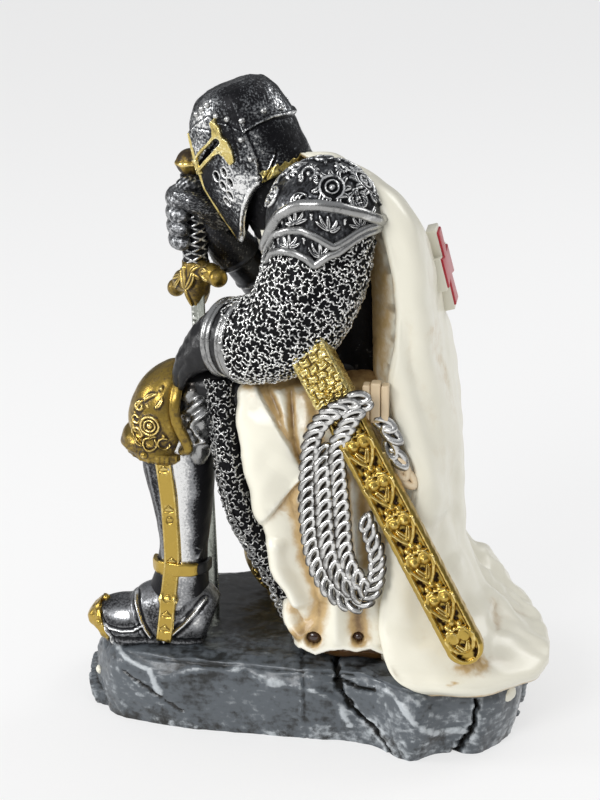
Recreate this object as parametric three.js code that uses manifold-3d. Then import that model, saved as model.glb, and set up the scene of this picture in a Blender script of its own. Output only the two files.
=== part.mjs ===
// Kneeling medieval knight: a painted cast-resin figurine on its rock, about 160 mm tall.
// The knight faces -X and its left side is -Y. +Z is up, and the origin is on the flat
// underside of the rock. One casting holds the knight, the cape, the scabbard, the chains
// and the rock; the sword is a casting of its own, held in the right fist and leaning on the rock.
// All lengths are millimetres.
import * as THREE from 'three';
import { mergeVertices } from 'three/addons/utils/BufferGeometryUtils.js';
import Module from 'manifold-3d';

const wasm = await Module();
wasm.setup();

// Driving dimensions of the whole work
const ROCK_LENGTH = 112;
const ROCK_DEPTH = 68;
const ROCK_HEIGHT = 19;
const ROCK_CENTRE = [1.7, 2.5];
const CRACK_WIDTH = 2.4;
const CRACK_DEPTH = 4;
const CASTING_GAP = 0.3;

// The raised left leg
const LEG_Y = -15;
const SHIN_RADIUS = 6.8;
const THIGH_RADIUS = 11;
const KNEE = [-31.6, LEG_Y, 78];
const BOOT_TOE_X = -49.9;
const BOOT_HEEL_X = -19.9;
const STRAP_WIDTH = 3.4;
const STRAP_PROUD = 0.8;

// The kneeling right leg
const KNEELING_KNEE = [-8.5, 18, 27];
const KNEELING_TURN = -52;
const KNEELING_SCALE = 0.86;

// Trunk, shoulders and arms. The right shoulder hangs lower and further forward than the left one
const HIP = [12, 0, 74];
const LEFT_SHOULDER = [9, -25, 129];
const RIGHT_SHOULDER = [-1.5, 23.5, 114];
const SHOULDER_SLUMP = 0.28;
const SHOULDER_TWIST = 0.17;
const SLEEVE_RADIUS = 12.2;
const CUFF_RADIUS = 10.6;
const CUFF_RIDGE = 1.3;
const CUFF_PITCH = 3.2;
const PAULDRON_RADII = [14.6, 13, 14.6];
const PAULDRON_ROLL = 1.3;
const LAME_DROP = 4.4;
const LAME_POINT = 4.2;
const LAME_ROLL = 1.4;

// The helm: its own frame leans forward by HELM_LEAN about the middle of its lower skull
const HELM_CENTRE = [-12.9, 0, 144.4];
const HELM_LEAN = 21;
const HELM_RIM_DROP = 11;
const HELM_CHIN_DROP = 24.3;
const HELM_PROW = 1.5;
const HELM_BAND_LEVEL = 3.4;
const HELM_BAND_SLOPE = 3.5;
const HELM_BAND_WIDTH = 1.8;
const HELM_BAND_PROUD = 0.7;

// The sword
const SWORD_FOOT = [-22.4, 1, ROCK_HEIGHT - 1];
const SWORD_TOP = [-26.9, 2, 136.4];
const SWORD_TURN = 40;
const POMMEL_RADIUS = 3.9;
const GRIP_RADIUS = 2.6;
const GRIP_LENGTH = 20;
const GUARD_HALF_SPAN = 10;
const GUARD_DROOP = 2.6;
const GUARD_TILT = 3;
const BLADE_WIDTH = 6.6;
const BLADE_THICKNESS = 2.2;

// The scabbard and its locket
const SCABBARD_TOP = [8, -32.5, 98.5];
const SCABBARD_FOOT = [46.6, -37.5, 27];
const SCABBARD_WIDTH = 8.8;
const SCABBARD_THICKNESS = 4.4;
const LOCKET_LENGTH = 14;
const LOCKET_WIDTH = 9.8;

// The flap of the surcoat that folds back over the left thigh: its outline in x and z
const FLAP = [[-12, 89], [-4, 85.5], [6.4, 66.4], [1.5, 60.4], [-2.4, 53], [-4, 44], [-7, 55], [-10, 70]];
const FLAP_THICKNESS = 2;

// The cross on the back of the cape
const CROSS_CENTRE = [33, 1, 112.5];
const CROSS_HEIGHT = 20;
const CROSS_SPAN = 18;
const CROSS_ARM = 6.4;
const CROSS_THICKNESS = 5;
const CROSS_LEAN = 15;

const V = (x, y, z) => new THREE.Vector3(x, y, z);
const rad = (degrees) => THREE.MathUtils.degToRad(degrees);
const mix = (a, b, t) => a + (b - a) * t;
const smooth = (low, high, value) => THREE.MathUtils.smoothstep(value, low, high);
const power = (value, exponent) => Math.sign(value) * Math.abs(value) ** exponent;

/** A closed body skinned over rings of equal length, with a fan over each end ring. */
function skin(rings) {
  const sides = rings[0].length;
  const points = rings.flat();
  const index = [];
  for (let r = 0; r < rings.length - 1; r += 1) {
    for (let i = 0; i < sides; i += 1) {
      const a = r * sides + i;
      const b = r * sides + ((i + 1) % sides);
      index.push(a, b, b + sides, a, b + sides, a + sides);
    }
  }
  [0, rings.length - 1].forEach((r, end) => {
    const hub = points.length;
    points.push(rings[r].reduce((sum, p) => sum.add(p), V(0, 0, 0)).divideScalar(sides));
    for (let i = 0; i < sides; i += 1) {
      const a = r * sides + i;
      const b = r * sides + ((i + 1) % sides);
      index.push(...(end ? [a, b, hub] : [b, a, hub]));
    }
  });
  const geometry = new THREE.BufferGeometry().setFromPoints(points);
  geometry.setIndex(index);
  return geometry;
}

/** Signed volume of an indexed geometry, negative where its faces point in. */
function signedVolume(vertices, triangles) {
  const corner = (i) => V(...vertices.slice(3 * i, 3 * i + 3));
  let sum = 0;
  for (let t = 0; t < triangles.length; t += 3) {
    const [a, b, c] = [corner(triangles[t]), corner(triangles[t + 1]), corner(triangles[t + 2])];
    sum += a.dot(b.cross(c)) / 6;
  }
  return sum;
}

/** A manifold solid from any closed three.js geometry, its faces turned to point out. */
function solid(geometry) {
  const bare = geometry.clone();
  bare.deleteAttribute('normal');
  bare.deleteAttribute('uv');
  const merged = mergeVertices(bare, 1e-4);
  const vertProperties = Float32Array.from(merged.attributes.position.array);
  const triVerts = Uint32Array.from(merged.index.array);
  if (signedVolume(vertProperties, triVerts) < 0) {
    for (let t = 0; t < triVerts.length; t += 3) {
      [triVerts[t], triVerts[t + 1]] = [triVerts[t + 1], triVerts[t]];
    }
  }
  return new wasm.Manifold(new wasm.Mesh({ numProp: 3, vertProperties, triVerts }));
}

/** The union of several manifold solids. */
const join = (solids) => solids.reduce((whole, piece) => whole.add(piece));

/** A three.js geometry from a manifold solid. */
function geometryOf(manifold) {
  const mesh = manifold.getMesh();
  const geometry = new THREE.BufferGeometry();
  geometry.setAttribute('position', new THREE.BufferAttribute(Float32Array.from(mesh.vertProperties), 3));
  geometry.setIndex(new THREE.BufferAttribute(Uint32Array.from(mesh.triVerts), 1));
  return geometry;
}

/**
 * A limb: stations are [x, y, z, radius in its bending plane, radius across], joined by a smooth
 * curve. Across is the side of the limb nearest to the given direction.
 */
function limb(stations, { sides = 12, steps = 1, across = V(0, 1, 0), square = 1 } = {}) {
  const path = new THREE.CatmullRomCurve3(stations.map((s) => V(s[0], s[1], s[2])), false, 'catmullrom', 0.5);
  const radii = new THREE.CatmullRomCurve3(stations.map((s) => V(s[3], s[4], 0)), false, 'catmullrom', 0.5);
  const count = (stations.length - 1) * steps;
  const rings = [];
  for (let r = 0; r <= count; r += 1) {
    const centre = path.getPoint(r / count);
    const tangent = path.getTangent(r / count);
    const side = across.clone().addScaledVector(tangent, -across.dot(tangent)).normalize();
    const front = side.clone().cross(tangent);
    const size = radii.getPoint(r / count);
    rings.push(Array.from({ length: sides }, (_, i) => {
      const angle = (2 * Math.PI * i) / sides;
      return centre.clone()
        .addScaledVector(front, size.x * power(Math.cos(angle), square))
        .addScaledVector(side, size.y * power(Math.sin(angle), square));
    }));
  }
  return solid(skin(rings));
}

/** A tube of one radius through the given points. */
const tube = (points, radius, options = {}) => (
  limb(points.map((p) => [...p, radius, radius]), { sides: 6, ...options })
);

/** An ellipsoid at a place, turned by Euler angles in degrees. */
function ellipsoid(centre, radii, turn = [0, 0, 0], detail = [14, 8]) {
  const ball = new THREE.SphereGeometry(1, ...detail);
  ball.scale(...radii);
  ball.applyMatrix4(new THREE.Matrix4().makeRotationFromEuler(new THREE.Euler(...turn.map(rad))));
  ball.translate(...centre);
  return solid(ball);
}

/** A box given by its size, centre and Euler turn in degrees. */
function block(size, centre, turn = [0, 0, 0]) {
  const box = new THREE.BoxGeometry(...size);
  box.applyMatrix4(new THREE.Matrix4().makeRotationFromEuler(new THREE.Euler(...turn.map(rad))));
  box.translate(...centre);
  return solid(box);
}

/** Linear look-up in rows of [key, value, value ...], sorted by rising key. */
function rowAt(rows, key) {
  const last = rows.length - 1;
  const k = THREE.MathUtils.clamp(key, rows[0][0], rows[last][0]);
  const i = Math.min(last - 1, Math.max(0, rows.findIndex((row) => row[0] >= k) - 1));
  const t = (k - rows[i][0]) / (rows[i + 1][0] - rows[i][0]);
  return rows[i].map((value, n) => mix(value, rows[i + 1][n], t));
}

/** The broken outline of the rock in plan, at a height given as a share of its own height. */
function rockPoint(turn, level) {
  const angle = 2 * Math.PI * turn;
  const bulge = Math.sin(Math.PI * Math.min(1, level * 0.9 + 0.14));
  const chips = 0.028 * Math.sin(5 * angle + 1.1) + 0.022 * Math.sin(9 * angle + 3 * level)
    + 0.03 * smooth(0.35, 0.95, Math.cos(angle + 1.05));
  const reach = (0.93 + 0.07 * bulge + chips);
  const x = 0.5 * ROCK_LENGTH * reach * power(Math.cos(angle), 0.8);
  const y = 0.5 * ROCK_DEPTH * reach * power(Math.sin(angle), 0.8);
  return [ROCK_CENTRE[0] + x, ROCK_CENTRE[1] + y];
}

/** The rock: a low slab with broken sides, a flat underside and a crack at two places in its front. */
function rock() {
  const levels = [0, 0.3, 0.8, 1];
  const sides = 34;
  const rings = levels.map((level) => Array.from({ length: sides }, (_, i) => {
    const [x, y] = rockPoint(i / sides, level);
    const inset = level === 1 ? 0.94 : 1;
    const bumps = level > 0.8 ? 0.7 * Math.sin(0.21 * x + 0.4) * Math.cos(0.17 * y) : 0;
    return V(ROCK_CENTRE[0] + (x - ROCK_CENTRE[0]) * inset, ROCK_CENTRE[1] + (y - ROCK_CENTRE[1]) * inset,
      level * ROCK_HEIGHT + bumps);
  }));
  const slab = solid(skin(rings));
  const front = ROCK_CENTRE[1] - ROCK_DEPTH / 2;
  const cracks = [[14, 12], [37, -14]].map(([x, lean]) => block(
    [CRACK_WIDTH, 2 * CRACK_DEPTH, 2 * ROCK_HEIGHT],
    [x, front, ROCK_HEIGHT * 0.55],
    [0, lean, 45],
  ));
  return cracks.reduce((stone, crack) => stone.subtract(crack), slab);
}

/** The left boot with its blunt toe, the greave above it and the two gilt straps. */
function frontLeg() {
  const foot = limb([
    [BOOT_TOE_X, LEG_Y, 21.6, 2.6, 3.2],
    [BOOT_TOE_X + 1.8, LEG_Y, 22.8, 4.6, 5.4],
    [BOOT_TOE_X + 5, LEG_Y, 23.4, 5.4, 6.8],
    [-40, LEG_Y, 24, 6.6, 7.2],
    [-34.5, LEG_Y, 26, 8.2, 7],
    [-28, LEG_Y, 27, 9.4, 6.8],
    [-22.6, LEG_Y, 26.4, 8.8, 6.2],
    [BOOT_HEEL_X, LEG_Y, 25.6, 5, 4.2],
  ], { square: 0.8 });
  const [low, high] = [38 - STRAP_WIDTH / 2, 38 + STRAP_WIDTH / 2];
  const greave = limb([
    [-27.4, LEG_Y, 31, 7.6, 6.6],
    [-26.9, LEG_Y, low - 0.4, 6.5, 6.1],
    [-26.9, LEG_Y, low, 6.5 + STRAP_PROUD, 6.1 + STRAP_PROUD],
    [-26.8, LEG_Y, high, 6.4 + STRAP_PROUD, 6.1 + STRAP_PROUD],
    [-26.8, LEG_Y, high + 0.4, 6.3, 6.1],
    [-26.4, LEG_Y, 55, SHIN_RADIUS, 6.9],
    [-27.6, LEG_Y, 66, 0.96 * SHIN_RADIUS, 7],
    [-28.4, LEG_Y, 74, 7, 7.4],
  ]);
  const spine = tube([
    [-33, LEG_Y - 4.6, 66],
    [-31.2, LEG_Y - 5.4, 54],
    [-30.6, LEG_Y - 5.2, 40],
    [-30.8, LEG_Y - 6.4, 30],
    [-31, LEG_Y - 6.9, 22],
  ], 1.7, { sides: 4 });
  return [foot, greave, spine];
}

/** A knee cop: a domed shell with a flared lower lip and a raised rim across its back. */
function poleyn(place, turn, size) {
  const settle = new THREE.Matrix4().makeRotationY(rad(turn))
    .scale(V(size, size, size)).setPosition(...place);
  const set = ([x, y, z, ...radii]) => [...V(x, y, z).applyMatrix4(settle), ...radii.map((r) => r * size)];
  const dome = limb([
    [4.4, 0, 12.2, 1.6, 3],
    [3.4, 0, 10.2, 4.4, 6.6],
    [1.8, 0, 5.2, 7.6, 9.2],
    [0.6, 0, -0.6, 9, 10],
    [0.6, 0, -4.8, 8.4, 9.4],
    [-1, 0, -7.4, 9.6, 10.6],
    [-1.6, 0, -10.4, 7.6, 8.6],
  ].map(set), { sides: 14 });
  const rim = limb([
    [6.8, -9.4, -9, 1.3, 1.3],
    [5, -10.4, 0, 1.4, 1.4],
    [4, -8.4, 7.6, 1.4, 1.4],
    [5.2, 0, 12.6, 1.4, 1.4],
    [4, 8.4, 7.6, 1.4, 1.4],
    [5, 10.4, 0, 1.4, 1.4],
    [6.8, 9.4, -9, 1.3, 1.3],
  ].map(set), { sides: 4, across: V(1, 0, 0) });
  return [dome, rim];
}

/** Moves a point of the upper body forward and down as it lies further to the right. */
function slump(point) {
  const share = smooth(92, 134, point.z);
  const reach = (point.y - LEFT_SHOULDER[1]) * share;
  return V(point.x - SHOULDER_TWIST * reach, point.y, point.z - SHOULDER_SLUMP * reach);
}

/** The body under the cloth: both thighs, the kneeling shin, the trunk and the mail hood. */
function body() {
  const leftThigh = limb([
    [KNEE[0] + 4, LEG_Y, 80, 9, 9],
    [-18, LEG_Y, 78.6, 9.8, 9.2],
    [-4, LEG_Y, 76, THIGH_RADIUS, 10.5],
    [HIP[0], -9, 76, THIGH_RADIUS + 1, THIGH_RADIUS],
  ], { sides: 10 });
  const rightThigh = limb([
    [HIP[0], 10, 70, 12, 11],
    [6, 14, 54, 10.5, 10],
    [-2, 17, 38, 9, 9],
    [KNEELING_KNEE[0] + 2, KNEELING_KNEE[1], 28, 8, 8],
  ], { sides: 8 });
  const rightShin = limb([
    [KNEELING_KNEE[0] + 2, KNEELING_KNEE[1], 26, 7.6, 7.6],
    [10, 18, 25, 7, 7],
    [32, 18, 24, 6.4, 6.4],
  ], { sides: 8 });
  const rings = [[13, 66, 13, 18], [13, 82, 12.4, 17.4], [12, 98, 12.4, 17], [10, 114, 13, 20],
    [8, 126, 12.4, 22], [7, 134, 8.6, 17], [6, 138, 4, 8]];
  const trunk = solid(skin(rings.map(([x, z, rx, ry]) => Array.from({ length: 12 }, (_, i) => {
    const angle = (2 * Math.PI * i) / 12;
    return slump(V(x + rx * power(Math.cos(angle), 0.8), ry * power(Math.sin(angle), 0.8), z));
  }))));
  const hood = limb([
    [5, 1, 116, 10, 12],
    [-2, 0.5, 126, 10.6, 11],
    [-8, 0, 136, 9, 9.6],
  ], { sides: 10 });
  return [leftThigh, rightThigh, rightShin, trunk, hood];
}

// The skirt of the surcoat by height: front edge on the left side, front edge on the right side,
// back, reach to the left and reach to the right.
const SKIRT = [
  [17, 8, -4, 28, 24, 24],
  [21, 4, -7, 30, 28.5, 27.5],
  [27, 1.3, -7.5, 29, 28, 27],
  [41, -3.5, -6.5, 28, 27, 25],
  [54, -7, -4.5, 27, 27, 23.5],
  [69, -9.8, -1, 26, 27.5, 22],
  [80, -11.5, 1, 25, 27, 20.5],
  [88, -12.2, 3, 24, 24, 18.5],
  [92, -5, 5, 20, 16, 14],
];

/** A point on the skirt: turn runs once around it. */
function skirtPoint(turn, z) {
  const [, frontLeft, frontRight, back, left, right] = rowAt(SKIRT, z);
  const angle = 2 * Math.PI * turn;
  const c = power(Math.cos(angle), 0.42);
  const s = power(Math.sin(angle), 0.42);
  const front = mix(frontLeft, frontRight, 0.5 + 0.5 * s);
  const x = mix(front, back, 0.5 + 0.5 * c);
  const y = s < 0 ? left * s : right * s;
  const fold = (1 - smooth(64, 90, z))
    * (0.8 * Math.sin(0.62 * x + 0.06 * z) + 0.5 * Math.sin(1.1 * x + 0.4 * y));
  return V(x + 0.4 * fold * Math.cos(angle), y + fold * Math.sin(angle), z);
}

/** The skirt of the surcoat, a solid mass of cloth from the lap down to the rock, and its flap. */
function skirt() {
  const levels = [17.5, 21, 29, 44, 64, 78, 87, 91.5];
  const sides = 24;
  const ring = (z) => Array.from({ length: sides }, (_, i) => skirtPoint(i / sides, z));
  const mass = solid(skin(levels.map(ring)));
  const outline = new THREE.Shape(FLAP.map(([x, z]) => new THREE.Vector2(x, z)));
  const flap = new THREE.ExtrudeGeometry(outline, { depth: FLAP_THICKNESS + 4, bevelEnabled: false });
  flap.rotateX(Math.PI / 2);
  flap.translate(0, -SKIRT[5][4] + 4, 0);
  return [mass, solid(flap)];
}

// The cape by height: front edge, back, reach to the left and reach to the right.
const CAPE = [
  [16.5, 33, 57, 32, 31],
  [19.5, 31, 61.5, 37, 35],
  [25, 26, 52.5, 35, 33],
  [33, 22, 45.4, 32.5, 31],
  [45, 20, 41.4, 31, 29],
  [60, 20, 40.6, 30.4, 28],
  [75, 20, 40, 30, 27],
  [90, 20, 38.2, 29, 26],
  [105, 20, 35.8, 28.4, 25],
  [118, 20, 35.6, 28, 24.5],
  [128, 17, 33.8, 27, 23.5],
  [136, 13, 28.6, 24.5, 21],
  [142, 8, 22, 19, 16],
  [146, 3, 14, 10, 9],
];

/** A point on the cape: across runs from its left front edge round the back to its right one. */
function capePoint(across, z) {
  const [, front, back, left, right] = rowAt(CAPE, z);
  const angle = Math.PI * across;
  const x = front + (back - front) * power(Math.sin(angle), 0.7);
  const y = -(across < 0.5 ? left : right) * power(Math.cos(angle), 0.8);
  const low = 1 - smooth(20, 110, z);
  const fold = low * Math.sin(angle)
    * (1.5 * Math.sin(5 * angle + 0.8) + 0.9 * Math.sin(9 * angle + 0.02 * z));
  return slump(V(x + fold * Math.sin(angle), y - fold * Math.cos(angle), z));
}

/** The cape as a solid mass behind the knight, with the foot that lifts its right side. */
function cape() {
  const levels = [16.5, 19.5, 26, 38, 60, 84, 106, 120, 130, 138, 143, 146];
  const sides = 20;
  const ring = (z) => Array.from({ length: sides }, (_, i) => capePoint(i / (sides - 1), z));
  const mass = solid(skin(levels.map(ring)));
  const hiddenFoot = ellipsoid([46, 21, 19], [11.5, 9, 10.5], [0, 0, 0], [12, 8]);
  return [mass, hiddenFoot];
}

/** The mail skirt that shows in front of the surcoat on the left side. */
function mailStrip() {
  return limb([
    [-17, -18, 87, 4.4, 7.6],
    [-16.6, -19.6, 71, 4.2, 6],
    [-12, -20, 48, 4.2, 5.4],
    [-3.4, -20, 29.5, 3.8, 5.2],
    [1.6, -20, 19, 4, 5.2],
  ], { sides: 10, steps: 2 });
}

/** A shoulder in one skin: the pauldron's dome, its rolled edge and two lames that hang to a point. */
function shoulder([x, y, z]) {
  const side = Math.sign(y);
  const [rx, ry, rz] = PAULDRON_RADII;
  const sides = 14;
  const around = (place) => Array.from({ length: sides }, (_, i) => {
    const angle = (2 * Math.PI * i) / sides;
    const [scale, rise] = place(angle);
    return V(x + rx * scale * Math.cos(angle), y + ry * scale * Math.sin(angle), z + rise);
  });
  const outside = (angle) => Math.max(0, side * Math.sin(angle));
  // The dome's edge arches up over the outside of the arm
  const arch = (angle) => 2 + 3.4 * outside(angle) ** 1.5;
  const dome = [0.16, 0.42, 0.7, 0.9, 1].map((share) => around((angle) => [
    Math.sin((share * Math.PI) / 2),
    mix(arch(angle), rz, Math.cos((share * Math.PI) / 2)),
  ]));
  const roll = [[1 + PAULDRON_ROLL / rx, 0], [1, -PAULDRON_ROLL], [0.93, -0.2]]
    .map(([scale, drop]) => around((angle) => [scale, arch(angle) + drop]));
  const lames = [1, 2].flatMap((n) => {
    const point = (angle) => (
      outside(angle) * Math.max(0, 1 - 1.5 * Math.abs(Math.cos(angle) - 0.35 + 0.2 * n))
    );
    const lower = (angle) => 3.4 - LAME_DROP * n - LAME_POINT * point(angle);
    const reach = 1 - 0.05 * n;
    return [[reach, LAME_ROLL], [reach, 0], [reach - 0.1, 0.3]]
      .map(([scale, rise]) => around((angle) => [scale, lower(angle) + rise]));
  });
  return solid(skin([...dome, ...roll, ...lames]));
}

/** The left arm: a mail sleeve bent at the elbow, its two-ringed cuff, and the glove on the knee. */
function leftArm() {
  const cuff = [0, 1].flatMap((n) => [[0, 0], [0.4, 1], [1.8, 1], [2.2, 0]].map(([along, proud]) => {
    const t = CUFF_PITCH * n + along;
    const r = CUFF_RADIUS - CUFF_RIDGE * (1 - proud) - 0.16 * t;
    return [-11 - t, -23.6 + 0.36 * t, 99.6 - 0.08 * t, r, r];
  }));
  const sleeve = limb([
    [9, -23.5, 130, 0.95 * SLEEVE_RADIUS, 10.4],
    [8.2, -24.4, 124, SLEEVE_RADIUS, 10.5],
    [7.2, -25.2, 118, SLEEVE_RADIUS, 10.6],
    [5.4, -26.2, 112, 0.98 * SLEEVE_RADIUS, 10.7],
    [2.6, -26.6, 106.6, 0.94 * SLEEVE_RADIUS, 10.8],
    [-1.5, -26.4, 103, 11, 10.6],
    [-6, -25.2, 101, 10.4, 10.3],
    ...cuff,
  ], { sides: 14 });
  const glove = limb([
    [-15, -22, 98, 8, 8],
    [-19, -21.4, 96.6, 6.6, 7.4],
    [-22.8, -20.4, 94, 4.6, 7],
    [-25.2, -19.4, 90, 3, 6.4],
    [-26, -19, 86.4, 2, 5.4],
  ], { sides: 10 });
  return [sleeve, glove];
}

/** The right arm, reaching across to the sword: sleeve, vambrace with its bell cuff, and fist. */
function rightArm() {
  const [x, y, z] = RIGHT_SHOULDER;
  const sleeve = limb([
    [x, y - 1, z + 2, 11.4, 10.4],
    [x - 0.5, y + 1, z - 10, 10.6, 10.4],
    [x - 2, y, z - 16, 9.8, 10],
    [x - 4.6, y - 3, z - 19, 9, 9.2],
    [-8.4, 17.6, 97.6, 7.8, 8],
  ], { sides: 12 });
  const forearm = limb([
    [-6.4, 19.6, 96.6, 6.4, 6.4],
    [-11, 14.4, 102.8, 6.2, 6.2],
    [-13.6, 11.4, 106.8, 6, 6],
    [-14, 11, 107.6, 7.4, 7.4],
    [-17.6, 7.2, 114.4, 6.4, 6.4],
    [-20.6, 4.6, 120, 5.2, 5.6],
    [-22.6, 3, 124, 4.6, 5.4],
  ]);
  // Four fingers closed round the grip, one above the other
  const fingers = limb(Array.from({ length: 9 }, (_, i) => {
    const swell = i % 2 ? 1 : 0.8;
    return [-27.2 + 0.12 * i, 1.6, 132 - 2 * i, 5.4 * swell, 4.9 * swell];
  }), { sides: 10 });
  const thumb = limb([
    [-20.4, 2.6, 126.6, 2.5, 2.8],
    [-23.4, -1.8, 129, 2.2, 2.4],
    [-28.6, -2.8, 130, 1.9, 2],
  ], { sides: 6, across: V(0, 0, 1) });
  return [sleeve, forearm, fingers, thumb];
}

// The helm by height in its own frame: reach forward, reach back and half the width.
const HELM = [
  [-HELM_CHIN_DROP, 9.4, 13.6, 11],
  [-8.6, 13, 13.6, 11.2],
  [0, 12.4, 13.3, 11],
  [4, 11.4, 12.3, 10.5],
  [8, 9.2, 11, 9.6],
  [10.6, 6.8, 10.2, 8.4],
  [12, 3.5, 9, 6.4],
  [12.8, 0.4, 7, 4],
];

/** A point of the helm: angle 0 is the prow, and spread moves the point out from the shell. */
function helmPoint(angle, level, spread = 0) {
  const [, forward, back, half] = rowAt(HELM, level);
  const ridge = HELM_PROW * Math.max(0, 1 - 2 * Math.abs(Math.sin(angle))) * (Math.cos(angle) > 0 ? 1 : 0);
  const f = (Math.cos(angle) > 0 ? forward : back) * Math.cos(angle) + spread * Math.cos(angle) + ridge;
  const s = (half + spread) * Math.sin(angle);
  const lean = rad(HELM_LEAN);
  return V(HELM_CENTRE[0] - f * Math.cos(lean) - level * Math.sin(lean), HELM_CENTRE[1] + s,
    HELM_CENTRE[2] - f * Math.sin(lean) + level * Math.cos(lean));
}

/** The great helm with its brow band, from the rim that runs down to the chin up to the crown. */
function helm() {
  const sides = 22;
  const rim = (a) => -HELM_RIM_DROP - (HELM_CHIN_DROP - HELM_RIM_DROP) * Math.max(0, Math.cos(a)) ** 2.2;
  const band = (a) => HELM_BAND_LEVEL + HELM_BAND_SLOPE * Math.cos(a);
  const half = HELM_BAND_WIDTH / 2;
  const rows = [
    [(a) => rim(a) + 1.6, -2], [rim, -0.9], [rim, 0], [(a) => mix(rim(a), band(a), 0.5), 0],
    [(a) => band(a) - half, 0], [(a) => band(a) - half, HELM_BAND_PROUD],
    [(a) => band(a) + half, HELM_BAND_PROUD], [(a) => band(a) + half, 0],
    [(a) => mix(band(a), 12, 0.55), 0], [() => 11.6, 0], [() => 12.8, 0],
  ];
  return solid(skin(rows.map(([level, spread]) => Array.from({ length: sides }, (_, i) => {
    const angle = (2 * Math.PI * i) / sides;
    return helmPoint(angle, level(angle), spread);
  }))));
}

/** A flat cross with flared arms, extruded by its thickness, that faces +Z before it is placed. */
function crossShape(height, span, arm) {
  const flare = 1.25;
  const [h, s, a, b] = [height / 2, span / 2, arm / 2, (arm / 2) * flare];
  const quarter = [[b, h], [a, a], [s, b]];
  const shape = new THREE.Shape();
  const points = [];
  [[1, 1], [1, -1], [-1, -1], [-1, 1]].forEach(([sx, sy]) => {
    const corner = quarter.map(([x, y]) => [sx * x, sy * y]);
    points.push(...(sx * sy > 0 ? corner : corner.reverse()));
  });
  points.forEach(([x, y], i) => (i ? shape.lineTo(x, y) : shape.moveTo(x, y)));
  shape.closePath();
  return shape;
}

/** The raised cross on the back of the cape. */
function backCross() {
  const cross = new THREE.ExtrudeGeometry(crossShape(CROSS_HEIGHT, CROSS_SPAN, CROSS_ARM), {
    depth: CROSS_THICKNESS, bevelEnabled: false,
  });
  cross.rotateX(Math.PI / 2);
  cross.rotateZ(Math.PI / 2);
  cross.rotateY(rad(-CROSS_LEAN));
  cross.translate(CROSS_CENTRE[0] - CROSS_THICKNESS / 2, CROSS_CENTRE[1], CROSS_CENTRE[2]);
  return solid(cross);
}

/** A point on the scabbard's axis, in millimetres down from its top. */
function scabbardAt(length, out = 0) {
  const top = V(...SCABBARD_TOP);
  const axis = V(...SCABBARD_FOOT).sub(top).normalize();
  const point = top.addScaledVector(axis, length);
  return [point.x, point.y - out, point.z];
}

/** The scabbard with its woven locket, and the chain bundle and belt tab beside it. */
function scabbardAndChains() {
  const full = V(...SCABBARD_FOOT).distanceTo(V(...SCABBARD_TOP));
  const [w, t] = [SCABBARD_WIDTH / 2, SCABBARD_THICKNESS / 2];
  const flat = { sides: 12, square: 0.62 };
  const sheath = limb([
    [...scabbardAt(-6), LOCKET_WIDTH / 2, t + 0.8],
    [...scabbardAt(LOCKET_LENGTH), LOCKET_WIDTH / 2, t + 0.8],
    [...scabbardAt(LOCKET_LENGTH + 0.4), w, t],
    [...scabbardAt(full * 0.6), w * 1.02, t],
    [...scabbardAt(full - 3), w * 1.04, t],
    [...scabbardAt(full - 0.4), w * 0.84, t * 0.92],
    [...scabbardAt(full + 1.6), w * 0.4, t * 0.7],
  ], flat);
  const pad = limb([
    [...scabbardAt(0, -5), w - 1, 4],
    [...scabbardAt(full - 7, -4), w - 1, 3.4],
  ], { sides: 6 });
  // Each turn of chain is a tube whose waist is drawn in between the links
  const strand = (points, radius, links) => {
    const path = new THREE.CatmullRomCurve3(points.map((p) => V(...p)));
    return limb(Array.from({ length: 2 * links + 1 }, (_, i) => {
      const p = path.getPointAt(i / (2 * links));
      const r = i % 2 ? radius : radius * 0.74;
      return [p.x, p.y, p.z, r, r];
    }), { sides: 4 });
  };
  const hanging = [0, 1, 2].map((n) => strand([
    [17 - 1.5 * n, -36, 89 - 1.5 * n],
    [10.4 + 2.4 * n, -34.5, 84 - 3 * n],
    [7.4 + 3.2 * n, -32.5, 70],
    [9.4 + 3.4 * n, -32.5, 53 + n],
    [14.6 + 3.2 * n, -32.5, 41.6 + 2.6 * n],
    [22, -33, 38.6 + 4.6 * n],
  ], 1.9, 7));
  const returning = strand([
    [22, -33, 40],
    [26.4, -33, 42],
    [27.4, -33, 50],
    [24.6, -33, 60],
  ], 2, 4);
  const tab = block([5.4, 4, 10], [22, -29.4, 88.4], [0, 4, 0]);
  return [sheath, pad, ...hanging, returning, tab];
}

/** The direction of the sword's own axis and of its guard. */
function swordFrame() {
  const foot = V(...SWORD_FOOT);
  const axis = V(...SWORD_TOP).sub(foot).normalize();
  const turned = V(Math.sin(rad(SWORD_TURN)), -Math.cos(rad(SWORD_TURN)), 0);
  const across = turned.addScaledVector(axis, -turned.dot(axis)).normalize();
  return { foot, axis, across, length: V(...SWORD_TOP).distanceTo(foot) };
}

/** A station of the sword at a height along its axis, as limb() takes it. */
function swordStation({ foot, axis }, height, thick, wide) {
  const p = foot.clone().addScaledVector(axis, height);
  return [p.x, p.y, p.z, thick, wide];
}

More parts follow.
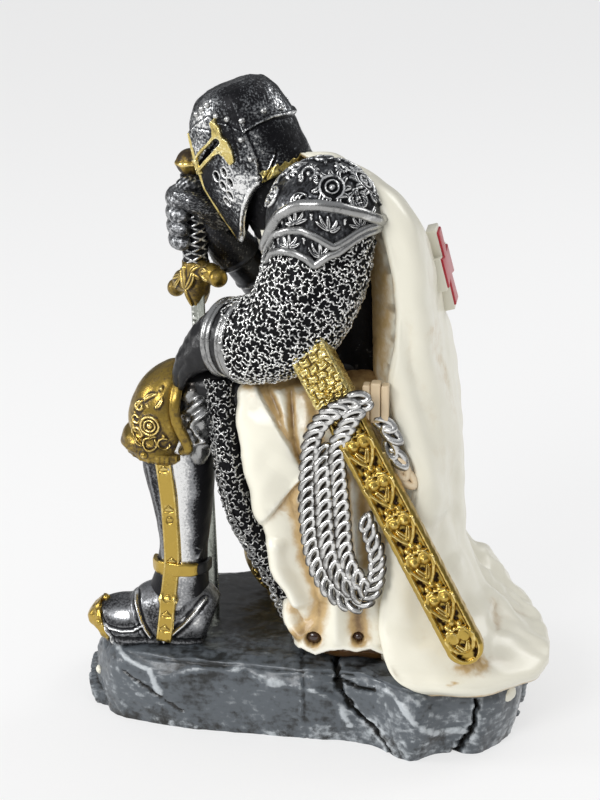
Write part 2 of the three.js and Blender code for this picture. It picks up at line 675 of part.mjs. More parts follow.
/** The sword, grown by a margin where it cuts room for itself in the knight. */
function sword(margin = 0) {
  const frame = swordFrame();
  const top = frame.length;
  const guardAt = top - POMMEL_RADIUS - GRIP_LENGTH - 3;
  const at = (height, thick, wide) => swordStation(frame, height, thick + margin, wide + margin);
  const options = { sides: 8, steps: 1, across: frame.across };
  const blade = limb([
    at(-margin, BLADE_THICKNESS / 4, BLADE_WIDTH / 5),
    at(5, BLADE_THICKNESS / 2.4, BLADE_WIDTH / 2.4),
    at(guardAt, BLADE_THICKNESS / 2, BLADE_WIDTH / 2),
  ], { ...options, square: 1.3 });
  const grip = limb([
    at(guardAt - 1, GRIP_RADIUS, GRIP_RADIUS * 1.1),
    at(guardAt + GRIP_LENGTH / 2, GRIP_RADIUS * 1.06, GRIP_RADIUS * 1.16),
    at(top - POMMEL_RADIUS + 1, GRIP_RADIUS * 0.9, GRIP_RADIUS * 0.95),
  ], { ...options, sides: 10 });
  const ball = POMMEL_RADIUS + margin;
  const pommel = ellipsoid(SWORD_TOP, [ball, ball, ball], [0, 0, 0], [12, 8]);
  const centre = frame.foot.clone().addScaledVector(frame.axis, guardAt);
  const guardPoint = (share) => {
    const p = centre.clone().addScaledVector(frame.across, share * GUARD_HALF_SPAN)
      .addScaledVector(frame.axis, GUARD_TILT * share - GUARD_DROOP * share * share);
    return [p.x, p.y, p.z];
  };
  const guard = limb([-1, -0.75, -0.35, 0, 0.35, 0.75, 1].map((share) => [
    ...guardPoint(share),
    2.3 + 0.9 * (1 - Math.abs(share)) + margin,
    2.6 + 1 * (1 - Math.abs(share)) + margin,
  ]), { ...options, across: frame.axis });
  const knob = 2.6 + margin;
  const ends = [-1, 1].map((share) => (
    ellipsoid(guardPoint(share * 1.08), [knob, knob, knob], [0, 0, 0], [10, 6])
  ));
  const langets = limb([
    at(guardAt - 9.5, 0.9, 0.8),
    at(guardAt - 5, 3, 3.4),
    at(guardAt + 1, 3.6, 4.4),
  ], options);
  return join([blade, grip, pommel, guard, ...ends, langets]);
}

/** Everything that is cast in one with the rock. */
function knight() {
  const whole = join([
    rock(), ...frontLeg(), ...body(), ...skirt(), ...cape(), mailStrip(),
    ...poleyn(KNEE, 0, 1), ...poleyn(KNEELING_KNEE, KNEELING_TURN, KNEELING_SCALE),
    shoulder(LEFT_SHOULDER), shoulder(RIGHT_SHOULDER), ...leftArm(), ...rightArm(), helm(),
    backCross(), ...scabbardAndChains(),
  ]);
  const underside = block([3 * ROCK_LENGTH, 3 * ROCK_DEPTH, ROCK_HEIGHT], [0, 0, -ROCK_HEIGHT / 2]);
  return whole.subtract(sword(CASTING_GAP)).subtract(underside);
}

/** A named mesh with the paint that covers most of it. */
function mesh(name, manifold, colour, roughness, metalness) {
  const material = new THREE.MeshStandardMaterial({ color: colour, roughness, metalness });
  const part = new THREE.Mesh(geometryOf(manifold), material);
  part.name = name;
  return part;
}

const figurine = new THREE.Group();
figurine.add(mesh('knight_on_rock', knight(), 0xd9d3c3, 0.55, 0));
figurine.add(mesh('sword', sword(), 0xb39a4a, 0.35, 0.8));
export default figurine;
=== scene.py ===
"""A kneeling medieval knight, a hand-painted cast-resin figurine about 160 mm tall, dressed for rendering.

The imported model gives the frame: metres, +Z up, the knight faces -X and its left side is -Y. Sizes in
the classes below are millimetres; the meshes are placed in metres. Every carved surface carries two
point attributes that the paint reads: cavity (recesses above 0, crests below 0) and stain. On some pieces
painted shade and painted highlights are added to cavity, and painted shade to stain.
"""

import logging
import math
from dataclasses import dataclass, field
from enum import Enum

import bpy
import numpy as np
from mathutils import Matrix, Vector

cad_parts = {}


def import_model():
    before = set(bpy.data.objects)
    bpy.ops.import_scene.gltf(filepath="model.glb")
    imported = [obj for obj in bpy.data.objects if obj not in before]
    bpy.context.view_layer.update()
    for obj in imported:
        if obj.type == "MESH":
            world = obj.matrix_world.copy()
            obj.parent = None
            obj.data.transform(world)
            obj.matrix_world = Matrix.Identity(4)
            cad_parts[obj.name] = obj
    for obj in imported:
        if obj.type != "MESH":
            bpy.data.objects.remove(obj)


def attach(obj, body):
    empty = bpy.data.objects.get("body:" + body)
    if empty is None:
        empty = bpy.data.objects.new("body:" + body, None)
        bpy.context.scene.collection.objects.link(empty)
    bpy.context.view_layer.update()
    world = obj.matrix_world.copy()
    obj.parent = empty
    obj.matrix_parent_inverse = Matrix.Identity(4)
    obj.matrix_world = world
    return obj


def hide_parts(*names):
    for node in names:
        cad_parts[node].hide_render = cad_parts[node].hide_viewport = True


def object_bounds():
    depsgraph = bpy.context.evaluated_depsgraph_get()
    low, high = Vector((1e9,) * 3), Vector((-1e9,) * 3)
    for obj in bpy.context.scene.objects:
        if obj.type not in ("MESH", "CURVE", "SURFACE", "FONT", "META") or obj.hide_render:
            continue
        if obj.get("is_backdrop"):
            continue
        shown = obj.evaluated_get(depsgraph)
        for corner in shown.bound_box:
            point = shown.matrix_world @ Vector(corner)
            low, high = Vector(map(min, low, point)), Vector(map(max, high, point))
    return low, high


MM = 0.001
PER_METRE = 1000.0
BUMP_DEPTH = 0.0002
CASTING = "knight_on_rock"
SWORD = "sword"
LOG = logging.getLogger("knight")

Array = np.ndarray
Point = tuple[float, float, float]
Pair = tuple[float, float]
Line = list[Pair] | tuple[Pair, ...]


class Slot(Enum):
    """The record's material slots."""

    CLOTH = "cloth_cream"
    GOLD = "antique_gold"
    SILVER = "antique_silver"
    MAIL = "mail_silver"
    LEATHER = "black_leather"
    CHAIN = "chain_silver"
    RED = "cross_red"
    ROCK = "rock_slate"


def smooth(low: float, high: float, value: Array) -> Array:
    """The smoothstep of a value between two limits."""
    t = np.clip((value - low) / (high - low), 0, 1)
    return t * t * (3 - 2 * t)


def hump(off: Array, width: float) -> Array:
    """A round bump of height 1 at 0 that fades over a width."""
    return np.exp(-((off / width) ** 2))


def mound(off: Array, width: float, rise: Array, height: float) -> Array:
    """A round bump like hump, over two directions."""
    return np.exp(-((off / width) ** 2) - (rise / height) ** 2)


def power(value: Array, exponent: float) -> Array:
    """A power that keeps its argument's sign."""
    return np.sign(value) * np.abs(value) ** exponent


def unit(v: Array) -> Array:
    """Vectors scaled to length one."""
    return v / np.maximum(np.linalg.norm(v, axis=-1, keepdims=True), 1e-9)


def catmull(points: Array, t: Array) -> Array:
    """A smooth curve through points, read at shares 0 to 1 of its way.

    Args:
        points: one row for each point, with any number of columns.
        t: the shares.

    Returns:
        One row for each share.
    """
    n = len(points) - 1
    s = np.clip(t, 0, 1) * n
    i = np.minimum(s.astype(int), n - 1)
    w = (s - i)[:, None]
    before = np.vstack([2 * points[0] - points[1], points[:-1]])
    after = np.vstack([points[1:], 2 * points[-1] - points[-2]])
    p0, p1, p2, p3 = before[i], points[i], points[i + 1], after[i + 1]
    m1, m2 = (p2 - p0) / 2, (p3 - p1) / 2
    return ((2 * w**3 - 3 * w**2 + 1) * p1 + (w**3 - 2 * w**2 + w) * m1
            + (3 * w**2 - 2 * w**3) * p2 + (w**3 - w**2) * m2)


def row_at(table: Array, key: Array, blur: float = 0.0) -> Array:
    """Linear look-up in a table whose first column rises, rounded over a blur if one is given.

    Args:
        table: rows of a key and its values.
        key: the keys asked for, of any shape.
        blur: half the span over which values are averaged.

    Returns:
        The values, with a last axis over the table's value columns.
    """
    table = np.asarray(table, float)
    spans = [0.0] if blur == 0 else [blur * s for s in (-1, -0.6, -0.2, 0.2, 0.6, 1)]
    layers = [
        np.stack([np.interp(key + d, table[:, 0], table[:, c]) for c in range(1, table.shape[1])], -1)
        for d in spans
    ]
    return np.mean(layers, axis=0)


def limb(stations: list | Array, rows: int, sides: int, across: Point = (0, 1, 0),
         square: float = 1.0) -> Array:
    """The skin of a limb.

    Args:
        stations: rows of x, y, z, radius in the bending plane and radius across.
        rows: rings along the limb.
        sides: points in a ring.
        across: the direction nearest to the limb's side.
        square: below 1 the section grows squarer, above 1 it turns to a lozenge.

    Returns:
        Points as rows by sides by 3.
    """
    data = np.asarray(stations, float)
    t = np.linspace(0, 1, rows)
    centre, radii = catmull(data[:, :3], t), catmull(data[:, 3:5], t)
    tangent = unit(catmull(data[:, :3], np.clip(t + 2e-3, 0, 1))
                   - catmull(data[:, :3], np.clip(t - 2e-3, 0, 1)))
    hint = np.asarray(across, float)
    side = unit(hint - tangent * (tangent @ hint)[:, None])
    front = np.cross(side, tangent)
    angle = 2 * np.pi * np.arange(sides) / sides
    c, s = power(np.cos(angle), square), power(np.sin(angle), square)
    return (centre[:, None] + front[:, None] * (radii[:, :1] * c)[..., None]
            + side[:, None] * (radii[:, 1:] * s)[..., None])


def loop_tube(path: Array, radius: float, sides: int = 10, flat: float = 1.0,
              out: Point = (0, 0, 1)) -> Array:
    """A tube along a closed path.

    Args:
        path: the points of the path, the first not repeated.
        radius: the tube's radius.
        sides: points in its section.
        flat: how much thinner it is along out.
        out: the direction nearest to the section's second axis.

    Returns:
        Points as path by sides by 3, with the first ring repeated at the end.
    """
    tangent = unit(np.roll(path, -1, 0) - np.roll(path, 1, 0))
    hint = np.asarray(out, float)
    up = unit(hint - tangent * (tangent @ hint)[:, None])
    side = np.cross(tangent, up)
    angle = 2 * np.pi * np.arange(sides) / sides
    rings = (path[:, None] + side[:, None] * (radius * np.cos(angle))[None, :, None]
             + up[:, None] * (radius * flat * np.sin(angle))[None, :, None])
    return np.concatenate([rings, rings[:1]])


def evened(points: Array, count: int = 0) -> Array:
    """A closed skin with its points spaced evenly round each ring, and as many of them as asked for.

    Args:
        points: the skin.
        count: points in a ring; as many as before if left out.

    Returns:
        The evened skin.
    """
    ring = np.concatenate([points, points[:, :1]], 1)
    run = np.concatenate([np.zeros((len(ring), 1)),
                          np.cumsum(np.linalg.norm(np.diff(ring, axis=1), axis=-1), 1)], 1)
    count = count or points.shape[1]
    share = np.arange(count) / count
    out = np.empty((len(points), count, 3))
    for i, (row, at) in enumerate(zip(ring, run)):
        for k in range(3):
            out[i, :, k] = np.interp(share * at[-1], at, row[:, k])
    return out


def normals(points: Array, closed: bool = True) -> Array:
    """Unit normals of a skin, pointing away from the middle of its rings.

    Args:
        points: the skin.
        closed: whether its rings close.

    Returns:
        One normal for each point.
    """
    grid = np.concatenate([points[:, -1:], points, points[:, :1]], 1) if closed else points
    du, dv = np.gradient(grid, axis=1), np.gradient(grid, axis=0)
    n = unit(np.cross(du, dv))
    n = n[:, 1:-1] if closed else n
    away = points - points.mean(1, keepdims=True)
    return -n if (n * away).sum() < 0 else n


def blurred(values: Array, closed: bool, passes: int) -> Array:
    """Values on a skin's grid, averaged with their neighbours several times.

    Args:
        values: the values.
        closed: whether the rings close.
        passes: how many times.

    Returns:
        The averaged values.
    """
    out = values.copy()
    for _ in range(passes):
        left = np.roll(out, 1, 1) if closed else np.concatenate([out[:, :1], out[:, :-1]], 1)
        right = np.roll(out, -1, 1) if closed else np.concatenate([out[:, 1:], out[:, -1:]], 1)
        out = (left + 2 * out + right) / 4
        low, high = np.concatenate([out[:1], out[:-1]]), np.concatenate([out[1:], out[-1:]])
        out = (low + 2 * out + high) / 4
    return out


def cavity(base: Array, carved: Array, closed: bool, passes: int = 5, depth: float = 0.25) -> Array:
    """How far each carved point lies under its surroundings, next to the plain form.

    Args:
        base: the plain skin.
        carved: the same skin with its relief.
        closed: whether the rings close.
        passes: how wide the surroundings are.
        depth: the depth in millimetres that counts as 1.

    Returns:
        Values from -1 on crests to 1 in recesses.
    """
    def sunk(points: Array) -> Array:
        """The depth of each point under the average of its neighbours."""
        return ((blurred(points, closed, passes) - points) * normals(points, closed)).sum(-1)

    return np.clip((sunk(carved) - sunk(base)) / depth, -1, 1)


def to_line(x: Array, z: Array, line: Line) -> tuple[Array, Array]:
    """The signed distance from points to a line of several stretches, and the share of its length there.

    Args:
        x: the points' first coordinate.
        z: their second one.
        line: the line's corners.

    Returns:
        The distances, above 0 on the line's left side, and the shares.
    """
    pts = np.asarray(line, float)
    best = np.full(x.shape, 1e9)
    sign, share = np.ones(x.shape), np.zeros(x.shape)
    lengths = np.linalg.norm(np.diff(pts, axis=0), axis=1)
    total, run = lengths.sum(), 0.0
    for (ax, az), (bx, bz), length in zip(pts[:-1], pts[1:], lengths):
        ex, ez = (bx - ax) / length, (bz - az) / length
        t = np.clip((x - ax) * ex + (z - az) * ez, 0, length)
        dx, dz = x - ax - t * ex, z - az - t * ez
        d = np.hypot(dx, dz)
        near = d < best
        best = np.where(near, d, best)
        sign = np.where(near, np.sign(ex * dz - ez * dx), sign)
        share = np.where(near, (run + t) / total, share)
        run += length
    return best * np.where(sign == 0, 1, sign), share


def inside(x: Array, z: Array, outline: Line) -> Array:
    """The distance to a closed outline, above 0 inside it.

    Args:
        x: the points' first coordinate.
        z: their second one.
        outline: its corners, the first not repeated.

    Returns:
        The distances.
    """
    d, _ = to_line(x, z, list(outline) + [outline[0]])
    hit = np.zeros(x.shape, bool)
    pts = np.asarray(outline, float)
    for (ax, az), (bx, bz) in zip(pts, np.roll(pts, -1, 0)):
        if az == bz:
            continue
        cross = ((az > z) != (bz > z)) & (x < (bx - ax) * (z - az) / (bz - az) + ax)
        hit ^= cross
    return np.where(hit, np.abs(d), -np.abs(d))


def noise(p: Array, size: float, seed: int) -> Array:
    """Smooth seeded noise from -1 to 1 whose lumps are about a size wide.

    Args:
        p: the points.
        size: the lumps' size.
        seed: the seed of its waves.

    Returns:
        One value for each point.
    """
    rng = np.random.default_rng(seed)
    total = np.zeros(p.shape[:-1])
    for _ in range(7):
        wave = unit(rng.normal(size=3)) * (2 * np.pi / size) * rng.uniform(0.6, 1.3)
        total += np.sin(p @ wave + rng.uniform(0, 2 * np.pi))
    return np.clip(total / 3.2, -1, 1)


@dataclass
class Fold:
    """A fold, crease or overlap of cloth along a line seen from the left side (x and z)."""

    line: Line
    height: float
    width: float
    step: float = 0.0
    fade: float = 7.0
    stain_and_shade: float = 0.0
    stain_width: float = 2.0

    def apply(self, x: Array, z: Array) -> tuple[Array, Array]:
        """The rise and the stain that the fold gives at points of the cloth.

        Args:
            x: the points' first coordinate.
            z: their second one.

        Returns:
            The rise and the stain.
        """
        d, share = to_line(x, z, self.line)
        ends = smooth(0, 0.12, share) * smooth(0, 0.12, 1 - share) if len(self.line) > 2 else 1.0
        rise = self.height * hump(d, self.width) * ends
        rise = rise + self.step * np.tanh(d / self.width) * np.exp(-np.abs(d) / self.fade) * ends
        return rise, self.stain_and_shade * hump(d, self.stain_width)


@dataclass
class Ornament:
    """Low relief on a small plane: leaves, bosses and strokes, measured in millimetres."""

    leaves: list[tuple] = field(default_factory=list)
    bosses: list[tuple] = field(default_factory=list)
    strokes: list[tuple] = field(default_factory=list)

    def rise(self, s: Array, t: Array) -> Array:
        """The relief's height, 0 to 1, at points of the plane.

        Args:
            s: the points' first coordinate.
            t: their second one.

        Returns:
            The heights.
        """
        top = np.zeros(s.shape)
        for ax, az, bx, bz, width, bow in self.leaves:
            length = math.hypot(bx - ax, bz - az)
            ex, ez = (bx - ax) / length, (bz - az) / length
            u = ((s - ax) * ex + (t - az) * ez) / length
            v = (t - az) * ex - (s - ax) * ez - bow * 4 * u * (1 - u)
            w = width * np.sqrt(np.clip(np.sin(np.pi * np.clip(u, 0, 1) ** 0.8), 1e-4, 1))
            body = np.sqrt(np.clip(1 - (v / w) ** 2, 0, 1)) * ((u > 0) & (u < 1))
            top = np.maximum(top, body * (1 - 0.55 * hump(v, 0.2 * width)))
        for x, z, radius, height in self.bosses:
            top = np.maximum(top, height * np.sqrt(np.clip(1 - np.hypot(s - x, t - z) / radius, 0, 1)))
        for line, half in self.strokes:
            d, _ = to_line(s, t, line)
            top = np.maximum(top, np.sqrt(np.clip(1 - (d / half) ** 2, 0, 1)))
        return top


def ring_line(x: float, z: float, radius: float, start: float = 0, turn: float = 360,
              grow: float = 0) -> list[Pair]:
    """The points of a ring, an arc or a scroll about a centre, by angles in degrees.

    Args:
        x: the centre's first coordinate.
        z: its second one.
        radius: the radius at the start.
        start: the angle at the start.
        turn: the angle that it runs through.
        grow: how far the radius grows on the way.

    Returns:
        The points.
    """
    steps = max(6, int(abs(turn) / 24))
    out = []
    for i in range(steps + 1):
        a = math.radians(start + turn * i / steps)
        r = radius + grow * i / steps
        out.append((x + r * math.cos(a), z + r * math.sin(a)))
    return out


def marked(points: Array) -> dict[str, Array]:
    """Blank paint marks for a skin."""
    return {"cavity": np.zeros(points.shape[:2]), "stain_and_shade": np.zeros(points.shape[:2])}


def raised(base: Array, rise: Array) -> Array:
    """A skin moved along its normals by its relief."""
    return base + normals(base) * rise[..., None]


def coordinates(mesh: bpy.types.Mesh) -> Array:
    """A mesh's vertices.

    Args:
        mesh: the mesh.

    Returns:
        One row of x, y and z for each vertex.
    """
    flat = np.empty(3 * len(mesh.vertices), np.float32)
    mesh.vertices.foreach_get("co", flat)
    return flat.reshape(-1, 3)


def set_coordinates(mesh: bpy.types.Mesh, points: Array) -> None:
    """Moves a mesh's vertices to points."""
    mesh.vertices.foreach_set("co", points.astype(np.float32).ravel())


def set_mark(mesh: bpy.types.Mesh, key: str, values: Array) -> None:
    """Adds a paint mark to a mesh."""
    layer = mesh.attributes.new(key, "FLOAT", "POINT")
    layer.data.foreach_set("value", values.astype(np.float32).ravel())


def ball(segments: int, rings: int, radius: float = 1.0) -> bpy.types.Object:
    """Adds a round ball, with nothing else selected.

    Args:
        segments: faces round it.
        rings: faces from pole to pole.
        radius: its radius.

    Returns:
        The ball's object.
    """
    bpy.ops.object.select_all(action="DESELECT")
    bpy.ops.mesh.primitive_uv_sphere_add(segments=segments, ring_count=rings, radius=radius)
    return bpy.context.object


class Bench:
    """The workbench: turns skins into closed objects that ride on the casting and stand for a node."""

    fine: int = 3000  # the fewest triangles that a thinned skin keeps
    weld: float = 4e-6  # points nearer than this, in metres, become one
    margin: float = 2e-5  # how far, in metres, the pieces stay inside the solids' box

    def __init__(self, low: Vector, high: Vector, finishes: dict[str, "Finish"]) -> None:
        """Keeps the box that no piece may leave, and the finishes.

        Args:
            low: the box's lowest corner in metres.
            high: its highest corner.
            finishes: each finish by its name.
        """
        self.low = np.array(low) + self.margin
        self.high = np.array(high) - self.margin
        self.finishes = finishes
        self.made: dict[str, bpy.types.Material] = {}

    def _edit(self, obj: bpy.types.Object) -> None:
        """Selects one object alone, and all of its mesh in edit mode.

        Args:
            obj: the object.
        """
        bpy.ops.object.select_all(action="DESELECT")
        obj.select_set(True)
        bpy.context.view_layer.objects.active = obj
        bpy.ops.object.mode_set(mode="EDIT")
        bpy.ops.mesh.select_all(action="SELECT")

    def _settle(self, obj: bpy.types.Object, name: str, finish: str, node: str, angle: float,
                keep: float = 1.0) -> None:
        """Names a piece, thins its flat stretches, paints it, hangs it on the root and hides the node that it
        stands for.

        Args:
            obj: the piece's object.
            name: its name.
            finish: the name of its finish.
            node: the node that it stands for.
            angle: the angle in degrees above which an edge stays sharp.
            keep: the share of its triangles that is kept.
        """
        obj.name = obj.data.name = name
        self._edit(obj)
        bpy.ops.mesh.remove_doubles(threshold=self.weld)
        bpy.ops.mesh.select_all(action="SELECT")
        bpy.ops.mesh.normals_make_consistent(inside=False)
        bpy.ops.object.mode_set(mode="OBJECT")
        if keep < 1:
            thin = obj.modifiers.new("thin", "DECIMATE")
            thin.ratio = keep
            bpy.ops.object.modifier_apply(modifier=thin.name)
        if angle >= 180:
            bpy.ops.object.shade_smooth()
        else:
            bpy.ops.object.shade_smooth_by_angle(angle=math.radians(angle))
        kind = self.finishes[finish]
        if finish not in self.made:
            self.made[finish] = kind.material()
        obj.data.materials.clear()
        obj.data.materials.append(self.made[finish])
        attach(obj, "root")
        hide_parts(node)
        LOG.info("%s: %d faces, %s", name, len(obj.data.polygons), finish)

    def skin(self, name: str, points: Array, finish: str, marks: dict[str, Array] | None = None,
             capped: bool = True, node: str = CASTING, angle: float = 180) -> None:
        """Makes a piece from a grid primitive whose points are moved onto a skin.

        Args:
            name: the piece's name.
            points: rows by sides by 3, in millimetres.
            finish: the name of its finish.
            marks: the paint marks at each point.
            capped: whether its end rings are drawn together to a point.
            node: the node that it stands for.
            angle: the angle in degrees above which an edge stays sharp.
        """
        marks = marks or marked(points)
        points = np.concatenate([points, points[:, :1]], 1)
        marks = {k: np.concatenate([m, m[:, :1]], 1) for k, m in marks.items()}
        if capped:
            ends = [np.broadcast_to(points[r].mean(0), points[r].shape)[None] for r in (0, -1)]
            points = np.concatenate([ends[0], points, ends[1]])
            marks = {k: np.concatenate([m[:1], m, m[-1:]]) for k, m in marks.items()}
        rows, cols = points.shape[:2]
        bpy.ops.object.select_all(action="DESELECT")
        bpy.ops.mesh.primitive_grid_add(x_subdivisions=cols - 1, y_subdivisions=rows - 1, size=0.01)
        obj = bpy.context.object
        set_coordinates(obj.data, np.clip(points.reshape(-1, 3) * MM, self.low, self.high))
        for key, values in marks.items():
            set_mark(obj.data, key, values)
        keep = max(self.finishes[finish].keep, self.fine / (2 * rows * cols))
        self._settle(obj, name, finish, node, angle, keep)

    def carved(self, name: str, base: Array, rise: Array, finish: str, stain_and_shade: Array | None = None,
               passes: int = 5, depth: float = 0.25, node: str = CASTING, painted_sheen: Array | float = 0.0) -> None:
        """Makes a skin whose relief stands along its normals, with the paint's cavity mark read off it.

        Args:
            name: the piece's name.
            base: the plain skin, in millimetres.
            rise: the relief's height at each point.
            finish: the name of its finish.
            stain_and_shade: the stain mark at each point.
            passes: how wide the cavity mark looks around.
            depth: the depth that counts as a full recess.
            node: the node that it stands for.
            painted_sheen: how far each point is painted brighter, as a painted highlight, beside what the
                relief says.
        """
        points = raised(base, rise)
        marks = {"cavity": np.clip(cavity(base, points, True, passes, depth) - painted_sheen, -1, 1),
                 "stain_and_shade": np.zeros(rise.shape) if stain_and_shade is None else np.clip(stain_and_shade, 0, 1)}
        self.skin(name, points, finish, marks, node=node)

    def copies(self, name: str, pattern: bpy.types.Object, places: Array, frames: Array, finish: str,
               node: str = CASTING) -> None:
        """Makes one piece of many copies of a small pattern, each with its own place and frame.

        Args:
            name: the piece's name.
            pattern: the object whose mesh is copied, in millimetres. It is deleted afterwards.
            places: the place of each copy, in millimetres.
            frames: three axes for each copy, as rows.
            finish: the name of its finish.
            node: the node that it stands for.
        """
        mesh = pattern.data
        co = coordinates(mesh)
        corners = np.empty(len(mesh.loops), np.int32)
        mesh.loops.foreach_get("vertex_index", corners)
        totals = np.empty(len(mesh.polygons), np.int32)
        mesh.polygons.foreach_get("loop_total", totals)
        count = len(places)
        points = (np.einsum("vk,nkc->nvc", co, frames) + places[:, None]) * MM
        points = np.clip(points.reshape(-1, 3), self.low, self.high)
        out = bpy.data.meshes.new(name)
        out.vertices.add(len(points))
        set_coordinates(out, points)
        out.loops.add(count * len(corners))
        out.loops.foreach_set("vertex_index", (corners[None] + len(co) * np.arange(count)[:, None]).ravel())
        out.polygons.add(count * len(totals))
        starts = np.concatenate([[0], np.cumsum(np.tile(totals, count))[:-1]])
        out.polygons.foreach_set("loop_start", starts.astype(np.int32))
        out.update(calc_edges=True)
        for key in ("cavity", "stain_and_shade"):
            set_mark(out, key, np.tile(self._mark(mesh, key), count))
        obj = bpy.data.objects.new(name, out)
        bpy.context.scene.collection.objects.link(obj)
        bpy.data.objects.remove(pattern, do_unlink=True)
        self._settle(obj, name, finish, node, 180)

    @staticmethod
    def _mark(mesh: bpy.types.Mesh, key: str) -> Array:
        """A paint mark of a mesh, or zeros where it has none.

        Args:
            mesh: the mesh.
            key: the mark's name.

        Returns:
            One value for each vertex.
        """
        values = np.zeros(len(mesh.vertices), np.float32)
        if key in mesh.attributes:
            mesh.attributes[key].data.foreach_get("value", values)
        return values

    def shaped(self, name: str, finish: str, node: str = CASTING, angle: float = 180) -> None:
        """Finishes the active object, modelled in millimetres, as a piece.

        Args:
            name: the piece's name.
            finish: the name of its finish.
            node: the node that it stands for.
            angle: the angle in degrees above which an edge stays sharp.
        """
        obj = bpy.context.object
        mesh = obj.data
        set_coordinates(mesh, np.clip(coordinates(mesh) * MM, self.low, self.high))
        for key in ("cavity", "stain_and_shade"):
            if key not in mesh.attributes:
                mesh.attributes.new(key, "FLOAT", "POINT")
        mesh.update()
        self._settle(obj, name, finish, node, angle)


class Nodes:
    """A short hand for building a node tree."""

    def __init__(self, tree: bpy.types.NodeTree) -> None:
        """Keeps the tree and clears it.

        Args:
            tree: the node tree.
        """
        self.tree = tree
        tree.nodes.clear()

    def add(self, kind: str, **inputs: object) -> bpy.types.Node:
        """Adds a node; each keyword sets or links the input of that name, spaces as underscores.

        Args:
            kind: the node's type, without its ShaderNode prefix.
            inputs: values, or output sockets to link.

        Returns:
            The node.
        """
        node = self.tree.nodes.new(kind if kind.startswith("Node") else "ShaderNode" + kind)
        for key, value in inputs.items():
            if key.startswith("set_"):
                setattr(node, key[4:], value)
        for key, value in inputs.items():
            if not key.startswith("set_"):
                socket = (node.inputs[int(key[3:])] if key.startswith("at_")
                          else node.inputs[key.replace("_", " ")])
                self.put(socket, value)
        return node

    def put(self, socket: bpy.types.NodeSocket, value: object) -> None:
        """Links a socket to an output, or sets its value.

        Args:
            socket: the input.
            value: the value, or the output to link.
        """
        if isinstance(value, bpy.types.NodeSocket):
            self.tree.links.new(value, socket)
        else:
            socket.default_value = value

    def maths(self, how: str, a: object, b: object = 0.0) -> bpy.types.NodeSocket:
        """The output of a Math node."""
        return self.add("Math", set_operation=how, at_0=a, at_1=b).outputs[0]

    def between(self, value: object, low: object, high: object,
                out: Pair = (0.0, 1.0)) -> bpy.types.NodeSocket:
        """The output of a smooth Map Range node."""
        return self.add("MapRange", set_interpolation_type="SMOOTHSTEP", Value=value, From_Min=low,
                        From_Max=high,
                        To_Min=out[0], To_Max=out[1]).outputs[0]

    def blend(self, share: object, a: object, b: object) -> bpy.types.NodeSocket:
        """The output of a colour Mix node."""
        return self.add("Mix", set_data_type="RGBA", at_0=share, at_6=a, at_7=b).outputs[2]


class Groups:
    """The node groups that the finishes share, each made once."""

    made: dict[str, bpy.types.NodeTree] = {}

    @classmethod
    def worn_paint(cls) -> bpy.types.NodeTree:
        """Paint with a dark wash in its recesses, a bright rub on its crests and a speckle between.

        Returns:
            The group, whose outputs are the colour, the wash and crest masks and the grain.
        """
        if "worn_paint" in cls.made:
            return cls.made["worn_paint"]
        tree = cls.made["worn_paint"] = bpy.data.node_groups.new("worn_paint", "ShaderNodeTree")
        n = Nodes(tree)
        for label, kind, value in (
            ("Vector", "Vector", None), ("Cavity", "Float", 0.0), ("Paint", "Color", None),
            ("Wash", "Color", None),
            ("Crest", "Color", None), ("Wash Low", "Float", 0.1), ("Wash High", "Float", 0.6),
            ("Crest Low", "Float", 0.1), ("Crest High", "Float", 0.6), ("Grain Size", "Float", 1.0),
            ("Grain", "Float", 0.3), ("Mottle Size", "Float", 6.0), ("Mottle", "Float", 0.2),
        ):
            socket = tree.interface.new_socket(name=label, in_out="INPUT", socket_type="NodeSocket" + kind)
            if value is not None:
                socket.default_value = value
        for label, kind in (("Colour", "Color"), ("Wash Mask", "Float"), ("Crest Mask", "Float"),
                            ("Grain", "Float")):
            tree.interface.new_socket(name=label, in_out="OUTPUT", socket_type="NodeSocket" + kind)
        i, end = tree.nodes.new("NodeGroupInput").outputs, tree.nodes.new("NodeGroupOutput")
        fine = n.add("TexNoise", Vector=i["Vector"], Scale=n.maths("DIVIDE", PER_METRE, i["Grain Size"]),
                     Detail=5.0,
                     Roughness=0.62).outputs["Fac"]
        broad = n.add("TexNoise", Vector=i["Vector"], Scale=n.maths("DIVIDE", PER_METRE, i["Mottle Size"]),
                      Detail=3.0,
                      Roughness=0.55).outputs["Fac"]
        speckle = n.maths("MULTIPLY", n.maths("SUBTRACT", fine, 0.5), i["Grain"])
        cloud = n.maths("MULTIPLY", n.maths("SUBTRACT", broad, 0.5), i["Mottle"])
        depth = n.maths("ADD", i["Cavity"], n.maths("ADD", speckle, cloud))
        wash = n.between(depth, i["Wash Low"], i["Wash High"])
        crest = n.between(n.maths("MULTIPLY", depth, -1.0), i["Crest Low"], i["Crest High"])
        colour = n.blend(crest, n.blend(wash, i["Paint"], i["Wash"]), i["Crest"])
        for label, value in (("Colour", colour), ("Wash Mask", wash), ("Crest Mask", crest), ("Grain", fine)):
            n.put(end.inputs[label], value)
        return tree


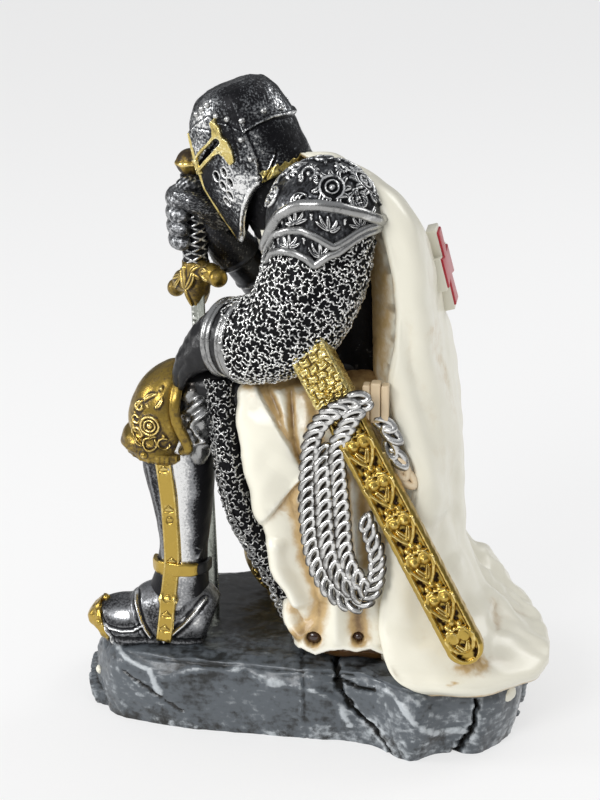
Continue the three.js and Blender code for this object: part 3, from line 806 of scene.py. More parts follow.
@dataclass(frozen=True)
class Finish:
    """A painted finish: its colours, how the wash and the dry brush lie, its gloss and its grain."""

    slot: Slot
    paint: tuple
    wash: tuple
    crest: tuple
    stain_and_shade: tuple = (0.1, 0.06, 0.03)
    metallic: float = 0.0
    wash_metallic: float = 0.0
    roughness: float = 0.4
    wash_roughness: float = 0.5
    crest_roughness: float = 0.3
    wash_at: Pair = (0.1, 0.6)
    crest_at: Pair = (0.1, 0.6)
    grain_size: float = 0.8
    grain: float = 0.3
    mottle_size: float = 7.0
    mottle: float = 0.2
    bump: float = 0.2
    bump_size: float = 0.5
    coat: float = 0.0
    stain_break: float = 0.5
    tide: tuple | None = None
    specular: float = 0.5
    keep: float = 0.25

    def material(self) -> bpy.types.Material:
        """Builds the finish's material.

        Returns:
            The material, reading Object coordinates and the piece's cavity and stain marks.
        """
        out = bpy.data.materials.new("%s_%03d" % (self.slot.value, len(bpy.data.materials)))
        out.use_nodes = True
        n = Nodes(out.node_tree)
        place = n.add("TexCoord").outputs["Object"]
        hollow = n.add("Attribute", set_attribute_name="cavity").outputs["Fac"]
        stain_shade_mark = n.add("Attribute", set_attribute_name="stain_and_shade").outputs["Fac"]
        paint = n.add("Group", set_node_tree=Groups.worn_paint(), Vector=place, Cavity=hollow)
        rgba = {"Paint": self.paint, "Wash": self.wash, "Crest": self.crest}
        for label, colour in rgba.items():
            paint.inputs[label].default_value = (*colour, 1)
        numbers = {"Wash Low": self.wash_at[0], "Wash High": self.wash_at[1], "Crest Low": self.crest_at[0],
                   "Crest High": self.crest_at[1], "Grain Size": self.grain_size, "Grain": self.grain,
                   "Mottle Size": self.mottle_size, "Mottle": self.mottle}
        for label, value in numbers.items():
            paint.inputs[label].default_value = value
        wash, crest, grain = (paint.outputs[k] for k in ("Wash Mask", "Crest Mask", "Grain"))
        broken = n.maths("ADD", stain_shade_mark,
                         n.maths("MULTIPLY", n.maths("SUBTRACT", grain, 0.5), self.stain_break))
        colour, low = paint.outputs["Colour"], 0.05
        if self.tide:
            # The stain mark, stains with painted shade on some pieces, starts as a thin warm film and darkens
            # where it is thick
            film = n.maths("MULTIPLY", n.between(broken, 0.0, 0.5), n.between(stain_shade_mark, 0.0, 0.15))
            colour, low = n.blend(film, colour, (*self.tide, 1)), 0.42
        spot = n.maths("MULTIPLY", n.between(broken, low, 0.95), n.between(stain_shade_mark, 0.0, 0.12))
        colour = n.blend(spot, colour, (*self.stain_and_shade, 1))
        dull = n.maths("MULTIPLY", wash, self.wash_roughness - self.roughness)
        shine = n.maths("MULTIPLY", crest, self.crest_roughness - self.roughness)
        rough = n.maths("ADD", n.maths("ADD", self.roughness, dull), shine)
        rough = n.maths("ADD", rough, n.maths("MULTIPLY", n.maths("SUBTRACT", grain, 0.5), 0.16))
        fine = n.add("TexNoise", Vector=place, Scale=PER_METRE / self.bump_size, Detail=4.0).outputs["Fac"]
        bump = n.add("Bump", Strength=self.bump, Distance=BUMP_DEPTH, Height=fine).outputs["Normal"]
        shader = n.add("BsdfPrincipled", Base_Color=colour, Roughness=rough, Normal=bump)
        if self.metallic != self.wash_metallic:
            metal = n.maths("ADD", self.metallic,
                            n.maths("MULTIPLY", wash, self.wash_metallic - self.metallic))
            n.put(shader.inputs["Metallic"], metal)
        else:
            shader.inputs["Metallic"].default_value = self.metallic
        for label, value in (("Specular IOR Level", self.specular), ("Coat Weight", self.coat),
                             ("Coat Roughness", 0.25)):
            shader.inputs[label].default_value = value
        n.add("OutputMaterial", Surface=shader.outputs[0])
        return out


FINISHES = {
    "cloth": Finish(Slot.CLOTH, (0.76, 0.735, 0.62), (0.34, 0.20, 0.085), (0.82, 0.80, 0.71),
                    stain_and_shade=(0.11, 0.05, 0.013), tide=(0.50, 0.345, 0.155), roughness=0.34, wash_roughness=0.42,
                    crest_roughness=0.3, wash_at=(0.15, 1.1), crest_at=(0.0, 1.0), grain_size=3.2, grain=0.3,
                    mottle_size=14, mottle=0.25, bump=0.05, bump_size=1.2, coat=0.2, stain_break=0.7,
                    keep=0.17),
    # A darker, browner cream for the belt's bars and the cream-painted links: the recess's brown wash with
    # its shade painted in
    "cream_wash_and_shade": Finish(Slot.CLOTH, (0.66, 0.52, 0.34), (0.30, 0.17, 0.07), (0.72, 0.60, 0.42),
                    stain_and_shade=(0.2, 0.1, 0.04),
                    roughness=0.4, wash_at=(0.1, 0.9), grain=0.4, bump=0.1),
    "hole_black": Finish(Slot.CLOTH, (0.030, 0.010, 0.005), (0.015, 0.006, 0.003), (0.04, 0.015, 0.008),
                      roughness=0.14,
                      wash_roughness=0.14, crest_roughness=0.14, grain=0.1, bump=0.0, coat=0.8),
    "gold": Finish(Slot.GOLD, (0.50, 0.345, 0.078), (0.035, 0.018, 0.004), (0.88, 0.70, 0.29),
                   stain_and_shade=(0.018, 0.008, 0.003), metallic=1.0, wash_metallic=0.3, roughness=0.3,
                   wash_roughness=0.5,
                   crest_roughness=0.24, wash_at=(0.2, 1.0), crest_at=(0.08, 0.7), grain_size=0.9, grain=0.8,
                   mottle_size=6, mottle=0.6, bump=0.2, bump_size=0.5, keep=0.33),
    # A darker, browner copy of the gold: painted shade on the sword's guard, pommel and langet, which lie in
    # shadow, and a duller gold on the knee cops
    "dark_gold_and_shade": Finish(Slot.GOLD, (0.33, 0.225, 0.05), (0.03, 0.016, 0.004), (0.86, 0.66, 0.25),
                       stain_and_shade=(0.018, 0.008, 0.003), metallic=1.0, wash_metallic=0.3, roughness=0.32,
                       wash_roughness=0.5, crest_roughness=0.25, wash_at=(-0.1, 0.4), crest_at=(0.08, 0.6),
                       grain_size=0.9, grain=0.9, mottle_size=7, mottle=1.2, bump=0.2, bump_size=0.5),
    "bright_gold": Finish(Slot.GOLD, (0.66, 0.53, 0.19), (0.05, 0.03, 0.006), (0.95, 0.86, 0.50),
                          metallic=1.0,
                          wash_metallic=0.3, roughness=0.28, wash_roughness=0.5, crest_roughness=0.22,
                          wash_at=(0.05, 0.5), crest_at=(0.0, 0.5), grain_size=0.7, grain=1.6, mottle_size=3,
                          mottle=1.0, bump=0.3, bump_size=0.5),
    "gilding": Finish(Slot.GOLD, (0.46, 0.36, 0.11), (0.03, 0.025, 0.015), (0.75, 0.66, 0.32), metallic=0.95,
                      wash_metallic=0.5, roughness=0.34, wash_at=(0.0, 0.4), crest_at=(0.05, 0.5),
                      grain_size=0.8,
                      grain=2.4, mottle_size=3, mottle=1.6, bump=0.3),
    "silver": Finish(Slot.SILVER, (0.28, 0.285, 0.295), (0.010, 0.010, 0.012), (0.82, 0.82, 0.81),
                     stain_and_shade=(0.003, 0.003, 0.004), metallic=1.0, wash_metallic=0.5, roughness=0.33,
                     wash_roughness=0.45,
                     crest_roughness=0.26, wash_at=(-0.05, 0.55), crest_at=(0.05, 0.6), grain_size=0.5,
                     grain=1.3,
                     mottle_size=10, mottle=0.4, bump=0.3, bump_size=0.6, specular=0.3),
    "helm": Finish(Slot.SILVER, (0.16, 0.167, 0.175), (0.006, 0.006, 0.008), (0.82, 0.82, 0.81),
                   stain_and_shade=(0.002, 0.002, 0.002), metallic=1.0, wash_metallic=0.5, roughness=0.33,
                   wash_roughness=0.45,
                   crest_roughness=0.26, wash_at=(-0.2, 0.16), crest_at=(0.14, 0.5), grain_size=0.55,
                   grain=2.3,
                   mottle_size=9, mottle=1.8, bump=0.3, bump_size=0.7, specular=0.3, keep=0.33),
    "engraved": Finish(Slot.SILVER, (0.075, 0.078, 0.084), (0.003, 0.003, 0.004), (0.78, 0.78, 0.77),
                       stain_and_shade=(0.003, 0.003, 0.003), metallic=1.0, wash_metallic=0.2, roughness=0.34,
                       wash_roughness=0.46, crest_roughness=0.27, wash_at=(-0.1, 0.2), crest_at=(0.04, 0.42),
                       grain_size=0.7, grain=0.8, mottle_size=4, mottle=0.8, bump=0.2, bump_size=0.5,
                       specular=0.2),
    "rim": Finish(Slot.SILVER, (0.36, 0.36, 0.355), (0.02, 0.02, 0.022), (0.84, 0.84, 0.83), metallic=1.0,
                  wash_metallic=0.5, roughness=0.28, crest_roughness=0.23, wash_at=(0.1, 0.7),
                  crest_at=(0.1, 0.7),
                  grain_size=1.0, grain=1.4, mottle_size=5, mottle=1.6, bump=0.25, bump_size=0.7),
    "rivet": Finish(Slot.SILVER, (0.50, 0.50, 0.49), (0.02, 0.02, 0.02), (0.80, 0.80, 0.79), metallic=1.0,
                    roughness=0.3, crest_roughness=0.25, grain=1.2, mottle_size=3, mottle=1.2, bump=0.2),
    "dark_steel": Finish(Slot.SILVER, (0.045, 0.046, 0.05), (0.004, 0.004, 0.005), (0.42, 0.42, 0.42),
                         metallic=1.0,
                         wash_metallic=0.3, roughness=0.32, wash_roughness=0.45, crest_roughness=0.27,
                         wash_at=(0.0, 0.5), crest_at=(0.12, 0.7), grain_size=0.6, grain=1.2, mottle_size=5,
                         mottle=0.8, bump=0.25, specular=0.2, keep=0.33),
    # Near-black and matt: the painted shade seen in the helm's slit
    "slit_shade": Finish(Slot.LEATHER, (0.002, 0.002, 0.002), (0.001, 0.001, 0.001), (0.003, 0.003, 0.003),
                   roughness=0.8,
                   wash_roughness=0.8, crest_roughness=0.8, grain=0.1, bump=0.0, specular=0.0),
    "mail": Finish(Slot.MAIL, (0.32, 0.32, 0.315), (0.012, 0.012, 0.014), (0.86, 0.86, 0.84), metallic=1.0,
                   wash_metallic=0.5, roughness=0.28, crest_roughness=0.24, wash_at=(0.05, 0.6),
                   crest_at=(0.0, 0.5),
                   grain_size=1.0, grain=1.8, mottle_size=7, mottle=1.6, bump=0.2),
    "mail_dim": Finish(Slot.MAIL, (0.105, 0.105, 0.107), (0.005, 0.005, 0.006), (0.56, 0.56, 0.55),
                       metallic=1.0,
                       wash_metallic=0.5, roughness=0.3, crest_roughness=0.24, wash_at=(-0.1, 0.4),
                       crest_at=(0.1, 0.6), grain_size=1.2, grain=1.8, mottle_size=6, mottle=1.8, bump=0.2),
    "mail_base": Finish(Slot.MAIL, (0.004, 0.004, 0.005), (0.002, 0.002, 0.002), (0.12, 0.12, 0.12),
                        roughness=0.42, crest_roughness=0.35, wash_at=(0.0, 0.4), crest_at=(0.25, 0.9),
                        grain_size=0.5, grain=1.6, mottle=0.4, bump=0.5, bump_size=0.7, specular=0.1,
                        keep=0.13),
    "leather": Finish(Slot.LEATHER, (0.009, 0.009, 0.010), (0.003, 0.003, 0.003), (0.10, 0.10, 0.10),
                      roughness=0.34,
                      wash_at=(0.05, 0.5), crest_at=(0.2, 0.9), grain_size=0.6, grain=0.9, mottle=0.8,
                      bump=0.3,
                      bump_size=0.5, specular=0.35, keep=0.15),
    "knit": Finish(Slot.LEATHER, (0.075, 0.077, 0.082), (0.003, 0.003, 0.004), (0.55, 0.56, 0.57),
                   metallic=0.9,
                   wash_metallic=0.2, roughness=0.36, crest_roughness=0.28, wash_at=(0.0, 0.45),
                   crest_at=(0.02, 0.6),
                   grain_size=0.45, grain=1.4, mottle_size=3, mottle=0.5, bump=0.4, bump_size=0.4,
                   specular=0.25),
    "chain": Finish(Slot.CHAIN, (0.27, 0.265, 0.255), (0.026, 0.019, 0.012), (0.72, 0.715, 0.695),
                    metallic=0.95,
                    wash_metallic=0.4, roughness=0.33, crest_roughness=0.27, wash_at=(-0.02, 0.42),
                    crest_at=(0.0, 0.5),
                    grain_size=1.1, grain=1.2, mottle_size=5, mottle=1.0, bump=0.25),
    "blade": Finish(Slot.SILVER, (0.30, 0.315, 0.28), (0.03, 0.03, 0.024), (0.72, 0.73, 0.68), metallic=1.0,
                    wash_metallic=0.5, roughness=0.28, crest_roughness=0.24, wash_at=(0.05, 0.6),
                    crest_at=(0.05, 0.7),
                    grain_size=1.0, grain=1.4, mottle_size=6, mottle=1.2, bump=0.2, keep=0.33),
    "red": Finish(Slot.RED, (0.42, 0.012, 0.022), (0.12, 0.006, 0.008), (0.52, 0.03, 0.04), roughness=0.34,
                  grain=0.3, bump=0.1, coat=0.2),
    "rock": Finish(Slot.ROCK, (0.080, 0.092, 0.104), (0.012, 0.013, 0.013), (0.42, 0.45, 0.47),
                   stain_and_shade=(0.010, 0.0095, 0.008), roughness=0.36, wash_roughness=0.42, crest_roughness=0.42,
                   wash_at=(0.05, 0.8), crest_at=(0.1, 1.0), grain_size=1.6, grain=1.5, mottle_size=16,
                   mottle=1.8,
                   bump=0.45, bump_size=1.6, coat=0.15, stain_break=2.2, keep=0.5),
}


class Part:
    """A sub-assembly, which makes its pieces at the shared workbench."""

    bench: Bench


@dataclass
class Rock(Part):
    """The broken slab of slate that the knight kneels on."""

    plan: tuple = (
        (57.8, -8), (55.6, 6), (50.5, 20), (36, 32), (14, 36), (-10, 36), (-32, 31.5), (-46, 21), (-52, 6),
        (-52, -6), (-50.2, -15), (-44.4, -24.2), (-29.8, -28.2), (-12.4, -29.6), (5.9, -30.4), (14, -30),
        (21.8, -32),
        (28.7, -37), (34.2, -38.2), (41, -33.0), (49.6, -31.6), (56.4, -22.6),
    )
    height: float = 19.0
    centre: Pair = (1.7, 2.5)
    facet: float = 14.0
    bend: float = 0.66
    inset: float = 0.085
    columns: int = 420
    rows: int = 46
    cracks: tuple = (
        ([(8.2, 24.0), (12.6, 19.0), (13.2, 15.5), (16.5, 9.5), (22.0, 4.5), (26.5, -1.0)], 0.48, 2.0),
        ([(13.0, 17.0), (18.5, 15.2), (22.0, 15.6)], 0.34, 1.1),
        ([(47.5, 14.5), (47.0, 8.0), (42.5, 0.0)], 0.6, 2.2),
        ([(-25.5, 4.5), (-34.5, 10.0), (-41.5, 13.5)], 0.35, 0.7),
    )
    seam: tuple = ((3.6, 18.5), (4.2, 12.0), (4.2, 6.0), (4.7, 0.0))
    ridges: tuple = (
        [(-47, 20), (-40, 17.6), (-34, 15), (-31.5, 8.5)],
        [(-31, 13), (-22, 16.4), (-10, 17.4), (-3, 15.2), (6, 14.6), (13, 11.2), (16, 5)],
        [(25, 16), (31, 12.5), (36, 7.5), (46, 6.0)],
    )

    def outline(self, turn: Array, level: Array) -> tuple[Array, Array]:
        """The slab's outline in plan at a share of its height.

        Args:
            turn: shares of the way round.
            level: shares of the height.

        Returns:
            The outline's x and y.
        """
        loop = np.array(self.plan[-2:] + self.plan + self.plan[:3])
        spot = catmull(loop, (2 + turn * len(self.plan)) / (len(loop) - 1))
        swell = (0.96 + 0.045 * np.sin(np.pi * np.minimum(1, level * 0.75 + 0.15))
                 + 0.006 * np.sin(58 * turn + 3 * level))
        return (self.centre[0] + (spot[:, 0] - self.centre[0]) * swell,
                self.centre[1] + (spot[:, 1] - self.centre[1]) * swell)

    def plain(self) -> Array:
        """The slab before it is chipped: its side, its rounded edge and its top.

        Returns:
            The plain slab.
        """
        turn = np.arange(self.columns) / self.columns
        rings = []
        for level in np.linspace(0, 1, self.rows):
            x, y = self.outline(turn, np.full(turn.shape, level))
            arc = max(0.0, (level - self.bend) / (1 - self.bend)) * np.pi / 2
            inset = 1 - self.inset * (1 - math.cos(arc))
            high = level if level < self.bend else self.bend + (1 - self.bend) * math.sin(arc)
            rings.append(np.stack([self.centre[0] + (x - self.centre[0]) * inset,
                                   self.centre[1] + (y - self.centre[1]) * inset,
                                   np.full(turn.shape, high * self.height)], -1))
        edge = rings[-1]
        middle = np.array([*self.centre, self.height])
        for share in np.linspace(0.02, 0.98, self.rows):
            ring = middle + (edge - middle) * (1 - share)
            ring[:, 2] = self.height + 0.5 * smooth(0, 0.1, np.array(share))
            rings.append(ring)
        return np.array(rings)

    def chip(self, base: Array) -> tuple[Array, Array, Array]:
        """The broken facets: each is a tilted plane, and the lowest one at a point is the stone's face.

        Args:
            base: the plain slab.

        Returns:
            The depth under the plain slab, the mark of the ridges between the facets, and each facet's tone.
        """
        rng = np.random.default_rng(17)
        flat = base.reshape(-1, 3)
        out = normals(base).reshape(-1, 3)
        seeds: list[int] = []
        for pick in rng.integers(0, len(flat), 900):
            p = flat[pick]
            near = self.facet if p[2] < self.height - 0.3 else 1.5 * self.facet
            if all(np.linalg.norm(p - flat[q]) > near for q in seeds):
                seeds.append(pick)
        stack = []
        for pick in seeds:
            tilt = unit(out[pick] + rng.normal(size=3) * [0.19, 0.19, 0.24])
            sunk = ((flat - flat[pick]) @ tilt) + rng.uniform(0.2, 1.5)
            along = np.maximum((out * tilt).sum(-1), 0.25)
            stack.append(np.where((out * tilt).sum(-1) > 0.2, sunk / along, -9.0))
        tone = rng.uniform(-0.42, 0.5, len(seeds))[np.argmax(stack, axis=0)]
        stack = np.sort(np.array(stack), axis=0)[::-1][:2]
        depth = np.clip(stack[0] - 0.6, 0, 2.3).reshape(base.shape[:2])
        ridge = np.exp(-(stack[0] - stack[1]) / 0.22).reshape(base.shape[:2])
        return depth, ridge * smooth(0.0, 0.4, depth), tone.reshape(depth.shape) * smooth(0.0, 0.3, depth)

    def build(self) -> None:
        """Chips, cracks and paints the slab."""
        base = self.plain()
        x, y, z = base[..., 0], base[..., 1], base[..., 2]
        depth, ridge, tone = self.chip(base)
        top = smooth(self.height - 0.6, self.height + 0.2, z)
        rise = 0.9 * (1 - top) - depth * (1 - 0.8 * top)
        rise = rise + 0.3 * noise(base, 7.0, 3) + 0.13 * noise(base * [1, 1, 2.2], 2.4, 4)
        front = smooth(-8, -16, y)
        stain_and_shade = np.zeros(x.shape)
        for line, half, deep in self.cracks:
            d, _ = to_line(x + 0.5 * noise(base, 3.0, 9), z, line)
            groove = hump(d, half) * front
            rise -= deep * groove
            stain_and_shade += 1.1 * hump(d, 1.2 * half) * front
        for line in self.ridges:
            d, _ = to_line(x, z + 0.8 * noise(base, 9.0, 6), line)
            swell = hump(d, 0.9) * front
            rise += 0.5 * swell
            ridge = np.maximum(ridge, swell)
        d, share = to_line(x, z, self.seam)
        beads = 0.5 + 0.5 * np.sin(share * 46 + 2 * np.sin(share * 17))
        rise += 0.45 * hump(d, 0.5) * beads * front
        rise -= 0.35 * hump(d - 0.9, 0.4) * front
        low = smooth(6.5, 1.0, z + 3.0 * noise(base, 11.0, 8))
        stain_and_shade += (0.5 + 0.3 * smooth(10, -20, x)) * low * (0.7 + 0.5 * noise(base, 7.0, 7))
        stain_and_shade += 0.62 * top * smooth(-16, -2, y) + 0.55 * top * hump(x + 12, 15) * smooth(-28, -18, y)
        rise = np.where(z < 0.3, np.minimum(rise, -0.3), rise)
        points = raised(base, rise)
        points[..., 2] = np.where(z < 0.01, 0.0, np.maximum(points[..., 2], 0.05))
        brushed = ridge * smooth(-0.7, 0.3, noise(base, 8.0, 10))
        streaks = smooth(0.15, 1.1,
                         noise(base * [0.3, 0.3, 1.6], 1.3, 11)) * smooth(-0.3, 0.7, noise(base, 10.0, 12))
        brushed = (0.95 * brushed + 0.5 * streaks) * (1 - 0.85 * top)
        marks = {"cavity": np.clip(0.6 * cavity(base, points, True, 8, 0.35) - brushed + 0.25 * top
                                   + tone * (1 - top), -1, 1),
                 "stain_and_shade": np.clip(stain_and_shade, 0, 1)}
        self.bench.skin("rock", points, "rock", marks, angle=35)
        self.flecks(points)

    def flecks(self, points: Array) -> None:
        """The white paint fleck on the rock's nose and the cream spill beside the cape's hem.

        Args:
            points: the chipped slab that the paint clings to.
        """
        flat, out = points.reshape(-1, 3), normals(points).reshape(-1, 3)
        for name, centre, radii in (("paint_fleck", (-49.9, -16.0, 9.2), (1.2, 1.2, 0.8)),
                                    ("paint_spill", (55.4, -22.8, 12.6), (2.7, 1.7, 0.25))):
            mesh = ball(32, 16).data
            co = coordinates(mesh)
            first = out[((flat - centre) ** 2).sum(-1).argmin()]
            wide = unit(np.cross(first, [0.0, 0.0, 1.0]))
            high = np.cross(wide, first)
            aim = centre + co[:, :1] * radii[0] * wide + co[:, 1:2] * radii[1] * high
            far = ((flat[None] - aim[:, None]) ** 2).sum(-1)
            near = np.argpartition(far, 8, axis=1)[:, :8]
            weight = 1 / (np.take_along_axis(far, near, 1)[..., None] + 0.05)
            place = (flat[near] * weight).sum(1) / weight.sum(1)
            place += unit((out[near] * weight).sum(1)) * co[:, 2:] * radii[2]
            set_coordinates(mesh, place)
            self.bench.shaped(name, "cloth")


def slumped(points: Array) -> Array:
    """The upper body's points, moved forward and down as they lie further to the right."""
    reach = (points[..., 1] + 25.0) * smooth(92, 134, points[..., 2])
    return points - np.stack([0.17 * reach, np.zeros(reach.shape), 0.28 * reach], -1)


@dataclass
class Surcoat(Part):
    """The cream surcoat: the skirt down to the rock, the folded flap and the breast panel."""

    shape: tuple = (
        [17, 8, -4, 28, 24, 24], [21, 4, -7, 30, 28.5, 27.5], [27, 1.3, -7.5, 29, 28, 27],
        [41, -3.5, -6.5, 28, 27, 25], [54, -7, -4.5, 27, 27, 23.5], [69, -9.8, -1, 26, 27.5, 22],
        [80, -11.5, 1, 25, 27, 20.5], [88, -12.2, 3, 24, 24, 18.5], [92, -5, 5, 20, 16, 14],
    )
    flap: tuple = (
        (-14.5, 91), (-7.4, 88.8), (-2.7, 82), (1.6, 75.5), (4.6, 69.9), (4.4, 67.9), (0.4, 62.6),
        (-5.7, 54.7),
        (-9.5, 50), (-14.5, 50),
    )
    flap_rise: float = 1.7
    columns: int = 400
    hem: tuple = (
        (-3, 19.6), (0, 21.4), (4.5, 23.6), (7.8, 22.4), (10.8, 23.6), (14.6, 24.4), (17.8, 23.8),
        (21.1, 24.6),
        (24.3, 23.2), (26.0, 21.6), (30, 20),
    )
    holes: tuple = ((7.1, 26.6, 1.9), (17.9, 27.5, 1.35))
    folds: tuple = (
        Fold([(-5.2, 89.4), (-3.3, 86.5), (-0.6, 81.7)], -0.8, 0.8, stain_and_shade=0.7, stain_width=0.9),
        Fold([(1.0, 89.2), (1.9, 80.9), (2.8, 75.0), (4.4, 70.5)], -1.0, 0.8, stain_and_shade=0.75, stain_width=1.1),
        Fold([(-2.0, 89.0), (-0.6, 84.0), (2.4, 76.5)], 0.7, 1.4),
        Fold([(5.2, 87.0), (5.4, 80.0), (6.2, 72.0)], 0.6, 1.6, stain_and_shade=0.25, stain_width=1.0),
        Fold([(5.6, 88.0), (7.6, 82.0), (8.0, 74.0)], -0.5, 1.6, stain_and_shade=0.55, stain_width=2.2),
        Fold([(4.6, 69.9), (1.5, 62.2), (3.0, 57.2), (4.9, 47.1), (7.6, 39.5), (8.3, 35.4), (6.9, 31.1),
              (4.7, 28.3), (2.0, 26.5)], 0.0, 0.9, step=1.7, fade=6.5, stain_and_shade=0.6, stain_width=1.8),
        Fold([(3.0, 60.8), (3.9, 54.7), (4.4, 47.0), (7.0, 40.0)], -0.3, 1.2, stain_and_shade=0.6, stain_width=1.5),
        Fold([(-2.4, 52), (-1.8, 44), (1.6, 38.5), (3.6, 33)], 2.1, 2.2),
        Fold([(-4.0, 40), (-0.6, 35.6), (2.4, 31.5), (4.0, 29)], -2.1, 1.5, stain_and_shade=0.3, stain_width=1.6),
        Fold([(-2.0, 35.4), (0.8, 30.0), (4.4, 26.0)], 1.0, 1.4),
        Fold([(12.9, 38.2), (12.9, 32.0), (13.2, 25.0)], 1.1, 1.7),
        Fold([(9.0, 37.0), (8.4, 32.0), (7.2, 26.0)], -1.2, 2.0, stain_and_shade=0.6, stain_width=2.0),
        Fold([(17.6, 38.0), (18.0, 33.0), (18.4, 26.0)], -1.2, 2.0, stain_and_shade=0.75, stain_width=2.2),
        Fold([(22.2, 40.0), (23.0, 33.0), (23.6, 25.0)], 0.9, 1.8, stain_and_shade=0.15, stain_width=1.6),
        Fold([(16.3, 69.5), (17.1, 58.0), (17.8, 47.0)], 1.0, 1.1),
        Fold([(14.4, 68.0), (14.9, 58.0), (15.6, 47.0)], -0.7, 1.0, stain_and_shade=0.8, stain_width=1.4),
        Fold([(19.0, 66.0), (19.4, 56.0), (19.9, 46.0)], -0.6, 1.0, stain_and_shade=0.6, stain_width=1.6),
        Fold([(12.0, 92.0), (15.0, 80.0), (20.0, 66.0)], -0.3, 3.0, stain_and_shade=0.35, stain_width=3.6),
        Fold([(20.5, 84.0), (23.5, 73.0), (27.5, 62.0), (24.0, 50.0)], 0.0, 1.0, stain_and_shade=0.4, stain_width=3.2),
    )
    thigh: tuple = (
        [28, -6.5, 18, 10.6, 10.6], [38, -2, 16.5, 11.4, 11.4], [54, 6, 12, 11.8, 12.0],
        [70, 12, 8, 12.4, 12.4],
    )
    far_folds: tuple = (
        Fold([(-2, 84), (0, 62), (-4, 40), (-3, 24)], -1.1, 1.6, stain_and_shade=0.55, stain_width=2.2),
        Fold([(6, 86), (8, 60), (5, 38), (7, 22)], 1.0, 2.6),
        Fold([(12, 84), (14, 60), (13, 40), (14, 22)], -1.2, 1.8, stain_and_shade=0.6, stain_width=2.4),
        Fold([(18, 80), (19, 58), (18, 38), (19, 24)], 0.8, 2.4),
    )

    def plain(self) -> Array:
        """The skirt before it is folded.

        Returns:
            The plain skirt.
        """
        z = np.concatenate([np.linspace(17.5, 88, 190), np.linspace(88.4, 91.5, 12)])
        turn = np.arange(4 * self.columns) / (4 * self.columns)
        table = row_at(self.shape, z, 1.2)[:, None]
        angle = (2 * np.pi * turn)[None]
        sharp = np.where((np.cos(angle) < 0) & (np.sin(angle) < 0), 0.2, 0.42)
        c, s = power(np.cos(angle), sharp), power(np.sin(angle), sharp)
        front = table[..., 0] + (table[..., 1] - table[..., 0]) * (0.5 + 0.5 * s)
        x = front + (table[..., 2] - front) * (0.5 + 0.5 * c)
        y = np.where(s < 0, table[..., 3] * s, table[..., 4] * s)
        skirt = evened(np.stack([x, y, np.broadcast_to(z[:, None], x.shape)], -1), self.columns)
        # The cloth is drawn out over the kneeling thigh and opens above the knee
        table = row_at(self.thigh, skirt[..., 2])
        away = (skirt[..., :2] - table[..., :2]) / table[..., 2:]
        reach = np.maximum(np.linalg.norm(away, axis=-1, keepdims=True), 0.3)
        push = table[..., :2] + (skirt[..., :2] - table[..., :2]) / reach - skirt[..., :2]
        over = (reach < 1) * (smooth(35.0, 36.6, skirt[..., 2]) * smooth(4.0, 8.0, skirt[..., 1]))[..., None]
        skirt[..., :2] += push * over
        return skirt

    def build(self) -> None:
        """Folds, hems, drills and paints the surcoat."""
        base = self.plain()
        x, y, z = base[..., 0], base[..., 1], base[..., 2]
        near, far = smooth(-19, -24, y), smooth(12, 18, y)
        rise, stain_and_shade = np.zeros(x.shape), np.zeros(x.shape)
        for fold in self.folds:
            up, dirt_and_shade = fold.apply(x, z)
            rise += up * near
            stain_and_shade = np.maximum(stain_and_shade, dirt_and_shade * near)
        for fold in self.far_folds:
            up, dirt_and_shade = fold.apply(x, z)
            rise += up * far
            stain_and_shade = np.maximum(stain_and_shade, dirt_and_shade * far)
        d = inside(x, z, self.flap)
        rise += self.flap_rise * smooth(-0.5, 0.35, d) * smooth(50, 60, z) * near
        stain_and_shade *= 1 - smooth(-0.1, 0.5, d) * smooth(52, 60, z)
        stain_and_shade = np.maximum(stain_and_shade, 0.6 * hump(d + 0.9, 0.7) * smooth(54, 64, z) * near)
        stain_and_shade = np.maximum(stain_and_shade, 0.75 * smooth(85.5, 90.5, z + 1.2 * noise(base, 4, 5)))
        hem_z = np.interp(x, [p[0] for p in self.hem], [p[1] for p in self.hem])
        # The cloth turns under at the hem, and its underside is painted near-black on both sides as the
        # shadow where the hem meets the rock
        under = smooth(0.35, -0.5, z - hem_z) * near
        rise = rise * (1 - under) - 3.6 * under
        lip = hump(z - hem_z - 0.9, 0.8) * near
        rise += 0.45 * lip
        stain_and_shade = np.maximum(stain_and_shade * (1 - 0.85 * lip), 0.95 * under)
        far_under = smooth(1.2, -0.6, z - (21.5 + 1.1 * np.sin(0.55 * x))) * (1 - near)
        rise -= 2.4 * far_under
        stain_and_shade = np.maximum(stain_and_shade, 0.9 * far_under)
        for hx, hz, r in self.holes:
            gap = np.hypot(x - hx, (z - hz) * 1.12)
            pit = smooth(r + 0.25, r - 0.35, gap) * near
            rise = rise * (1 - pit) - 2.2 * pit + 0.35 * hump(gap - r - 0.5, 0.4) * near
            stain_and_shade = np.maximum(stain_and_shade, np.maximum(1.3 * pit, 0.4 * smooth(r + 1.1, r, gap) * near))
        stain_and_shade *= 1 - far * (0.4 + 0.5 * smooth(-0.6, 0.8, noise(base * [1, 1, 0.3], 12.0, 14)))
        front_edge = smooth(1.5, -1.5, x - row_at(self.shape, z, 1.0)[..., 0] - 0.6)
        stain_and_shade *= 1 - 0.6 * front_edge * near
        rise += 0.25 * noise(base, 9.0, 12) + 0.1 * noise(base, 3.5, 13)
        self.bench.carved("surcoat_skirt", base, rise, "cloth", stain_and_shade, passes=6, depth=0.5)
        self.breast()
        self.drilled()

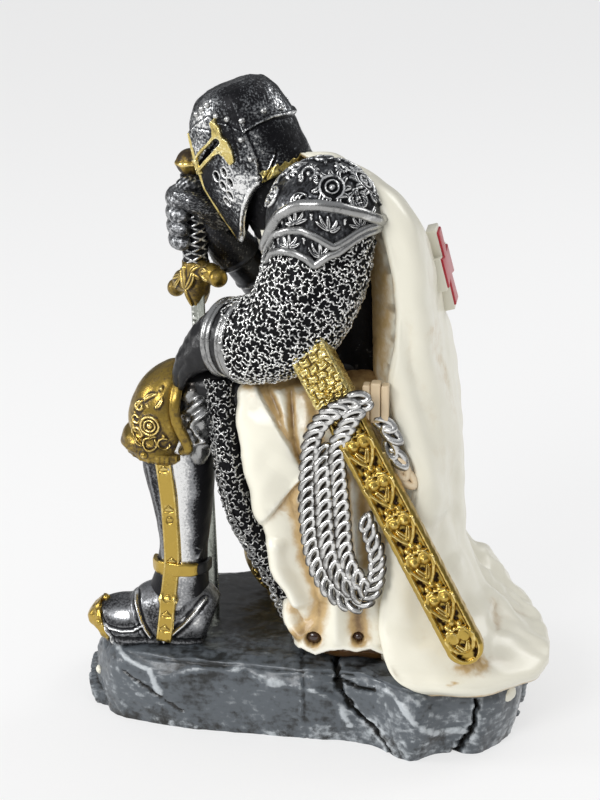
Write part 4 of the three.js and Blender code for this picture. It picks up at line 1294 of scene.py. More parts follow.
    def drilled(self) -> None:
        """The near-black, glossy drops at the bottom of the two drilled holes."""
        for n, (x, z, r) in enumerate(self.holes):
            bpy.ops.object.select_all(action="DESELECT")
            bpy.ops.mesh.primitive_uv_sphere_add(segments=28, ring_count=14, radius=1,
                                                 location=(x, -26.2, z), scale=(r * 0.98, 1.5, r * 0.9))
            bpy.ops.object.transform_apply(location=True, rotation=True, scale=True)
            self.bench.shaped("hem_hole_%d" % (n + 1), "hole_black")

    def breast(self) -> None:
        """The breast panel, a slightly bowed sheet from the neck down to the belt."""
        z = np.linspace(90, 127, 70)
        share = np.linspace(-1, 1, 60)
        half = np.interp(z, [90, 100, 116, 127], [12.5, 11.5, 12.5, 9])[:, None]
        y = half * share[None]
        front = np.interp(z, [90, 98, 114, 127], [-0.6, -0.9, -3.4, -5.0])[:, None]
        x = front - 1.6 + 1.2 * np.abs(share[None]) ** 2.4 + 0.4 * np.sin(share[None] * 7 + z[:, None] * 0.05)
        sheet = slumped(np.stack([x, np.broadcast_to(y, x.shape), np.broadcast_to(z[:, None], x.shape)], -1))
        back = sheet + np.array([2.4, 0, 0])
        ring = np.concatenate([sheet, back[:, ::-1]], 1)
        stain_and_shade = np.zeros(ring.shape[:2])
        stain_and_shade[:, :60] = 0.5 * hump(np.abs(share) - 0.75, 0.12)[None] + 0.5 * smooth(98, 90, z)[:, None]
        self.bench.carved("surcoat_breast", ring, np.zeros(stain_and_shade.shape), "cloth", stain_and_shade)


@dataclass
class Cape(Part):
    """The cape: its outer cloth, its thick lip with the lining inside it, and the foot that lifts it."""

    shape: tuple = (
        [16.5, 33, 59.6, 34, 31], [19.5, 31, 62.0, 37.4, 35], [25, 26, 53.5, 35, 33],
        [33, 22, 45.4, 32.5, 31],
        [45, 20, 41.4, 31, 29], [60, 20, 40.6, 30.4, 28], [75, 20, 40, 30, 27], [90, 20, 38.2, 29, 26],
        [105, 20, 35.8, 28.4, 25], [118, 20, 35.6, 28, 24.5], [128, 17, 33.8, 27, 23.5],
        [136, 13, 28.6, 24.5, 21],
        [142, 8, 22, 19, 16], [146, 3, 14, 10, 9],
    )
    edge: tuple = (
        [16.5, 37.5], [19.0, 31.5], [22.0, 28.0], [25.4, 26.3], [31.8, 24.7], [37.5, 24.9], [43.5, 26.2],
        [49, 25.7],
        [53, 26.1], [57, 29.1], [64.5, 31.9], [70.8, 32.4], [73.2, 31.7], [79.2, 28.8], [85, 26.8],
        [90.8, 25.8],
        [93.6, 25.7], [101, 27.1], [109, 27.2], [117.4, 26.1], [122.6, 24.8], [127, 23.6], [131, 22.6],
        [136, 19.5],
        [142, 12.0], [146, 5.0],
    )
    lip: float = 1.5
    outer_columns: int = 280
    lip_columns: int = 13
    lining_columns: int = 23
    dirt_and_shade: tuple = (
        (45.4, 24.2, 3.4, 1.7, 0.9), (48.6, 23.6, 1.8, 1.8, 0.7), (42.4, 21.0, 0.5, 0.4, 1.3),
        (40.8, 20.6, 0.8, 0.3, 0.7),
    )
    folds: tuple = (
        Fold([(27.8, 110.0), (30.9, 95.4), (35.8, 79.9), (40.8, 62.9), (42.9, 50.5), (44.8, 40.0)], -1.5, 2.6,
             stain_and_shade=0.07, stain_width=2.6),
        Fold([(30.5, 112.0), (34.6, 93.0), (39.0, 76.0), (43.0, 60.0), (45.2, 48.0)], 0.9, 2.2),
        Fold([(33.6, 104.0), (37.6, 90.5), (41.3, 75.5), (44.2, 62.6), (46.6, 47.9), (48.8, 37.6),
              (50.2, 29.0)],
             -1.3, 1.5, stain_and_shade=0.14, stain_width=1.6),
        Fold([(32.0, 72.0), (30.5, 58.0), (28.0, 44.0), (28.5, 32.0)], 0.9, 3.2),
        Fold([(38.0, 60.0), (35.5, 48.0), (33.5, 36.0), (35.0, 27.0)], -1.2, 3.6, stain_and_shade=0.06,
             stain_width=3.4),
        Fold([(41.0, 47.0), (38.5, 36.0), (42.0, 26.5), (50.0, 24.0)], 1.0, 3.4),
        Fold([(50.0, 31.0), (52.0, 28.0), (57.0, 27.4), (62.0, 25.6)], -1.3, 1.8, stain_and_shade=0.08,
             stain_width=2.0),
    )

    def plain(self) -> Array:
        """The cape's closed rings: outer cloth from the left lip round the back, then back inside it.

        Returns:
            The plain cape.
        """
        z = np.concatenate([np.linspace(16.5, 22, 24), np.linspace(22.5, 132, 190),
                            np.linspace(132.6, 146, 26)])
        table = row_at(self.shape, z, 1.6)
        edge = row_at(self.edge, z, 1.0)[:, 0]
        across = np.linspace(0, 1, self.outer_columns)
        angle = (np.pi * across)[None]
        front, back, left, right = (table[:, None, k] for k in range(4))
        start = np.where(across[None] < 0.5, edge[:, None], front)
        x = start + (back - start) * np.sin(angle) ** 0.7
        y = -np.where(across[None] < 0.5, left, right) * power(np.cos(angle), 0.8)
        low = 1 - smooth(20, 110, z)[:, None]
        wave = low * (1.5 * np.sin(5 * angle + 0.8)
                      + 0.3 * np.sin(9 * angle + 0.02 * z[:, None])) * np.sin(angle)
        # The hem's corner is drawn out to the front right
        corner = hump(angle - 1.08, 0.4) * smooth(31, 21, z)[:, None]
        x, y = x + 3.4 * corner, y - 1.2 * corner
        x, y = x + wave * np.sin(angle), y - wave * np.cos(angle)
        zz = np.broadcast_to(z[:, None], x.shape)
        outer = np.stack([x, y, zz], -1)
        # The lip turns in by a half round and the lining runs on to the body
        turn = np.linspace(0, np.pi, self.lip_columns + 1)[1:]
        reach = outer[:, :1]
        lip = reach + np.stack([
            np.broadcast_to(-self.lip * np.sin(turn), (len(z), len(turn))),
            np.broadcast_to(self.lip * (1 - np.cos(turn)), (len(z), len(turn))),
            np.zeros((len(z), len(turn)))], -1)
        share = np.linspace(0, 1, self.lining_columns + 1)[1:]
        sag = np.sin(np.pi * share)[None]
        inner_x = np.minimum(edge - 5.5 + 5.0 * smooth(132, 140, z), 19.5)[:, None]
        last = lip[:, -1:]
        lining = np.stack([
            last[..., 0] + (inner_x - last[..., 0]) * share[None] - 1.2 * sag,
            last[..., 1] + (-np.minimum(15.0, 0.6 * left) - last[..., 1]) * share[None] + 1.5 * sag,
            np.broadcast_to(z[:, None], (len(z), len(share)))], -1)
        return slumped(np.concatenate([outer[:, ::-1], lip, lining], 1))

    def build(self) -> None:
        """Folds and paints the cape."""
        base = self.plain()
        x, y, z = base[..., 0], base[..., 1], base[..., 2]
        lip_at = self.outer_columns
        lining_at = lip_at + self.lip_columns
        is_outer = np.zeros(x.shape)
        is_outer[:, :lip_at] = 1
        near = smooth(0, -8, y + 6 * smooth(36, 50, z)) * is_outer
        rise, stain_and_shade = np.zeros(x.shape), np.zeros(x.shape)
        for fold in self.folds:
            up, dirt_and_shade = fold.apply(x, z)
            rise += up * near
            stain_and_shade = np.maximum(stain_and_shade, dirt_and_shade * near)
        rise += is_outer * (0.45 * noise(base * [1, 1, 0.35], 12.0, 21) + 0.15 * noise(base, 6, 22))
        back = smooth(-14, 0, y) * is_outer * smooth(120, 60, z) * smooth(20, 34, z)
        for k, (place, wide) in enumerate(((-9, 3.2), (3, 3.6), (13, 3.0), (21, 2.6))):
            sway = place + 1.6 * np.sin(0.045 * z + k)
            rise += back * (-1.3 + 0.25 * k) * hump(y - sway, wide)
        # The hidden foot lifts the cloth at the back
        rise += is_outer * 3.9 * mound(y - 20, 8.5, z - 28, 6.5) * smooth(30, 40, x)
        lumps = smooth(-4, 4, y) * smooth(48, 40, z) * smooth(20, 26, z) * smooth(36, 42, x) * is_outer
        rise += lumps * (0.8 * noise(base, 8.0, 23) + 0.25 * noise(base, 4.5, 24))
        rise += is_outer * 0.9 * mound(y - 10.5 - 0.2 * (z - 20), 2.2, z - 24, 9.0) * smooth(30, 40, x)
        # A rolled hem stands out along the bottom
        hem = hump(z - 18.6, 1.8) * is_outer
        rise += 0.5 * hem - 0.6 * hump(z - 23.0, 2.0) * is_outer
        # The lining is painted darker further inside and, above the waist, from the lip on, as shade between
        # the cape and the body; the seam along the lip is stained, and the cloth darkens along its very
        # bottom
        inner = np.zeros(x.shape)
        inner[:, lining_at:] = np.linspace(0.0, 1, self.lining_columns)[None]
        stain_and_shade = np.maximum(stain_and_shade, 0.42 * smooth(0, 0.35, inner) * smooth(84, 96, z))
        stain_and_shade = np.maximum(stain_and_shade, 0.55 * smooth(0.35, 0.75, inner))
        seam = np.zeros(x.shape)
        seam[:, lip_at:lining_at + 1] = np.sin(np.linspace(0, np.pi, self.lip_columns + 1))[None]
        stain_and_shade = np.maximum(stain_and_shade, 0.22 * seam * smooth(40, 70, z))
        stain_and_shade = np.maximum(stain_and_shade, 0.3 * smooth(17.6, 16.6, z))
        # A dark patch lies under the scabbard's foot, partly dirt and partly the foot's shadow painted on the
        # cloth, and the paint is chipped below it
        for px, pz, wide, high, deep in self.dirt_and_shade:
            spot = mound(x - px, wide, z - pz, high) * smooth(-24, -30, y)
            stain_and_shade = np.maximum(stain_and_shade, deep * spot * (0.8 + 0.3 * noise(base, 1.6, 25)))
        self.bench.carved("cape", base, rise, "cloth", stain_and_shade, passes=7, depth=0.6)


def around(count: int) -> Array:
    """Angles once round, in radians."""
    return 2 * np.pi * np.arange(count) / count


@dataclass
class Helm(Part):
    """The great helm: riveted plates, the brow band, the gilt cross with its slit, and the mail under it."""

    centre: Point = (-12.9, 0.0, 144.4)
    lean: float = 21.0
    rim_drop: float = 11.0
    chin_drop: float = 24.3
    prow: float = 1.5
    girth: float = 11.6
    mirror: float = -44.0
    columns: int = 420
    shape: tuple = (
        [-24.3, 9.2, 13.2, 11], [-8.6, 12.6, 13.0, 11.2], [0, 12.0, 12.3, 11], [4, 11.4, 11.2, 10.6],
        [8, 10.4, 10.0, 10], [10.4, 9.2, 9.2, 9.2], [11.7, 7.8, 8.2, 8.2], [12.2, 6.0, 6.8, 6.6],
        [12.4, 3.6, 4.6, 4.4],
    )
    ridge: tuple = (
        [-24, -3], [-19, -7], [-15, -15], [-8, -22], [4, -22], [13, -22],
    )
    arm: tuple = (
        (-17, -1.6), (-26, -1.5), (-42, 0.5), (-57, 2.0), (-64, 2.9), (-66.5, 4.4), (-65.5, 6.0), (-69, 6.4),
        (-73.5, 4.2), (-73.5, 2.0), (-78, 0.9), (-79.5, -1.6), (-77.5, -4.0), (-73.5, -4.3), (-70.5, -2.4),
        (-66, -0.9), (-56, -1.2), (-40, -2.9), (-26, -4.3), (-17, -4.8),
    )
    slit: tuple = ((-66, 1.5), (-56, 0.5), (-45, -0.6), (-22, -3.2))
    rivets: tuple = (
        (-39, 8.7), (-61, 10.1), (-73, 7.1), (-102, 4.2), (-94, 0.1), (-96, -4.9), (-95, -9.6), (-130, 4.4),
        (-155, 3.2), (-50, 9.6), (-86, 5.6), (20, 6), (45, 5), (70, 4.6), (95, 4.4), (120, 4.2), (150, 3.4),
        (75, -1), (74, -6), (73, -10.5),
    )
    breaths: tuple = (
        (-49, -6.3), (-61, -5.9), (-53, -8.9), (-64, -8.6), (-56, -11.6), (-46, -12.9),
    )

    def place(self, angle: Array, level: Array, out: Array | float = 0.0) -> Array:
        """Points of the helm.

        Args:
            angle: the angle from the front in degrees, below 0 on the left side.
            level: the height in the helm's own frame.
            out: how far the points stand out from the shell.

        Returns:
            The points, in millimetres.
        """
        a = np.radians(angle)
        table = row_at(self.shape, level, 0.8)
        keel = row_at(self.ridge, level)[..., 0]
        off = np.abs(np.sin(np.radians(angle - keel)))
        ridge = self.prow * np.maximum(0, 1 - 2 * off) * (np.cos(a) > 0) * smooth(12, 6, level)
        forward = np.where(np.cos(a) > 0, table[..., 0], table[..., 1]) * np.cos(a) + out * np.cos(a) + ridge
        side = (table[..., 2] + out) * np.sin(a)
        lean = math.radians(self.lean)
        return np.stack([self.centre[0] - forward * math.cos(lean) - level * math.sin(lean),
                         self.centre[1] + side,
                         self.centre[2] - forward * math.sin(lean) + level * math.cos(lean)], -1)

    def rim(self, angle: Array) -> Array:
        """The level of the helm's lower rim."""
        front = np.maximum(0, np.cos(np.radians(angle + 6))) ** 1.5
        return -self.rim_drop - (self.chin_drop - self.rim_drop - 0.4) * front

    def spread(self, angle: Array, level: Array, line: Line) -> tuple[Array, Array]:
        """The distance in millimetres to a line given by angle and level."""
        k = math.radians(self.girth)
        return to_line(angle * k, level, [(a * k, b) for a, b in line])

    def relief(self, angle: Array, level: Array) -> tuple[Array, Array]:
        """The plates, laps, seams and breath holes.

        Args:
            angle: the angles asked for, in degrees.
            level: the heights.

        Returns:
            The rise over the shell, and the dark stain.
        """
        base = self.place(angle, level)
        rise = 0.07 * noise(base, 4.2, 41) + 0.04 * noise(base, 1.7, 42)
        left = np.where(angle < 0, angle, -angle)
        # The skull plate laps over the side and face plates along the brow
        brow = np.interp(left, [-180, -155, -136, -117, -100, -83, -73, -61, -39, -24, 0],
                         [0.2, 1.0, 1.9, 1.9, 1.4, 4.6, 5.6, 7.6, 6.6, 5.2, 5.0])
        lap = level - brow
        rise += 0.7 * smooth(-0.25, 0.15, lap) * smooth(-96, -101, left) * smooth(11.8, 7.5, level)
        rise += 0.45 * hump(lap - 0.35, 0.42) * smooth(-96, -101, left)
        rise += 0.45 * smooth(-0.3, 0.2, -lap) * smooth(-103, -99, left)
        d, _ = self.spread(left, level, [(-99.5, 1.4), (-101, -2.1), (-102, -5.4), (-97, -9.0), (-97, -14)])
        rise += 0.28 * np.tanh(d / 0.25) * np.exp(-np.abs(d) / 3.0)
        d, _ = self.spread(angle, level, [(-102, -9.9), (-110, -8.3), (-120, -6.2)])
        rise += 0.4 * hump(d, 0.3) - 0.45 * hump(d - 0.55, 0.3)
        for line in ([(-88, 3.5), (-84, -3)], [(-80, 8.0), (-90, 2.0)], [(-36, 6.0), (-60, 4.4)]):
            d, _ = self.spread(angle, level, line)
            rise -= 0.22 * hump(d, 0.3)
        stain_and_shade = np.zeros(rise.shape)
        for a, b in [*self.breaths, *((self.mirror - a, b) for a, b in self.breaths)]:
            gap = np.hypot((angle - a) * 0.235, (level - b) * 0.66)
            pit = smooth(0.75, 0.45, gap)
            rise = rise * (1 - pit) - 1.2 * pit + 0.12 * hump(gap - 0.9, 0.16)
            stain_and_shade = np.maximum(stain_and_shade, 1.2 * pit)
        return rise, stain_and_shade

    def painted_reflections(self, angle: Array, level: Array) -> Array:
        """Where reflections are painted bright on the blacked steel: the cheeks, the brow, the back of the
        crown and the side.

        Args:
            angle: the angles from the front, in degrees.
            level: the heights.

        Returns:
            How far it is painted bright.
        """
        left = np.where(angle < self.mirror / 2, angle, self.mirror - angle)
        cheek = smooth(-50, -66, left) * smooth(-100, -92, left) * smooth(-4.0, -11.0, level)
        brow = mound(left + 48, 16, level - 7.0, 3.0)
        crown = hump(left + 128, 14) * smooth(2.0, 6.0, level)
        side = hump(left + 108, 9) * smooth(2.0, -2.0, level)
        return 0.3 * cheek + 0.26 * brow + 0.14 * crown + 0.16 * side - 0.06

    def build(self) -> None:
        """Hammers, cuts, rivets and gilds the helm."""
        angle = np.degrees(around(self.columns))[None] - 180
        share = np.linspace(0, 1, 190)[:, None]
        rim = self.rim(angle)
        level = rim * (1 - share**0.8) + self.shape[-1][0] * share**0.8
        angle = np.broadcast_to(angle, level.shape)
        base = self.place(angle, level)
        rise, stain_and_shade = self.relief(angle, level)
        rise += 0.3 * hump(level - rim - 0.6, 0.6)
        left = np.where(angle < 0, angle, -angle)
        gilt = smooth(-92, -104, left) * smooth(-165, -150, left) * smooth(4.2, 0.6, level - rim)
        # The inside, from a plug painted near-black as the shade inside the helm down to the rim, and the lid
        # of the crown close the shell
        ring = angle[:1]
        inside_rows = [self.place(ring, rim + up, np.full(ring.shape, out))[0]
                       for up, out in ((6.0, -5.0), (5.0, -1.6), (2.0, -1.3), (0.0, -0.9))]
        top = base[-1]
        lid = [top * (1 - s) + top.mean(0) * s for s in (0.12, 0.3, 0.6, 0.85)]
        whole = np.concatenate([inside_rows, base, lid])
        blank = np.zeros((4, self.columns))
        rise = np.concatenate([blank, rise, blank])
        stain_and_shade = np.concatenate([blank + 1, stain_and_shade, blank])
        # Reflections painted bright on the cheeks, the brow and the crown
        painted_sheen = np.concatenate([blank, self.painted_reflections(angle, level), blank])
        self.bench.carved("helm", whole, rise, "helm", stain_and_shade, passes=4, depth=0.22, painted_sheen=painted_sheen)
        self.gild(gilt, base, rise[4:-4])
        self.cross()
        self.rivet()
        hood = limb([[5, 1, 116, 10, 12], [-2, 0.5, 126, 10.6, 11], [-9, 0, 137, 9, 9.6]], 90, 120)
        self.bench.carved("mail_hood", hood, 0.35 * mesh_weave(hood, 1.9), "mail_base", depth=0.3, passes=3)

    def gild(self, gilt: Array, base: Array, rise: Array) -> None:
        """The worn gilding along the lower edge at the back of the left side.

        Args:
            gilt: where it lies.
            base: the plain shell.
            rise: the shell's relief.
        """
        cols = np.where(gilt.max(0) > 0.01)[0]
        cols = cols[cols < 210]
        rows = np.where(gilt.max(1) > 0.01)[0]
        cut = slice(0, rows.max() + 2), slice(cols.min(), cols.max() + 1)
        lift = rise[cut] + 0.07 - 0.5 * smooth(0.6, 0.2, gilt[cut] + 0.25 * noise(base[cut], 1.6, 43))
        out = normals(base)[cut]
        ring = np.concatenate([base[cut] + out * lift[..., None], (base[cut] - out * 0.6)[:, ::-1]], 1)
        self.bench.skin("helm_gilding", ring, "gilding")

    def cross(self) -> None:
        """The gilt cross: an upright along the front edge and an arm with a slit on each side."""
        k = math.radians(self.girth)
        for mirror, hand in ((False, "left"), (True, "right")):
            angle, level = np.meshgrid(np.linspace(-84, -14, 160), np.linspace(-6.0, 7.6, 130))
            d = inside(angle * k, level, [(a * k, b) for a, b in self.arm])
            cut, _ = self.spread(angle, level, self.slit)
            slit = smooth(0.95, 0.7, np.abs(cut))
            body = smooth(-0.75, -0.2, d) * (1 - slit)
            turned = self.mirror - angle if mirror else angle
            under = self.relief(turned, level)[0]
            rise = (under + 0.7 + 0.12 * hump(d + 0.1, 0.25)) * body - 0.9 * (1 - body)
            top = self.place(turned, level, rise)
            back = self.place(turned, level, np.full(rise.shape, -1.5))
            ring = np.concatenate([top, back[:, ::-1]], 1)
            marks = marked(ring)
            marks["cavity"][:, :160] = cavity(self.place(turned, level), top, False, 3, 0.3)
            self.bench.skin("helm_cross_" + hand, ring, "bright_gold", marks)
            # A near-black tube lies in the slit as the painted shade inside the helm
            line = np.array([(self.mirror - a if mirror else a, b) for a, b in self.slit])
            path = catmull(line, np.linspace(0, 1, 40))
            mid = self.place(path[:, 0], path[:, 1], np.full(40, 0.1))
            stations = np.concatenate([mid, np.full((40, 1), 0.45), np.full((40, 1), 0.95)], 1)
            self.bench.skin("helm_slit_" + hand, limb(stations, 40, 10, (0, 0, 1)), "slit_shade")
        level = np.linspace(5.0, -24.0, 150)
        keel = row_at(self.ridge, level)[:, 0]
        half = np.interp(level, [-24, -6, 3.6, 5.0], [2.6, 3.2, 4.2, 2.4])
        share = np.linspace(-1, 1, 26)
        angle = keel[:, None] + half[:, None] * share[None]
        height = np.broadcast_to(level[:, None], angle.shape)
        out = 0.75 * np.sqrt(np.clip(1 - share**2, 0, 1))[None] + np.zeros(angle.shape)
        top, back = self.place(angle, height, out), self.place(angle, height, np.full(angle.shape, -0.8))
        self.bench.skin("helm_cross_upright", np.concatenate([top, back[:, ::-1]], 1), "bright_gold")

    def rivet(self) -> None:
        """The domed rivets, one modelled and the rest copied."""
        data = np.array(self.rivets, float)
        places = self.place(data[:, 0], data[:, 1], self.relief(data[:, 0], data[:, 1])[0] + 0.1)
        out = unit(self.place(data[:, 0], data[:, 1], np.full(len(data), 2.0)) - places)
        side = unit(np.cross(out, [0, 0, 1.0]))
        frames = np.stack([side, np.cross(out, side), out], 1)
        bpy.ops.object.select_all(action="DESELECT")
        bpy.ops.mesh.primitive_uv_sphere_add(segments=14, ring_count=8, radius=0.8, scale=(1, 1, 0.8))
        bpy.ops.object.transform_apply(location=False, rotation=False, scale=True)
        self.bench.copies("helm_rivets", bpy.context.object, places, frames, "rivet")


def lengths(points: Array) -> tuple[Array, Array]:
    """How far each point of a skin lies around its ring and along it, in millimetres.

    Args:
        points: the skin.

    Returns:
        The way round and the way along.
    """
    step = np.linalg.norm(np.roll(points, -1, 1) - points, axis=-1)
    u = np.concatenate([np.zeros((len(points), 1)), np.cumsum(step, 1)[:, :-1]], 1)
    rise = np.linalg.norm(np.diff(points, axis=0), axis=-1).mean(1)
    v = np.concatenate([[0], np.cumsum(rise)])[:, None] * np.ones(points.shape[1])[None]
    return u, v


def mesh_weave(points: Array, pitch: float) -> Array:
    """A low weave of rings, 0 to 1, for mail that lies in shadow.

    Args:
        points: the skin.
        pitch: the rings' spacing.

    Returns:
        The weave's height at each point.
    """
    u, v = lengths(points)
    total = u.max(1, keepdims=True) + 1e-6
    count = np.maximum(3, np.round(total.mean() / pitch))
    a, b = u / total * count, v / (0.8 * pitch)
    row = np.floor(b)
    x, y = (a + 0.5 * (row % 2)) % 1 - 0.5, b % 1 - 0.5
    radius = np.hypot(x * 1.1, y + 0.12 * np.sign(x))
    return hump(radius - 0.36, 0.13)


@dataclass
class Mail(Part):
    """Ring mail: small open links lying close together on a dark ground."""

    gap: float = 0.84
    radius: float = 0.58
    wire: float = 0.23
    arc: float = 175.0
    jitter: float = 0.9
    seed: int = 5

    def link(self) -> bpy.types.Object:
        """One open link in its own plane, tapered at its two ends.

        Returns:
            The link's object.
        """
        turn = np.radians(np.linspace(90 - self.arc / 2, 90 + self.arc / 2, 5))
        mid = np.stack([self.radius * np.cos(turn), self.radius * np.sin(turn), np.zeros(5)], -1)
        thick = self.wire * np.array([0.6, 1.05, 1.2, 1.05, 0.6])
        stations = np.concatenate([mid, thick[:, None], thick[:, None]], 1)
        rings = limb(stations, 5, 4, (0, 0, 1))
        rings = np.concatenate([rings, rings[:, :1]], 1)
        tips = [np.broadcast_to(rings[r].mean(0), rings[r].shape)[None] for r in (0, -1)]
        points = np.concatenate([tips[0], rings, tips[1]])
        bpy.ops.object.select_all(action="DESELECT")
        bpy.ops.mesh.primitive_grid_add(x_subdivisions=4, y_subdivisions=6, size=1)
        obj = bpy.context.object
        set_coordinates(obj.data, points)
        bpy.ops.object.mode_set(mode="EDIT")
        bpy.ops.mesh.select_all(action="SELECT")
        bpy.ops.mesh.remove_doubles(threshold=1e-4)
        bpy.ops.object.mode_set(mode="OBJECT")
        set_mark(obj.data, "cavity", np.clip(-coordinates(obj.data)[:, 2] / self.wire, -1, 1))
        return obj

    def cover(self, name: str, points: Array, keep: Array | None = None, finish: str = "mail") -> None:
        """Lays links over a closed skin, no two nearer than the gap.

        Args:
            name: the piece's name.
            points: the skin under the links.
            keep: where links may lie, as a mask over the skin; everywhere if left out.
            finish: the links' finish.
        """
        rng = np.random.default_rng(self.seed)
        n = normals(points).reshape(-1, 3)
        ahead = np.gradient(points, axis=0)
        sideways = np.roll(points, -1, 1) - points
        area = np.linalg.norm(np.cross(ahead, sideways), axis=-1) * (1.0 if keep is None else keep > 0.5)
        tries = rng.choice(area.size, int(9 * area.sum() / self.gap**2), p=(area / area.sum()).ravel())
        flat, ahead = points.reshape(-1, 3), ahead.reshape(-1, 3)
        taken = np.zeros((len(tries), 3))
        picks: list[int] = []
        for pick in tries:
            away = taken[:len(picks)] - flat[pick]
            if not len(picks) or (away**2).sum(-1).min() > self.gap**2:
                taken[len(picks)] = flat[pick]
                picks.append(pick)
        out = n[picks]
        along = unit(ahead[picks] - out * (ahead[picks] * out).sum(-1, keepdims=True))
        side = np.cross(along, out)
        spin = np.pi * rng.integers(0, 2, len(picks)) + self.jitter * rng.normal(size=len(picks))
        tip = side * np.cos(spin)[:, None] + along * np.sin(spin)[:, None]
        tilt = out + 0.22 * rng.normal(size=(len(picks), 3))
        up = unit(tilt - tip * (tilt * tip).sum(-1, keepdims=True))
        frames = np.stack([tip, np.cross(up, tip), up], 1) * rng.uniform(0.85, 1.15, (len(picks), 1, 1))
        self.bench.copies(name, self.link(), flat[picks] + 0.14 * out, frames, finish)
        LOG.info("%s: %d links", name, len(picks))


def lobes(line: Line, length: float, width: float, side: float) -> list[tuple]:
    """Leaf lobes that spring from one side of a stem, as leaves of an ornament.

    Args:
        line: the stem.
        length: how far a lobe reaches.
        width: its half width.
        side: 1 for the stem's left side and -1 for its right side; its size is the share of bow.

    Returns:
        The leaves.
    """
    points = catmull(np.array(line, float), np.linspace(0.04, 0.96, max(3, round(len(line) * 0.75))))
    leaves = []
    for (x, z), (dx, dz) in zip(points, unit(np.gradient(points, axis=0))):
        lean = math.radians(58 * math.copysign(1, side))
        ex, ez = dx * math.cos(lean) - dz * math.sin(lean), dx * math.sin(lean) + dz * math.cos(lean)
        leaves.append((x, z, x + length * ex, z + length * ez, width, -0.5 * side))
    return leaves


def acanthus() -> Ornament:
    """The scrolling leaf work of the shoulders, some 19 mm wide and 14 mm high, with its eye at (2, 2.7).

    Returns:
        The ornament.
    """
    scroll = ring_line(2.0, 2.7, 3.1, -70, 330, 0.02)
    left = ring_line(-5.6, -1.6, 2.4, 60, 300, -0.06)
    right = ring_line(8.2, -0.6, 2.2, 110, -300, -0.06)
    crown = ring_line(-4.6, 6.4, 2.0, -60, 290, -0.04)
    top = ring_line(6.6, 8.2, 1.8, -110, -290, -0.04)
    stem = [(-1.2, -4.4), (0.6, -2.6), (2.6, -1.2)]
    leaves = (lobes(scroll, 2.3, 0.85, -1) + lobes(left, 1.9, 0.75, 1) + lobes(right, 1.8, 0.75, -1)
              + lobes(crown, 1.7, 0.7, -1) + lobes(top, 1.6, 0.7, 1)
              + [(1.0, -2.6, 0.2, 0.6, 0.9, 0.2), (2.4, -2.8, 3.6, 0.2, 0.85, -0.3),
                 (-1.2, -3.4, -3.0, -4.6, 0.7, 0.3),
                 (4.0, -3.4, 6.4, -4.4, 0.7, -0.3), (0.6, 10.4, 1.2, 13.0, 0.8, 0.2)])
    bosses = [(2.0, 2.7, 0.95, 1.1), (-5.6, -1.6, 0.8, 1.0), (8.2, -0.6, 0.75, 1.0), (-4.6, 6.4, 0.7, 1.0),
              (6.6, 8.2, 0.65, 0.9)]
    strokes = [(scroll, 0.42), (left, 0.36), (right, 0.34), (crown, 0.32), (top, 0.3), (stem, 0.5),
               (ring_line(2.0, 2.7, 1.7), 0.26)]
    return Ornament(leaves, bosses, strokes)


def sprig() -> Ornament:
    """The small sprig that repeats on the lames below the shoulders."""
    return Ornament(
        [(0.2, -1.5, 0.0, 1.5, 0.5, 0.0), (0.2, -1.4, -1.8, 0.9, 0.5, 0.3), (0.2, -1.4, 2.0, 0.9, 0.5, -0.3),
         (0.2, -1.4, -2.7, -0.5, 0.5, 0.2), (0.2, -1.4, 2.8, -0.5, 0.5, -0.2),
         (-4.4, -1.2, -3.3, 0.9, 0.45, 0.3),
         (4.4, -1.2, 3.5, 0.9, 0.45, -0.3)],
        [(-3.9, -0.1, 0.5, 0.8), (4.0, 0.0, 0.5, 0.8)], [])


